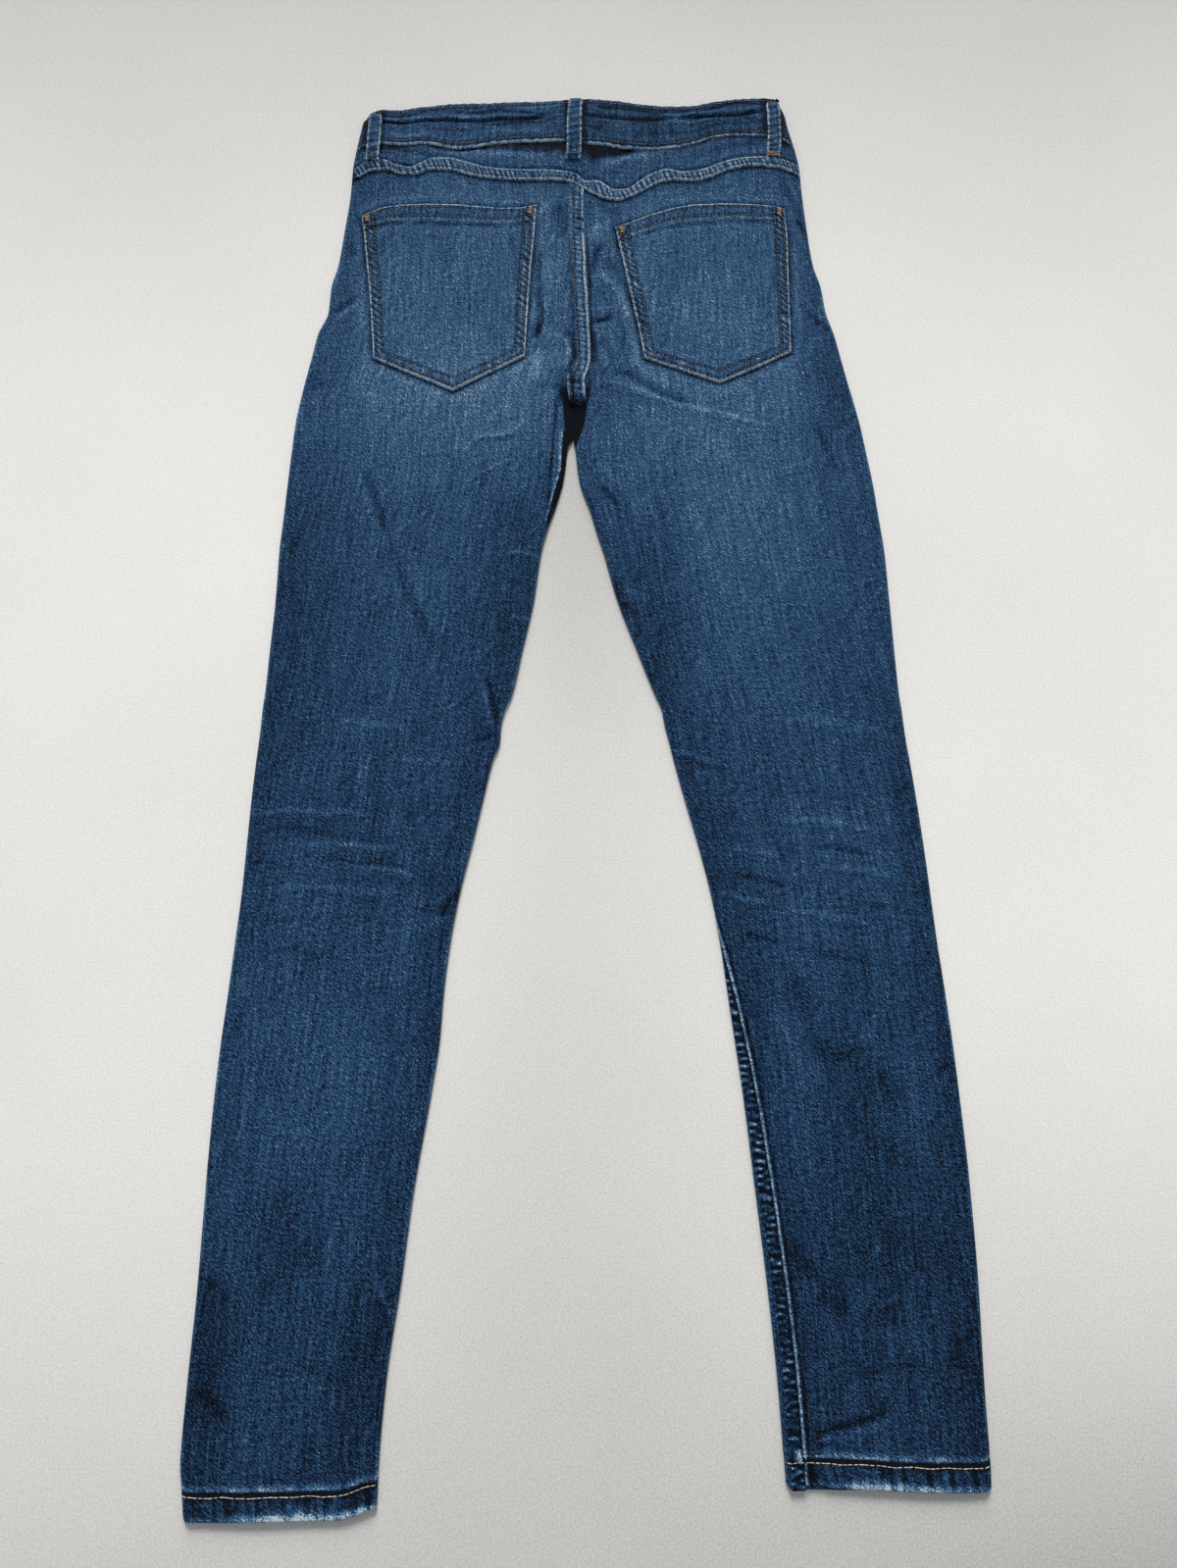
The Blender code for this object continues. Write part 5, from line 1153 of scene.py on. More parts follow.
def edge_lines(side, st_out, st_in, y):
    """The pale worn lines along the outer folds, stronger low on the legs, and along the inside folds below the
    crotch.
    """
    low = smooth(-0.10, -0.22, y)
    along = 0.6 + 0.8 * noise(y * 1e3 / 26, 0 * y + (1 if side == "left" else 2), 61)
    rim = smooth(4.6, 2.4, st_out * 1e3) * smooth(-5.0, -2.0, st_out * 1e3)
    wear = rim * (0.42 + 0.26 * low) * along
    inner = smooth(4.4, 2.2, st_in * 1e3) * smooth(-5.0, -2.0, st_in * 1e3)
    wear += inner * (0.42 + 0.18 * low) * (y < 0.15) * along
    return wear


def run_along(x, y, path):
    """Distance from points to a polyline, and how far along it, in millimetres."""
    best, run = np.full(x.shape, 1e9), np.zeros(x.shape)
    start = 0.0
    for (x0, y0), (x1, y1) in zip(path, path[1:]):
        dx, dy = x1 - x0, y1 - y0
        long = math.hypot(dx, dy)
        a = np.clip(((x - x0) * dx + (y - y0) * dy) / long**2, 0, 1)
        d = np.hypot(x - x0 - a * dx, y - y0 - a * dy)
        run = np.where(d < best, start + a * long, run)
        best = np.minimum(best, d)
        start += long
    return best, run


def pocket_outline(side):
    p = POCKETS_MM[side]
    return p["mouth"] + p["right"][1:] + p["foot"][::-1][1:] + p["left"][::-1][1:]


def pocket_distance(side, x, y):
    """Distance to the pocket's outline, and how far round it, in millimetres; far away it is just large."""
    d, run = np.full(x.shape, 99.0), np.zeros(x.shape)
    X, Y = x * 1e3, y * 1e3
    line = pocket_outline(side)
    xs, ys = [p[0] for p in line], [p[1] for p in line]
    near = (X > min(xs) - 14) & (X < max(xs) + 14) & (Y > min(ys) - 14) & (Y < max(ys) + 14)
    if near.any():
        d[near], run[near] = run_along(X[near], Y[near], line)
    return d, run


# ---------------------------------------------------------------- back panels
def build_back(side):
    ks = np.linspace(0, 1, 22)
    top_edge = lambda x: YOKE_LOW(x) + 0.0035
    hem_y = -0.53 if side == "left" else -0.5115
    c_rows = np.arange(0.42 - 0.00165, hem_y + 0.0205, -0.00165)
    above = np.concatenate([np.arange(17.5, 1.0, -0.9), [0.6, 0.2, 0.0]]) * MM
    a = np.concatenate([1 - ks, 0 * c_rows, 0 * above])
    b = np.concatenate([0 * ks, 0 * c_rows, 0 * above + 1])
    c = np.concatenate([ks * 0.42, c_rows, above])
    guess = a * 0.46 + b * hem_y + c
    y_of = spread_rows(a, b, c, side, top_edge)

    def height(sd, x, y):
        z, t = top(sd, x, y)
        # the yoke's felled edge lies on the panel's upper edge, with painted shadow just below it
        depth = (YOKE_LOW(x) - y) * 1e3
        under = smooth(1.0, -1.5, depth) * (y > 0.43)
        below = gauss((depth - 1.0) / 1.8) * (y > 0.43)
        z = z - 0.5 * MM * under - 0.15 * MM * below
        t = t - 0.38 * below * (0.8 + 0.4 * noise(x * 1e3 / 6, 0 * x, 64))
        # drawn in round the pocket, with painted shadow along its outline
        d, run = pocket_distance(sd, x, y)
        near = gauss(d / 2.2)
        t = t - 0.40 * near * (0.8 + 0.4 * noise(run / 7, 0 * run, 65)) + 0.06 * gauss((d - 6.5) / 3.0)
        z = z - 0.40 * MM * near
        return z, t

    P, tone, across, st_out, st_in = back_grid(side, y_of, guess, 24, 88, 22, height)
    y = P[..., 1]
    wear = edge_lines(side, st_out, st_in, y)
    end = split_end(side, y)
    if side == "right":
        # the folded edge beside the inside leg seam: a pale worn ridge, then a groove darkened with painted shade
        d = (st_in - end) * 1e3
        on = smooth(-0.120, -0.165, y) * (st_in < 0.5)
        tick = noise(y * 1e3 / 5.0, 0 * y, 71)
        ridge = gauss((d - 1.0) / 1.1) * on
        groove = gauss((d - 3.4) / 1.1) * on
        P[..., 2] += MM * (0.75 * ridge - 0.35 * groove + 0.15 * ridge * tick)
        tone = tone + 0.06 * ridge - 0.36 * groove * (0.8 + 0.3 * tick)
        wear = wear + ridge * (1.35 + 0.55 * noise(y * 1e3 / 1.9, 0 * y, 74))
    # hollow between the legs: painted shade in tone, deepest at the crotch
    deep = smooth(3.0, 1.0, P[..., 0] * 1e3) * smooth(0.272, 0.261, y) * smooth(SPLIT_Y - 0.012, SPLIT_Y + 0.004, y) * smooth(1.6 * MM, -0.6 * MM, st_in)
    tone = tone - 1.2 * deep
    tone = tone - 0.62 * np.exp(-(((P[..., 0] * 1e3 + 16.4) / 5.0) ** 2) - ((y * 1e3 - 264.6) / 6.6) ** 2)
    tone = tone - 0.40 * np.exp(-(((P[..., 0] * 1e3 - 2.6) / 2.2) ** 2) - ((y * 1e3 - 267.0) / 7.0) ** 2)
    if side == "left":
        # inside the gap the front's edge shows, with its stitched inside leg seam; the dark line along the back's fold
        # and the dark past the seam are painted shade
        X, Y = P[..., 0] * 1e3, y * 1e3
        fold = np.interp(Y, GAP_Y, GAP_FOLD)
        pipe = np.interp(Y, GAP_Y, GAP_PIPE)
        on = smooth(148, 162, Y) * smooth(262, 254, Y) * (X > fold - 6)
        lip = on * smooth(0.2, 1.6, X - fold)
        tick = noise(Y / 2.4, 0 * Y, 75)
        tone = tone - 0.34 * on * gauss((X - fold - 0.6) / 1.0) + lip * 0.02 * tick
        P[..., 2] -= MM * 0.7 * lip
        seam = on * smooth(236, 228, Y)
        wear = wear + 1.5 * seam * gauss((X - pipe) / 1.05) * (0.85 + 0.30 * tick)
        past = seam * smooth(0.6, 1.4, X - pipe)
        tone = tone - 0.85 * past
        wear = wear + 1.3 * past * gauss((X - pipe - 3.0) / 0.9) * (tick > 0.25) * smooth(212, 202, Y)
    # worn bottom edge of the hem
    hem = (y - hem_line(side, P[..., 0])) * 1e3
    if side == "left":
        patch = gauss((P[..., 0] * 1e3 + 174) / 38)
    else:
        patch = gauss((P[..., 0] * 1e3 - 184) / 18) + 0.55 * gauss((P[..., 0] * 1e3 - 219) / 20)
    fray = noise(P[..., 0] * 1e3 / 3.5, 0 * y, 72)
    wear = wear + gauss(hem / (1.7 + 3.0 * patch + 0.5 * fray)) * (0.45 + 1.55 * patch) * (0.85 + 0.4 * fray) + 0.62 * gauss((hem - 17.6) / 1.5) * (0.7 + 0.5 * noise(P[..., 0] * 1e3 / 6, 0 * y, 73))
    # turn the hem's edge inside; the turned-in rows are painted a little darker, as shade under the hem
    n = normals(P)
    if n[300, 60, 2] < 0:
        n = -n
    r = 0.85 * MM
    last = P.shape[0] - 1
    turn_rows = [P[last] + np.array([0, -1.0, 0]) * r * math.sin(f) - n[last] * r * (1 - math.cos(f)) for f in (0.6, 1.2, 1.9, 2.6)]
    inner_idx = [last - 3, last - 5, last - 8, last - 11]
    inner_rows = [P[i] - n[i] * 2 * r for i in inner_idx]
    P = np.concatenate([P, np.stack(turn_rows + inner_rows)])
    ext = lambda q: np.concatenate([q, np.repeat(q[last : last + 1], 4, 0), q[inner_idx] - (0.08 if q is tone else 0)])
    V = y.copy()
    V_ext = np.concatenate([V, V[last][None] - r * np.array([0.6, 1.2, 1.9, 2.6])[:, None], V[last][None] - 2 * r - (V[inner_idx] - V[last][None])])
    across_e, tone_e, wear_e = ext(across), ext(tone), ext(wear)
    mid = leg_middle(side, V_ext)
    return grid_object("back_" + side, P, tone_e, wear_e, across_e - mid, V_ext, DENIM, up=True)


back = {side: build_back(side) for side in ("left", "right")}


# ---------------------------------------------------------------- yokes
def yoke_low(x):
    return YOKE_LOW(x)


def yoke_surface(side, x, y):
    z, t = top(side, x, y)
    low, high = YOKE_LOW(x), YOKE_UP(x)
    up, down = (y - low) * 1e3, (high - y) * 1e3
    s = x * 1e3
    felled = smooth(0.0, 0.9, up) * smooth(-0.3, 0.8, down)
    w = np.clip(1.5 * wave(s + 0.4 * up, 4.1, 81 if side == "left" else 82), -1.0, 1.0)
    rim = np.clip(1 - up / 0.7, 0, 1)
    z = z + MM * (0.45 + 0.95 * felled - 0.95 * rim**2 + felled * 0.26 * w)
    z = z - MM * 0.40 * (gauss((up - 2.3) / 0.6) + gauss((down - 2.1) / 0.6))
    z = z - MM * 0.30 * gauss((down + 1.8) / 1.4)
    # the felled band's tone follows its puckers, painted shade in the hollows and painted highlight on the crests; the
    # stitch grooves and the groove just above the band are darkened with painted shade
    t = t + felled * (0.30 * w + (0.02 if side == "left" else 0.09)) - 0.16 * (gauss((up - 2.3) / 0.5) + gauss((down - 2.1) / 0.5))
    t = t - 0.32 * gauss((down + 1.9) / 1.4) * (0.8 + 0.5 * noise(s / 7, 0 * s, 84))
    # the upper edge goes in under the waistband, whose stitches pull small puckers into it; just below the band the
    # yoke dips and is darkened with painted shadow of the band, and the puckers' tone follows their height
    below = (SEAM["band_bottom"](x) - y) * 1e3
    pull = noise(s / 5.5, below / 9, 85)
    deep = np.interp(s, SHADE_X, SHADE_DEEP)
    reach = np.interp(s, SHADE_X, SHADE_REACH) * (1 + 0.2 * noise(s / 6, 0 * s, 88))
    z = z - MM * 1.1 * smooth(1.2, -1.2, below) - MM * (0.7 + deep) * smooth(reach, 0.2 * reach, below) + MM * 0.35 * pull * gauss(below / 8)
    t = t - deep * smooth(1.25 * reach, 0.25 * reach, below) + 0.09 * pull * gauss(below / 8)
    return z, t


def build_yoke(side):
    under = np.linspace(0, 1, 18)[:-1]
    offs = np.concatenate([np.linspace(15.5, 10.0, 10), np.linspace(9.5, 1.4, 18), [1.0, 0.7, 0.45, 0.2, 0.0]]) * MM
    a = np.concatenate([1 - under, 0 * offs])[:, None]
    c = np.concatenate([15.5 * MM * under, offs])[:, None]

    def y_of(x, u):
        upper = lerp(SEAM["band_bottom"](x) + 0.0022, front_band_edges(x)[1] - 0.0009, u)
        lower = lerp(YOKE_LOW(x), SEAM["yoke_seam"](x), u)
        return a * upper + (1 - a) * lower + c

    guess = 0.462 + c[:, 0] + a[:, 0] * 0.02
    P, tone, across, st_out, st_in = back_grid(side, y_of, guess, 24, 190, 22, yoke_surface)
    up = (P[..., 1] - YOKE_LOW(P[..., 0])) * 1e3
    down = (YOKE_UP(P[..., 0]) - P[..., 1]) * 1e3
    s = P[..., 0] * 1e3
    on_top = smooth(-0.002, 0.002, st_out)
    wear = 1.35 * gauss((up - 0.75) / 0.78) * (0.85 + 0.30 * noise(s / 4.5, 0 * up, 86)) * on_top
    wear += 1.30 * gauss((down - 0.60) / 0.78) * (0.85 + 0.30 * noise(s / 5.5, 0 * up, 87)) * on_top
    wear += 0.26 * gauss((up - 4.8) / 1.6) * np.clip(wave(s + 0.4 * up, 4.1, 81 if side == "left" else 82), 0, 1) * on_top
    wear += 0.10 * gauss((st_out - 0.001) / 0.0016)
    return grid_object("yoke_piece_" + side, P, tone, wear, across, P[..., 1], DENIM, up=True)


yoke = {side: build_yoke(side) for side in ("left", "right")}


# ---------------------------------------------------------------- the band over the seat seam
def panel_z(side, x, y):
    """The back's or the yoke's outer surface, whichever is there."""
    z1, t1 = top(side, x, y)
    z2, t2 = yoke_surface(side, x, y)
    on = y > yoke_low(x)
    return np.where(on, z2, z1), np.where(on, t2, t1)


def build_seat_band():
    y = np.concatenate([np.arange(0.4545, 0.2535, -0.0014), [0.2528, 0.2522, 0.2518]])
    v = np.concatenate([[0, 0.02, 0.05, 0.09, 0.14], np.linspace(0.2, 0.8, 13), [0.86, 0.91, 0.95, 0.98, 1.0]])
    left, right = SEAT_L(y), SEAT_R(y)
    x = lerp(left[:, None], right[:, None], v[None, :]) + 0.35 * MM * noise(y * 1e3 / 7, 0 * y, 91)[:, None]
    yy = np.broadcast_to(y[:, None], x.shape)
    zl, tl = top("left", x, np.maximum(yy, 0.292))
    zr, tr = top("right", x, np.maximum(yy, 0.292))
    mix = smooth(-0.012, 0.0, x)
    base, tone = lerp(zl, zr, mix), lerp(tl, tr, mix)
    end = smooth(0.2535, 0.2575, yy)
    drop = 1.6 * MM * smooth(0.282, 0.256, yy)
    s = yy * 1e3
    d = (v[None, :] - 0.5) * 2 + 0 * x
    w = wave(s + 1.2 * d, 4.9, 93) * smooth(-0.75, -0.25, d) * smooth(0.75, 0.55, d)
    z = base + MM * (0.95 + 0.22 * w * (1 - d**4) + 0.10 * noise(s / 3, d * 1.5, 94)) - drop
    z -= MM * 0.30 * (gauss((d + 0.62) / 0.16) + gauss((d - 0.62) / 0.16))
    edge = np.clip((np.abs(d) - 0.87) / 0.13, 0, 1)
    z -= MM * 0.95 * (1 - np.sqrt(1 - edge**2))
    z -= MM * 2.2 * (1 - end) ** 2
    # painted shade and highlight: the band's tone follows its puckers, and the creases across it, its stitch grooves,
    # the fold where the seat ends and the tab going down into the gap are darkened
    tone = tone + 0.28 * w + 0.10 * gauss((d - 0.1) / 0.4) - 0.08 * smooth(-0.2, -0.6, d) + 0.08 * noise(s / 2.5, d * 2, 95)
    tone = tone - 0.60 * gauss((s + 1.5 * d - 421.0) / 1.6) * smooth(-0.3, 0.1, d) - 0.50 * gauss((s + 2.5 * d - 412.0) / 1.7) * smooth(-0.4, 0.2, d)
    # folded over where the seat ends: a pale line, then the tab below it
    tone = tone - 0.45 * gauss((s - 274.5) / 1.6)
    tone = tone - 0.30 * (gauss((d + 0.52) / 0.12) + gauss((d - 0.50) / 0.12)) - 0.05 * smooth(0.278, 0.270, yy)
    tone = tone - 0.55 * smooth(0.268, 0.253, yy)
    wear = 1.35 * gauss((d - 0.84) / 0.17) * (0.88 + 0.25 * noise(s / 5, 0 * s, 96)) + 0.75 * gauss((d + 0.86) / 0.15) * (0.6 + 0.6 * noise(s / 5, 1 + 0 * s, 97))
    wear = wear * smooth(0.255, 0.262, yy) + 0.22 * smooth(0.283, 0.278, yy) * smooth(0.262, 0.270, yy) * (0.5 + 0.5 * noise(s / 2.2, d * 2.2, 98))
    P = np.stack([x, yy, z], -1)
    for v_at, seed in ((0.21, 1), (0.79, 2)):
        j = int(np.argmin(np.abs(v - v_at)))
        thread_row("tan_seat", P[:-9, j], seed=seed, lift=0.20)
    return grid_object("seat_seam_band", P, tone, wear, x, yy, DENIM, up=True)


seat_band = build_seat_band()


# ---------------------------------------------------------------- waistband
def build_band(side):
    sign = 1.0 if side == "left" else -1.0
    out = SECTION[side + "_out"]
    low = float(FOLD_SHARE * band_height(side, out(0.505)))
    v_in = np.array([0.0, 0.008, 0.018, 0.03, 0.045, 0.075, 0.11])
    v = np.concatenate([v_in, np.linspace(0.14, 0.86, 30), 1 - v_in[::-1]])
    x_level = out(0.505) + sign * (TOP_ROLL + 3.4 * MM)
    # over the back, from the centre outward
    xs = np.arange(0, abs(x_level + 0.0072), 0.00135)
    x_back = -0.0072 - sign * xs
    s_fold = np.concatenate([np.linspace(7.6 * MM, -2.0 * MM, 16), np.linspace(-3.2 * MM, -SEAM_IN, 5)])
    rows, u_rows, s_rows = [], [], []
    for x0 in x_back:
        x = x0 + 0 * v
        hi, lo = band_edges(x, 0.0)
        rows.append(np.stack([x, lerp(lo, hi, v), 0 * x], -1))
        s_rows.append(1.0)
    for s in s_fold:
        d, turn = roll(np.array([s]), low, BAND_UNDER)
        y = 0.505 + 0 * v
        for _ in range(2):
            x = out(y) + sign * d
            hi, lo = band_edges(x, float(underside(s)))
            y = lerp(lo, hi, v)
        rows.append(np.stack([x, y, turn + 0 * x], -1))
        s_rows.append(s)
    x_end = FRONT_ENDS[side] * MM
    x_start = float(out(0.505) + sign * (BAND_UNDER + SEAM_IN))
    for x0 in np.linspace(x_start, x_end, 80):
        x = x0 + 0 * v
        hi, lo = front_band_edges(x)
        rows.append(np.stack([x, lerp(lo, hi, v), 0 * x - 9], -1))
        s_rows.append(-1.0)
    P = np.stack(rows)
    kind = P[..., 2].copy()
    x, y = P[..., 0], P[..., 1]
    s_rows = np.array(s_rows)[:, None] + 0 * x
    vv = v[None, :] + 0 * x
    full, tone = band_surface(side, x, vv)
    z_back = full
    z_fold = raise_to(low, full, np.where(s_rows < 0.5, kind, 0))
    lap = np.where(side == "right", (BAND_WALL + SEAM_GAP) * smooth(0.046, 0.014, x), 0.0)
    z_front = front_rise(x, y) + lap
    z = np.where(s_rows > 0.5, z_back, np.where(s_rows < -0.5, z_front, z_fold))
    P = np.stack([x, y, z], -1)
    along = np.concatenate([[0], np.cumsum(np.linalg.norm(np.diff(P[:, 20], axis=0), axis=1))])
    edge = np.clip(np.maximum((0.018 - vv) / 0.018, (vv - 0.975) / 0.025), 0, 1)
    rub = 0.75 + 0.45 * noise(along[:, None] * 1e3 / 5 + 0 * vv, vv * 3, 101 if side == "left" else 102)
    wear = 1.25 * smooth(0.052, 0.032, vv) * (0.80 + 0.25 * rub) + 0.50 * gauss((1 - vv) / 0.045) * rub
    holes = None
    if side == "left":
        cx, cy = 0.5 * (x[1:, 1:] + x[:-1, :-1]), 0.5 * (y[1:, 1:] + y[:-1, :-1])
        holes = (np.abs(cx - BUTTON_X + 0.003) < 0.009) & (np.abs(cy - BUTTON_Y) < 0.0031) & (s_rows[1:, 1:] < -0.5)
    n = normals(P)
    k = 20
    flip = n[k, 20, 2] < 0
    # outer side is up on the back and down on the front
    if flip:
        n = -n
    rim = np.sqrt(np.clip(1 - edge**2, 0, 1))
    obj = closed_strip("waistband_piece_" + side, P, n, BAND_WALL, rim, tone, wear, along[:, None] + 0 * vv, y - y[:, :1], holes)
    for v_at, seed in ((0.115, 11), (0.915, 12)):
        j = int(np.argmin(np.abs(v - v_at)))
        keep = (s_rows[:, j] > -0.0015)
        path = (P - n * (BAND_WALL / 2 * (1 - rim))[..., None])[keep, j]
        thread_row("tan_waistband", path, seed=seed + (5 if side == "left" else 0), lift=0.15)
        path = P[s_rows[:, j] < -0.5, j]
        path[:, 2] = np.maximum(path[:, 2], 0.30 * MM)
        thread_row("tan_waistband", path, seed=seed + 9, lift=0.0, jitter=0.05)
    return obj


def band_surface(side, x, v):
    """The waistband's outer surface on the back: height and tone."""
    s = x * 1e3
    z = band_height(side, x)
    mid = 1 - (2 * v - 1) ** 2
    z = z + MM * (0.55 * mid - 0.35)
    # long creases along the band, and the waves that its stitched edges pull into it; the tone of both follows their
    # height, painted shade in the hollows and painted highlight on the ridges
    t = 0 * z
    for k, (points, wide, rise, tone) in enumerate(BAND_FOLDS):
        at = np.interp(s, [p[0] for p in points], [p[1] for p in points])
        off = (v - at - 0.035 * noise(s / 18, 0 * s + k, 111)) / (wide * (1 + 0.35 * noise(s / 11, 0 * s + k, 118)))
        g = gauss(off) * smooth(points[0][0] - 3, points[0][0] + 12, s) * smooth(points[-1][0] + 3, points[-1][0] - 12, s)
        z = z + 1.7 * rise * MM * g
        t = t + (1.75 if tone < 0 else 2.0) * tone * g * (0.85 + 0.5 * noise(s / 8, v * 6, 112))
    pull = wave(s, 8.5, 113) * (gauss(v / 0.22) + gauss((1 - v) / 0.14))
    z = z + MM * (0.40 * pull + 0.25 * noise(s / 26, v * 1.5, 114) + 0.20 * noise(s / 9, v * 5, 115))
    z = z - MM * 0.35 * (gauss((v - 0.095) / 0.03) + gauss((v - 0.915) / 0.03))
    # the stitch rows' grooves are darkened with painted shade
    t = t - 0.34 * gauss((v - 0.086) / 0.026) - 0.18 * gauss((v - 0.150) / 0.020) - 0.30 * gauss((v - 0.915) / 0.026) + 0.08 * gauss((v - 0.17) / 0.04) + 0.10 * gauss((v - 0.965) / 0.03)
    t = t + 0.09 * pull + 0.05 * noise(s / 14, v * 3, 116) + 0.06 * noise(s / 5, v * 9, 117) + FADE[side](0.50) - lerp(0.11, 0.18, smooth(-12.0, 6.0, s))
    # painted shadow under and beside the three back belt loops
    for x0, x1, reach, deep in ((-14.9, -2.0, 3.0, 0.62), (-182.0, -168.2, 2.4, 0.50), (148.5, 162.5, 2.4, 0.44)):
        off = np.maximum(np.maximum(x0 - s, s - x1), 0.0)
        t = t - deep * gauss(off / reach) * (0.8 + 0.3 * noise(v * 6, 0 * s, 119))
    return z, t


def closed_strip(name, P, n, thick, rim, tone, wear, across, along, holes=None):
    rows, cols = P.shape[:2]
    outer = P - n * (thick / 2 * (1 - rim))[..., None]
    inner = P - n * (thick - thick / 2 * (1 - rim))[..., None]
    keep = None if holes is None else ~holes
    a = grid_faces(rows, cols, keep)
    b = grid_faces(rows, cols, keep, rows * cols)[:, ::-1]
    idx = np.arange(rows * cols).reshape(rows, cols)
    more = []
    for row, flip in ((0, True), (rows - 1, False)):
        q = np.stack([idx[row, :-1], idx[row, 1:], idx[row, 1:] + rows * cols, idx[row, :-1] + rows * cols], -1)
        more.append(q[:, ::-1] if flip else q)
    for col, flip in ((0, False), (cols - 1, True)):
        q = np.stack([idx[:-1, col], idx[1:, col], idx[1:, col] + rows * cols, idx[:-1, col] + rows * cols], -1)
        more.append(q[:, ::-1] if flip else q)
    faces = np.concatenate([a, b] + more)
    first = a[len(a) // 2]
    p = outer.reshape(-1, 3)
    look = np.cross(p[first[1]] - p[first[0]], p[first[2]] - p[first[0]])
    if (look * n.reshape(-1, 3)[first[0]]).sum() < 0:
        faces = faces[:, ::-1]
    cloth = np.stack([across, along, 0 * across], -1).reshape(-1, 3)
    two = lambda q: np.concatenate([np.ravel(q), np.ravel(q)])
    verts = np.concatenate([outer.reshape(-1, 3), inner.reshape(-1, 3)])
    return mesh_object(name, verts, faces, two(tone), two(wear), np.concatenate([cloth, cloth]), DENIM)


band = {side: build_band(side) for side in ("left", "right")}


# ---------------------------------------------------------------- belt loops
def build_back_loop(name, x_top, x_low, y_top, y_low):
    seed = {"belt_loop_back": 121, "belt_loop_back_left": 122, "belt_loop_back_right": 123}[name]
    side = "left" if x_top < -100 else "right"
    n_rows, n_cols = 46, 15
    t = np.linspace(0, 1, n_rows)
    v = np.sin(np.linspace(-1, 1, n_cols) * np.pi / 2)
    y = lerp(y_top, y_low, t) * MM
    x_mid = lerp(x_top, x_low, t) * MM + 0.4 * MM * noise(t * 5, 0 * t, seed) + (1.2 * MM * np.sin(np.pi * t) if x_top > 100 else 0.0)
    wide = LOOP_WIDE * (1 + 0.04 * noise(t * 6, 1 + 0 * t, seed)) * (1.06 if name == "belt_loop_back" else 0.95)
    wide = wide * (1 - 0.20 * (1 - np.clip(t / 0.08, 0, 1)) ** 2)
    x = x_mid[:, None] + 0.5 * wide[:, None] * v[None, :]
    yy = y[:, None] + 0 * x
    edge = SEAM["band_bottom"](x_mid)[:, None]
    band_z = np.maximum(band_surface(side, x, np.clip((yy - SEAM["band_bottom"](x)) / (SEAM["band_top"](x) - SEAM["band_bottom"](x)), 0, 1))[0], 0)
    yoke_z = yoke_surface(side, x, np.minimum(yy, edge - 0.0035))[0]
    flat_band = band_z.max(axis=1, keepdims=True)
    flat_yoke = yoke_z.max(axis=1, keepdims=True)
    clear = (0.25 + 0.8 * np.sin(np.pi * t)) * MM
    z = lerp(flat_yoke, np.maximum(flat_band, flat_yoke), smooth(edge - 0.013, edge - 0.001, yy)) + clear[:, None] + LOOP_WALL
    s = t[:, None] * (y_top - y_low)
    pucker = wave(s + 1.5 * v[None, :], 6.0, seed + 10)
    z = z + MM * (0.22 * pucker * (0.4 + 0.6 * np.abs(v[None, :])) + 0.14 * noise(s / 4, v[None, :] * 1.5, seed + 20))
    z = z - MM * 0.22 * gauss((np.abs(v[None, :]) - 0.55) / 0.14)
    ends = smooth(0, 0.05, t) * smooth(1, 0.95, t)
    z = z - MM * 0.7 * (1 - ends)[:, None]
    P = np.stack([x, yy, z], -1)
    # the loop's tone follows its puckers, painted shade in the hollows and painted highlight on the crests; the
    # grooves of its stitch rows are darkened with painted shade
    tone = FADE[side](0.5) - 0.07 + 0.24 * pucker + 0.05 * noise(s / 2.6, v[None, :] * 2, seed + 30) - 0.10 * gauss(v[None, :] / 0.3) * (0.5 + 0.5 * noise(s / 9, 0 * s, seed + 40)) + 0 * x
    tone = tone - 0.26 * gauss((np.abs(v[None, :]) - 0.55) / 0.13)
    wear = (1.35 * gauss((0.90 - np.abs(v[None, :])) / 0.16) * (0.80 + 0.35 * noise(s / 4, v[None, :] * 3, seed + 50))) + 0.5 * gauss((t[:, None] - 0.01) / 0.02) + 0.6 * gauss((0.985 - t[:, None]) / 0.02) + 0 * x
    n = normals(P)
    if n[20, 7, 2] < 0:
        n = -n
    rim = np.sqrt(np.clip(1 - np.clip((np.abs(v) - 0.86) / 0.14, 0, 1) ** 2, 0, 1))[None, :] + 0 * x
    obj = closed_strip(name + "_piece", P, n, LOOP_WALL, rim, tone, wear, x, yy)
    for at, k in ((-0.55, 1), (0.55, 2)):
        j = int(np.argmin(np.abs(v - at)))
        thread_row("tan_loops", P[2:-2, j], seed=seed + k, lift=0.1, length=2.6, gap=1.0, radius=0.30)
    # bar tacks across both ends
    group = "orange_tacks" if name == "belt_loop_back_right" else "tan_loops"
    for at, g in ((0.03, "tan_loops"), (0.935, group)):
        i = int(at * (n_rows - 1))
        for k in range(3 if g == "orange_tacks" else 1):
            row = P[min(i + k, n_rows - 1)].copy()
            thread_row(g, row, length=1.5, gap=0.2, radius=0.38 if g == "orange_tacks" else 0.30, lift=0.2, seed=seed + 5 + k, jitter=0.2)
    return obj


back_loops = {row[0]: build_back_loop(*row) for row in BACK_LOOPS_MM}


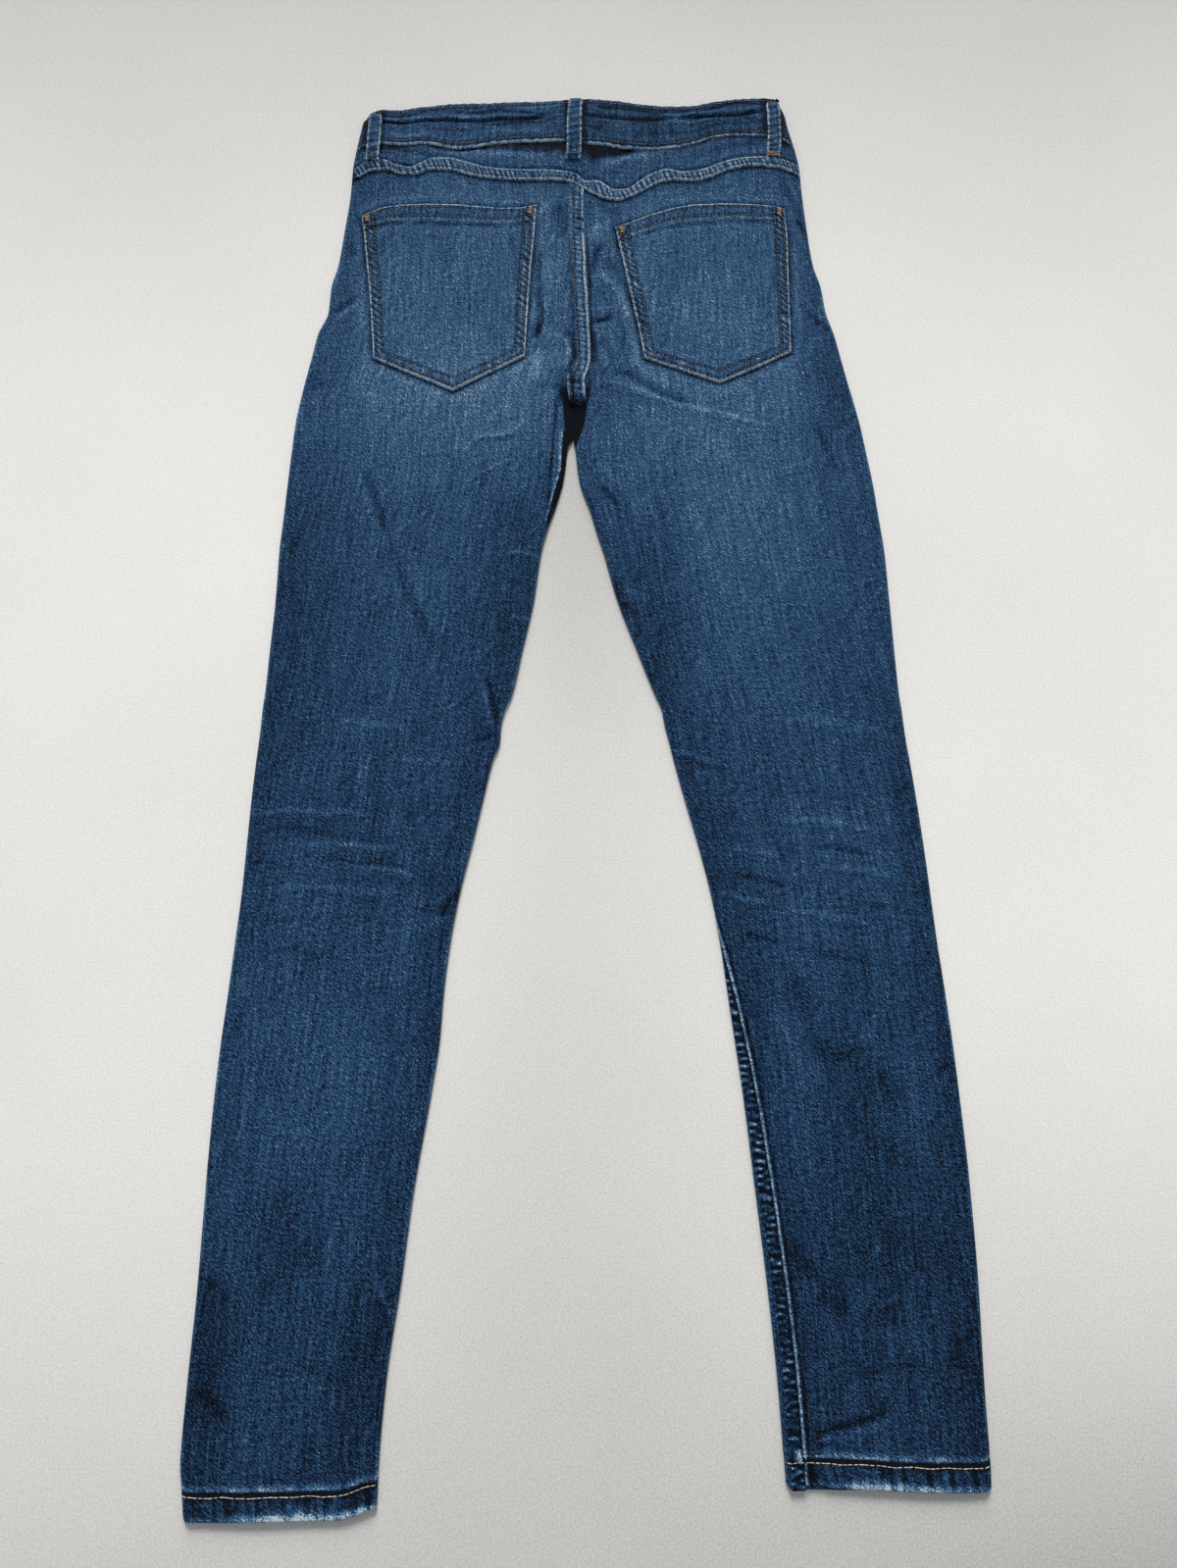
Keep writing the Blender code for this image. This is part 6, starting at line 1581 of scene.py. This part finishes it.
def build_front_loop(name, x_top, x_low, y_top, y_low):
    n_rows, v = 30, np.sin(np.linspace(-1, 1, 11) * np.pi / 2)
    t = np.linspace(0, 1, n_rows)
    x = (lerp(x_top, x_low, t) * MM)[:, None] + 0.5 * LOOP_WIDE * v[None, :]
    y = (lerp(y_top, y_low, t) * MM)[:, None] + 0 * x
    P = np.stack([x, y, 0.05 * MM + 0 * x], -1)
    n = np.zeros_like(P)
    n[..., 2] = -1
    rim = np.sqrt(np.clip(1 - np.clip((np.abs(v) - 0.86) / 0.14, 0, 1) ** 2, 0, 1))[None, :] + 0 * x
    wear = 0.35 * gauss((1 - np.abs(v[None, :])) / 0.16) + 0 * x
    tone = 0.42 + 0.05 * noise(t[:, None] * 12, v[None, :] * 2, 131) + 0 * x
    for at in (-0.55, 0.55):
        j = int(np.argmin(np.abs(v - at)))
        thread_row("tan_loops", P[2:-2, j], seed=133 + j, lift=0.22, length=2.6, gap=1.0, radius=0.28, jitter=0.05)
    return closed_strip(name + "_piece", P, n, LOOP_WALL - 0.1 * MM, rim, tone, wear, x, y)


front_loops = {row[0]: build_front_loop(*row) for row in FRONT_LOOPS_MM}


# ---------------------------------------------------------------- back pockets
def eased(points):
    """A polyline with its corners a little rounded, by its share along: u to (x, y) in metres."""
    p = np.asarray(points, float) * MM
    at = np.concatenate([[0], np.cumsum(np.linalg.norm(np.diff(p, axis=0), axis=1))])
    fine = np.linspace(0, 1, 400)
    q = np.stack([np.interp(fine, at / at[-1], p[:, k]) for k in range(2)], -1)
    for _ in range(12):
        q[1:-1] = 0.25 * q[:-2] + 0.5 * q[1:-1] + 0.25 * q[2:]
    return lambda t: np.stack([np.interp(t, fine, q[:, k]) for k in range(2)], -1)


def pocket_point(side, u, v):
    """A point of the pocket: u from its left to its right side, v from its mouth to its foot."""
    p = POCKETS_MM[side]
    mouth, foot, left, right = (eased(p[k]) for k in ("mouth", "foot", "left", "right"))
    U, V = u[..., None], v[..., None]
    corner = (1 - V) * ((1 - U) * mouth(0.0) + U * mouth(1.0)) + V * ((1 - U) * foot(0.0) + U * foot(1.0))
    q = (1 - V) * mouth(u) + V * foot(u) + (1 - U) * left(v) + U * right(v) - corner
    return q[..., 0], q[..., 1]


def uneven(n_edge, n_mid, share):
    """Stations from 0 to 1 that crowd at both ends."""
    a = np.linspace(0, 1, n_edge) ** 1.35 * share
    return np.concatenate([a, np.linspace(share, 1 - share, n_mid + 2)[1:-1], (1 - a)[::-1]])


def build_pocket(side):
    k = 0 if side == "left" else 50
    u, v = uneven(17, 62, 0.10), uneven(18, 74, 0.10)
    U, V = np.meshgrid(u, v)
    x, y = pocket_point(side, U, V)
    width, height = 0.118, 0.140
    d_side = np.minimum(U, 1 - U) * width * 1e3
    d_top, d_foot = V * height * 1e3, (1 - V) * height * 0.90 * 1e3
    d_low = np.minimum(d_side, d_foot)
    d = np.minimum(d_low, d_top)
    base, tone = top(side, x, y)
    base = lerp(base, base_top(side, x, y) + 0.3 * MM, 0.5)
    rim = np.sqrt(np.clip(1 - np.clip(1 - d / 0.6, 0, 1) ** 2, 0, 1))
    run = np.where((d_top <= d_side) | (d_foot <= d_side), x * 1e3, y * 1e3 + 40 * (U > 0.5))
    # the border between the two stitch rows is puckered on the sides, where the denim is cut along the thread
    sides = smooth(1.0, 4.0, d_foot - d_side)
    w = wave(run + np.where(U > 0.5, -0.9, 0.9) * d_side, 5.6, 141 + k)
    w2 = wave(x * 1e3 + 0.4 * d_top, 5.0, 143 + k)
    border = smooth(9.2, 7.4, d_low) * smooth(0.2, 1.4, d)
    foot = smooth(9.2, 7.4, d_foot) * smooth(0.2, 1.4, d)
    w3 = noise(x * 1e3 / 2.6, d_foot / 5, 153 + k)
    hem = smooth(13.4, 12.2, d_top) * smooth(0.2, 1.4, d)
    z = base + MM * (0.12 + 1.30 * rim + border * (0.35 + (0.18 + 0.44 * sides) * w) + hem * (0.60 + 0.16 * w2))
    z = z - MM * 0.34 * (gauss((d_low - 2.7) / 0.75) + gauss((d_low - 7.8) / 0.85)) * (d_top > 3)
    z = z - MM * 0.34 * (gauss((d_top - 2.8) / 0.75) + gauss((d_top - 9.8) / 0.8))
    z = z + MM * (0.5 * np.sin(np.pi * U) * np.sin(np.pi * V) + 0.16 * noise(x * 1e3 / 16, y * 1e3 / 18, 146))
    # painted shade: the grooves of the stitch rows, the mouth hem's grooves and the strip just below the mouth hem are
    # darkened in tone; the border's and the hem's tone follows their puckers, painted shade in the hollows and painted
    # highlight on the crests
    dark = gauss((d_low - 2.6) / 0.95) + gauss((d_low - 8.0) / 1.0)
    tone = tone - 0.03 + border * ((0.06 + 0.30 * sides) * w - 0.03) + foot * (0.16 * w3 + 0.03) + hem * (0.12 * w2 - 0.02)
    tone = tone - 0.62 * dark * (0.8 + 0.4 * noise(run / 3, d, 151)) * (d_top > 3)
    tone = tone - 0.36 * (gauss((d_top - 2.9) / 0.8) + gauss((d_top - 10.0) / 0.9))
    tone = tone - 0.30 * gauss((d_top - 15.6) / 1.6) * (0.7 + 0.5 * noise(x * 1e3 / 9, 0 * x, 147))
    tone = tone + 0.04 * gauss((d_low - 11.5) / 2.2) * (0.5 + 0.6 * noise(run / 6, 0 * x, 148)) + 0.05 * gauss((d_top - 19.0) / 2.5)
    tone = tone + 0.02 * noise(x * 1e3 / 5, y * 1e3 / 40, 149)
    wear = 1.25 * smooth(1.9, 1.1, d) * (0.88 + 0.24 * noise(run / 4.2, d / 2, 150 + k)) + 0.85 * gauss((d_top - 12.6) / 0.95) * (0.7 + 0.4 * noise(x * 1e3 / 6, 0 * x, 152))
    wear = wear + 0.30 * border * np.clip(w, 0, 1) * sides
    P = np.stack([x, y, z], -1)
    for q, key in ((2.7, 1), (7.9, 2)):
        for uu in (q / (width * 1e3), 1 - q / (width * 1e3)):
            vs = np.linspace(0.015, 1 - q / (height * 0.93e3), 140)
            thread_row("tan_pockets", surface_path(P, u, v, uu + 0 * vs, vs), radius=0.25, seed=150 + key + (7 if uu > 0.5 else 0) + k)
        us = np.linspace(q / (width * 1e3), 1 - q / (width * 1e3), 120)
        thread_row("tan_pockets", surface_path(P, u, v, us, 1 - q / (height * 0.9e3) + 0 * us), radius=0.25, seed=170 + key + k)
    for q in (2.9, 9.9):
        us = np.linspace(0.008, 0.992, 120)
        thread_row("tan_pockets", surface_path(P, u, v, us, q / (height * 1e3) + 0 * us), radius=0.26, seed=190 + int(q) + k)
    for uu in (0.035, 0.965):
        for j in range(4):
            vs = np.linspace(0.008, 0.062, 12)
            thread_row("orange_tacks", surface_path(P, u, v, uu + (j - 1.5) * 0.0055 + 0 * vs, vs), length=1.6, gap=0.1, radius=0.34, lift=0.25, jitter=0.3, seed=200 + j)
    return grid_object("pocket_piece_" + side, P, tone, wear, x, y, DENIM, up=True)


def surface_path(P, u, v, us, vs):
    """Points on a grid surface at (u, v)."""
    iu = np.clip(np.searchsorted(u, us) - 1, 0, len(u) - 2)
    iv = np.clip(np.searchsorted(v, vs) - 1, 0, len(v) - 2)
    fu = ((us - u[iu]) / (u[iu + 1] - u[iu]))[:, None]
    fv = ((vs - v[iv]) / (v[iv + 1] - v[iv]))[:, None]
    return lerp(lerp(P[iv, iu], P[iv, iu + 1], fu), lerp(P[iv + 1, iu], P[iv + 1, iu + 1], fu), fv)


pocket = {side: build_pocket(side) for side in ("left", "right")}


# ---------------------------------------------------------------- fronts, flat on the surface
def build_front(side):
    sign = 1.0 if side == "left" else -1.0
    out, inn = SECTION[side + "_out"], SECTION[side + "_in"]
    hem_y = -0.53 if side == "left" else -0.5115
    fine = side == "right"
    step = 0.0024 if fine else 0.005
    ks = np.linspace(0, 1, 8)
    c_rows = np.arange(0.44 - step, hem_y + 0.0205, -step)
    above = np.array([16.0, 14.5, 13.0, 11.0, 8.5, 6.0, 4.0, 2.0, 0.8, 0.2, 0.0]) * MM
    a = np.concatenate([1 - ks, 0 * c_rows, 0 * above])
    b = np.concatenate([0 * ks, 0 * c_rows, 0 * above + 1])
    c = np.concatenate([ks * 0.44, c_rows, above])
    yl = (a * 0.474 + b * hem_y + c)[:, None]
    # outer part, from the side seam inward
    s_out = np.array([-SEAM_IN - SEAM_GAP, -SEAM_IN - 2 * MM, -SEAM_IN - 6 * MM])
    d, _ = roll(s_out[None, :] + 0 * yl, fold_low(yl))
    x_out = out(yl) + sign * d
    # inner part
    n_in = 26 if fine else 6
    y = yl[:, 0]
    end = INSEAM[side](y) - seam_room(INSEAM[side](y))
    s_in = lerp(-17 * MM, end[:, None], np.linspace(0, 1, n_in)[None, :])
    low = fold_low(yl)
    d, turn = roll(s_in, low)
    x_leg = inn(yl) - sign * d
    full, tone_leg = top(side, x_leg, yl + 0 * x_leg)
    z_leg = raise_to(low, full, turn)
    parted = smooth(SPLIT_Y + 0.005, SPLIT_Y - 0.004, y)
    s_back = np.where(y < SPLIT_Y - 0.004, np.minimum(0.0, split_end(side, y)), -0.8 * MM)
    d_back, _ = roll(s_back, fold_low(y))
    d_edge = d_back + SEAM_GAP + 1.2 * MM
    edge = lerp(FLY_X(y) - sign * SEAM_GAP / 2, inn(y) - sign * d_edge, parted)
    x_flat = edge[:, None] - sign * np.linspace(16 * MM, 0, n_in)[None, :]
    high = (y > SPLIT_Y - 0.036)[:, None]
    x_in, z_in = np.where(high, x_flat, x_leg), np.where(high, 0.0, z_leg)
    k = np.linspace(0, 1, 34)[1:-1]
    x_mid = lerp(x_out[:, -1:], x_in[:, :1], k[None, :])
    x = np.concatenate([x_out, x_mid, x_in], 1)
    z = np.concatenate([0 * x_out, 0 * x_mid, z_in], 1)
    longer = 0.0026 * smooth(0.1290, 0.1315, x) * smooth(0.20, 0.16, x) if side == "right" else 0.0
    yy = a[:, None] * (front_band_edges(x)[1] - 0.0005) + b[:, None] * (hem_line(side, x) - longer) + c[:, None]
    lifted = np.concatenate([0 * x_out, 0 * x_mid, s_in + 0 * x_in], 1) > -4 * MM
    z = z + front_rise(x, yy) * (yy > 0.3) + np.where(np.concatenate([0 * x_out, 0 * x_mid, turn], 1) > -0.99, 0.0, 0.05 * MM)
    P = np.stack([x, yy, z], -1)
    tone = np.full(x.shape, 0.34) + 0.03 * noise(x * 1e3 / 25, yy * 1e3 / 35, 211) + 0.03 * np.exp(-(((yy + 0.09) / 0.07) ** 2)) * noise(x * 1e3 / 30, yy * 1e3 / 7, 212)
    wear = 0 * x
    if fine:
        d_end = np.concatenate([1e3 + 0 * x_out, 1e3 + 0 * x_mid, (end[:, None] - s_in) * 1e3], 1)
        from_fold = np.concatenate([-1 + 0 * x_out, -1 + 0 * x_mid, s_in * 1e3], 1)
        on = smooth(-0.125, -0.17, yy) * (from_fold > -2)
        strip = smooth(8.6, 7.2, d_end) * smooth(-0.2, 0.8, d_end) * smooth(0.0, 2.0, from_fold) * on
        s = yy * 1e3 - 0.30 * d_end
        w = np.clip(1.35 * wave(s, 5.7, 213), -1.0, 1.0)
        P[..., 2] += MM * strip * (0.15 + 0.55 * w) - MM * 0.35 * gauss((d_end - 0.3) / 1.0) * on
        tone = np.where(from_fold > -2, lerp(tone, FADE[side](yy) - 0.03, on), tone)
        # painted shade: the dark line at the edge of the inside leg seam, and the ladder of puckers beside it darker
        # in its hollows and paler on its crests
        tone = tone + strip * (0.52 * w - 0.20) - 0.35 * gauss((d_end - 0.2) / 0.9) * on
        tone = tone - 0.03 * smooth(2.5, 0.5, from_fold) * on
        wear = wear + 0.35 * smooth(3.2, 1.0, from_fold) * smooth(-3.0, -0.5, from_fold) * on
        wear = wear + strip * np.clip(w, 0, 1) ** 2 * 0.95 * (0.7 + 0.5 * noise(s / 2.5, d_end / 2, 214))
    # turned hem, and the pocket's mouth
    n = normals(P)
    if n[40, 20, 2] > 0:
        n = -n
    last, r = P.shape[0] - 1, 0.75 * MM
    turn_rows = [P[last] + np.array([0, -1.0, 0]) * 0.6 * r * math.sin(f) - n[last] * r * (1 - math.cos(f)) for f in (0.6, 1.2, 1.9, 2.6)]
    idx = [last - 3, last - 5, last - 7, last - 9]
    P = np.concatenate([P, np.stack(turn_rows + [P[i] - n[i] * 2 * r for i in idx])])
    grow = lambda q: np.concatenate([q, np.repeat(q[last : last + 1], 4, 0), q[idx]])
    tone, wear, x2, y2 = grow(tone), grow(wear + 0.25 * gauss((yy - hem_line(side, x)) / 0.0015)), grow(x), grow(yy)
    cx, cy = float(out(0.47)) + sign * 0.012, 0.486
    e = np.hypot((P[..., 0] - cx) / MOUTH_WIDE, (P[..., 1] - cy) / MOUTH_DEEP)
    inside = (e < 1) & (P[..., 1] > 0.40)
    keep = ~(inside[:-1, :-1] & inside[1:, :-1] & inside[:-1, 1:] & inside[1:, 1:])
    P[..., 0] = np.where(inside, cx + (P[..., 0] - cx) / np.maximum(e, 0.2), P[..., 0])
    P[..., 1] = np.where(inside, np.minimum(cy + (P[..., 1] - cy) / np.maximum(e, 0.2), 0.4735), P[..., 1])
    obj = grid_object("front_" + side, P, tone, wear, x2 - leg_middle(side, y2), y2, DENIM, up=False, keep=keep)
    return obj


front = {side: build_front(side) for side in ("left", "right")}


def build_facing(side):
    sign = 1.0 if side == "left" else -1.0
    t = np.linspace(0, 1, 46)
    q = np.linspace(0, 1, 30)
    T, Q = np.meshgrid(t, q)
    y0 = lerp(0.4735, 0.388, Q)
    d = lerp(9.0, 101.0, T) * MM
    x = SECTION[side + "_out"](y0) + sign * d
    y = lerp(np.minimum(y0, front_band_edges(x)[1] - 0.0012), y0, smooth(0.0, 0.15, Q))
    level = smooth(9 * MM, 22 * MM, d)
    inside = smooth(0.4195, 0.4215, y)
    z = (CLOTH * 0.6 + SEAM_GAP) * lerp(1.0, level, inside) + front_rise(x, y) + 0.15 * MM
    # clear of the panel outside the mouth
    cx, cy = float(SECTION[side + "_out"](0.47)) + sign * 0.012, 0.486
    e = np.hypot((x - cx) / MOUTH_WIDE, (y - cy) / MOUTH_DEEP)
    z = lerp(0.25 * MM + front_rise(x, y), 0.9 * MM + front_rise(x, y), smooth(0.90, 1.0, e))
    tone = 0.36 + 0.03 * noise(x * 1e3 / 12, y * 1e3 / 15, 221)
    return grid_object("facing_" + side, np.stack([x, y, z], -1), tone, 0 * x, x, y, DENIM, up=False)


facing = {side: build_facing(side) for side in ("left", "right")}


def build_fly():
    q, t = np.meshgrid(np.linspace(0, 1, 44), np.linspace(0, 1, 14), indexing="ij")
    y = lerp(0.458, 0.331, q)
    x = lerp(-0.022, 0.011, t)
    z = CLOTH + 2 * SEAM_GAP + ZIP_WALL + 0.2 * MM + front_rise(x, y) + 0.10 * MM * noise(x * 1e3 / 9, y * 1e3 / 14, 225)
    shield = grid_object("fly_shield_piece", np.stack([x, y, z], -1), 0.34 + 0 * x, 0 * x, x, y, DENIM, up=False)
    y = lerp(0.462, 0.335, q)
    x = lerp(-0.012, 0.012, t)
    z = CLOTH + SEAM_GAP + 0.1 * MM + front_rise(x, y)
    tape = grid_object("zip_tapes", np.stack([x, y, z], -1), 0.2 + 0 * x, 0 * x, x, y, TAPE, up=False)
    # closed teeth down the middle of the tapes
    verts, faces = [], []
    for i, ty in enumerate(np.arange(0.3385, 0.4575, 0.00125)):
        cx = 0.0007 * (1 if i % 2 else -1)
        cz = float(CLOTH + SEAM_GAP + 0.05 * MM + front_rise(np.array(0.0), np.array(ty)))
        base = len(verts)
        for dz in (-0.55, 0.55):
            for dx, dy in ((-1.6, -0.4), (1.6, -0.4), (1.6, 0.4), (-1.6, 0.4)):
                verts.append((cx + dx * MM, ty + dy * MM, cz + dz * MM))
        faces += [tuple(base + k for k in f) for f in ((0, 3, 2, 1), (4, 5, 6, 7), (0, 1, 5, 4), (1, 2, 6, 5), (2, 3, 7, 6), (3, 0, 4, 7))]
    verts = np.array(verts)
    teeth = mesh_object("zip_teeth", verts, np.array(faces), 0 * verts[:, 0], 0 * verts[:, 0], verts, METAL, smooth_shade=False)
    return shield, tape, teeth


shield, tape, teeth = build_fly()


def build_button():
    """The shank button: a domed head with a rolled rim, under the band, and its shank."""
    profile = [(0.0, 0.35), (3.5, 0.25), (5.6, 0.45), (6.4, 0.25), (7.4, 0.02), (8.1, 0.25), (8.5, 0.9), (8.3, 1.7), (7.2, 2.25), (3.0, 2.3), (2.4, 2.7), (2.3, 5.6), (2.4, 6.4), (0.0, 6.45)]
    around = 48
    a = np.arange(around) * 2 * np.pi / around
    verts = np.array([(BUTTON_X + r * MM * math.cos(t), BUTTON_Y + r * MM * math.sin(t), z * MM) for r, z in profile for t in a])
    faces = []
    for i in range(len(profile) - 1):
        for j in range(around):
            k = (j + 1) % around
            faces.append((i * around + j, (i + 1) * around + j, (i + 1) * around + k, i * around + k))
    return mesh_object("button_piece", verts, np.array(faces), 0 * verts[:, 0], 0 * verts[:, 0], verts, METAL)


button = build_button()


# ---------------------------------------------------------------- stitch rows on the panels
def along_back(side, xs_mm, y_fn, surface, group, seed, **kw):
    x = np.asarray(xs_mm, float) * MM
    y = y_fn(x)
    z, _ = surface(side, x, y)
    thread_row(group, np.stack([x, y, z], -1), seed=seed, **kw)


for side, x0, x1 in (("left", -188, -15), ("right", 1, 171)):
    xs = np.arange(x0, x1, 0.8)
    along_back(side, xs, lambda x: YOKE_LOW(x) + 0.0022, yoke_surface, "tan_yoke", 231 + x1)
    along_back(side, xs, lambda x: YOKE_UP(x) - 0.0020, yoke_surface, "tan_yoke", 232 + x1)
for side, x0, x1 in (("left", -256, -133), ("right", 129.5, 259)):
    xs = np.arange(x0, x1, 0.8)
    along_back(side, xs, lambda x: hem_line(side, x) + 0.0134 + 0.00045 * noise(x / 0.011, 0 * x, 75), top, "golden_hems", 241 + x1, lift=0.35, radius=0.29, length=3.4, gap=0.03)

threads = thread_objects(MATS)

# ---------------------------------------------------------------- each piece attached and its part hidden, with its cut's area against the mesh's
CUTS = {}  # node: (piece, slot, flat width, flat length, share of that rectangle, rests on); nothing below fills it


def declare(obj, nodes, slot, flat, area, rests, extra=()):
    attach(obj, "root")
    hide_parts(*nodes)
    more = {} if area is None else {"area": area}


def sheet_area(obj, layers=1.0):
    """A mesh's own area, to compare with the cut."""
    co = np.zeros(len(obj.data.vertices) * 3)
    obj.data.vertices.foreach_get("co", co)
    co = co.reshape(-1, 3)
    total = 0.0
    obj.data.calc_loop_triangles()
    tri = np.zeros(len(obj.data.loop_triangles) * 3, np.int32)
    obj.data.loop_triangles.foreach_get("vertices", tri)
    tri = co[tri.reshape(-1, 3)]
    return float(np.linalg.norm(np.cross(tri[:, 1] - tri[:, 0], tri[:, 2] - tri[:, 0]), axis=1).sum() / 2 / layers)


# The cuts' flat areas come from the pattern's tables, never from the meshes, so that they can be compared with them.
UNDER_BAND = 2.2 * MM  # how far a yoke goes in under the waistband
TURN = 2.75 * MM  # each panel's share of a leg's side, at each long edge: half the 5.5 mm that a leg lies high in the CAD


def between(lo, hi, width, n=600):
    t = np.linspace(lo, hi, n)
    w = width(t)
    return float(((w[1:] + w[:-1]) / 2 * np.diff(t)).sum())


def leg_width(side):
    return lambda y: np.abs(SECTION[side + "_out"](y) - SECTION[side + "_in"](y)) + 2 * TURN


def side_span(side):
    """The back's reach from its side seam to the seat seam, at the yoke."""
    ends = sorted((float(SECTION[side + "_out"](0.47)), float(SECTION[side + "_in"](0.47))))
    return ends[0], ends[1]


def outline_area(rows_mm):
    q = np.array(rows_mm, float) * MM
    return float(abs((q[:, 0] * np.roll(q[:, 1], -1) - q[:, 1] * np.roll(q[:, 0], -1)).sum()) / 2)


cuts, areas = {}, {}
for side in ("left", "right"):
    long = 1.02 if side == "left" else 0.99
    x0, x1 = side_span(side)
    xs = np.linspace(x0, x1, 200)
    foot = float(hem_line(side, 0.5 * (SECTION[side + "_out"](-0.5) + SECTION[side + "_in"](-0.5))))
    p = POCKETS_MM[side]
    band_deep = float((SEAM["band_top"](xs) - SEAM["band_bottom"](xs)).mean())
    band_long = 0.392 if side == "left" else 0.410
    cuts["back_" + side] = between(foot, float(YOKE_LOW(xs).mean()), leg_width(side))
    cuts["front_" + side] = between(foot, float(front_band_edges(xs)[1].mean()), leg_width(side)) - math.pi / 4 * MOUTH_WIDE * MOUTH_DEEP
    side_x = x0 if side == "left" else x1
    side_deep = float(SEAM["band_bottom"](side_x) - YOKE_LOW(side_x))
    cuts["yoke_" + side] = between(x0, x1, lambda x: SEAM["band_bottom"](x) + UNDER_BAND - YOKE_LOW(x)) + TURN * side_deep
    cuts["pocket_" + side] = outline_area(p["mouth"] + p["right"][1:] + p["foot"][::-1][1:] + p["left"][::-1][1:-1])
    declare(back[side], ["back_panel_" + side], "denim", (0.262, long), cuts["back_" + side], ["front_" + side])
    declare(front[side], ["front_panel_" + side], "denim", (0.245, long - 0.015), cuts["front_" + side], ["floor"])
    declare(yoke[side], ["yoke_" + side], "denim", (0.200, 0.052), cuts["yoke_" + side], ["facing_" + side])
    declare(pocket[side], ["back_pocket_" + side], "denim_pocket", (0.146, 0.172), cuts["pocket_" + side], ["back_" + side])
    cuts["waistband_" + side] = band_deep * band_long
    declare(band[side], ["waistband_" + side], "denim_trim", (band_deep, band_long), None, ["front_" + side])
    cuts["facing_" + side] = 0.093 * 0.087
    declare(facing[side], ["pocket_facing_" + side], "denim", (0.093, 0.087), None, ["front_" + side])
    for key, obj, layers in (("back_", back, 1), ("front_", front, 1), ("yoke_", yoke, 1), ("pocket_", pocket, 1), ("waistband_", band, 2), ("facing_", facing, 1)):
        areas[key + side] = sheet_area(obj[side], layers)
loop_long = {row[0]: (row[3] - row[4]) * MM for row in BACK_LOOPS_MM + FRONT_LOOPS_MM}
for name, obj in list(back_loops.items()) + list(front_loops.items()):
    under = {"belt_loop_back_left": "waistband_piece_left", "belt_loop_front_left": "floor", "belt_loop_front_right": "floor"}
    cuts[name], areas[name] = 0.0125 * loop_long[name], sheet_area(obj, 2)
    declare(obj, [name], "denim_trim", (0.0125, loop_long[name]), None, [under.get(name, "waistband_piece_right")])
cuts["shield"], areas["shield"] = 0.034 * 0.128, sheet_area(shield)
declare(shield, ["fly_shield"], "denim_trim", (0.034, 0.128), None, ["zip_tapes"])
cuts["tape"], areas["tape"] = 0.024 * 0.128, sheet_area(tape)
declare(tape, ["zip"], "zip_tape", (0.024, 0.128), None, ["front_left", "front_right"], [teeth])
cuts["seat_band"], areas["seat_band"] = 0.0125 * 0.206, sheet_area(seat_band)
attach(seat_band, "root")
for name, cut in cuts.items():
    print("cut %-24s %.5f  mesh %.5f  share %.3f" % (name, cut, areas[name], areas[name] / cut))
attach(teeth, "root")
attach(button, "root")
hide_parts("button")
for obj in threads.values():
    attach(obj, "root")

# ---------------------------------------------------------------- floor, light, camera
mesh = bpy.data.meshes.new("floor")
mesh.from_pydata([(-3, -3, -0.00012), (3, -3, -0.00012), (3, 3, -0.00012), (-3, 3, -0.00012)], [], [(0, 1, 2, 3)])
mesh.materials.append(floor_material())
floor = bpy.data.objects.new("floor", mesh)
bpy.context.scene.collection.objects.link(floor)
floor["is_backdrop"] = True

world = bpy.data.worlds.new("room")
world.use_nodes = True
world.node_tree.nodes["Background"].inputs["Color"].default_value = (0.90, 0.95, 1.0, 1.0)
world.node_tree.nodes["Background"].inputs["Strength"].default_value = 0.40
bpy.context.scene.world = world


sun = bpy.data.lights.new("window", "SUN")
sun.energy, sun.angle, sun.color = 2.25, math.radians(18), (1.0, 0.985, 0.95)
window = bpy.data.objects.new("window", sun)
bpy.context.scene.collection.objects.link(window)
window.rotation_euler = (math.radians(-53), math.radians(-9), 0.0)

sun = bpy.data.lights.new("low_window", "SUN")
sun.energy, sun.angle, sun.color = 1.35, math.radians(26), (1.0, 0.985, 0.95)
low_window = bpy.data.objects.new("low_window", sun)
bpy.context.scene.collection.objects.link(low_window)
low_window.rotation_euler = (math.radians(-70), math.radians(-4), 0.0)

cam = bpy.data.cameras.new("camera")
cam.sensor_width, cam.sensor_fit, cam.lens = 36.0, "AUTO", 27.017
cam.clip_start = 0.05
camera = bpy.data.objects.new("camera", cam)
camera.location = (0.00232, -0.24190, 0.835)
camera.rotation_euler = (math.radians(13.0), 0.0, 0.0)
bpy.context.scene.collection.objects.link(camera)
bpy.context.scene.camera = camera
bpy.context.scene.view_settings.view_transform = "Standard"
bpy.context.scene.view_settings.look = "None"

triangles = {n: sum(len(p.vertices) - 2 for p in o.data.polygons) for n, o in PIECES.items()}
print("triangles", triangles, sum(triangles.values()))

end_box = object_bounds()
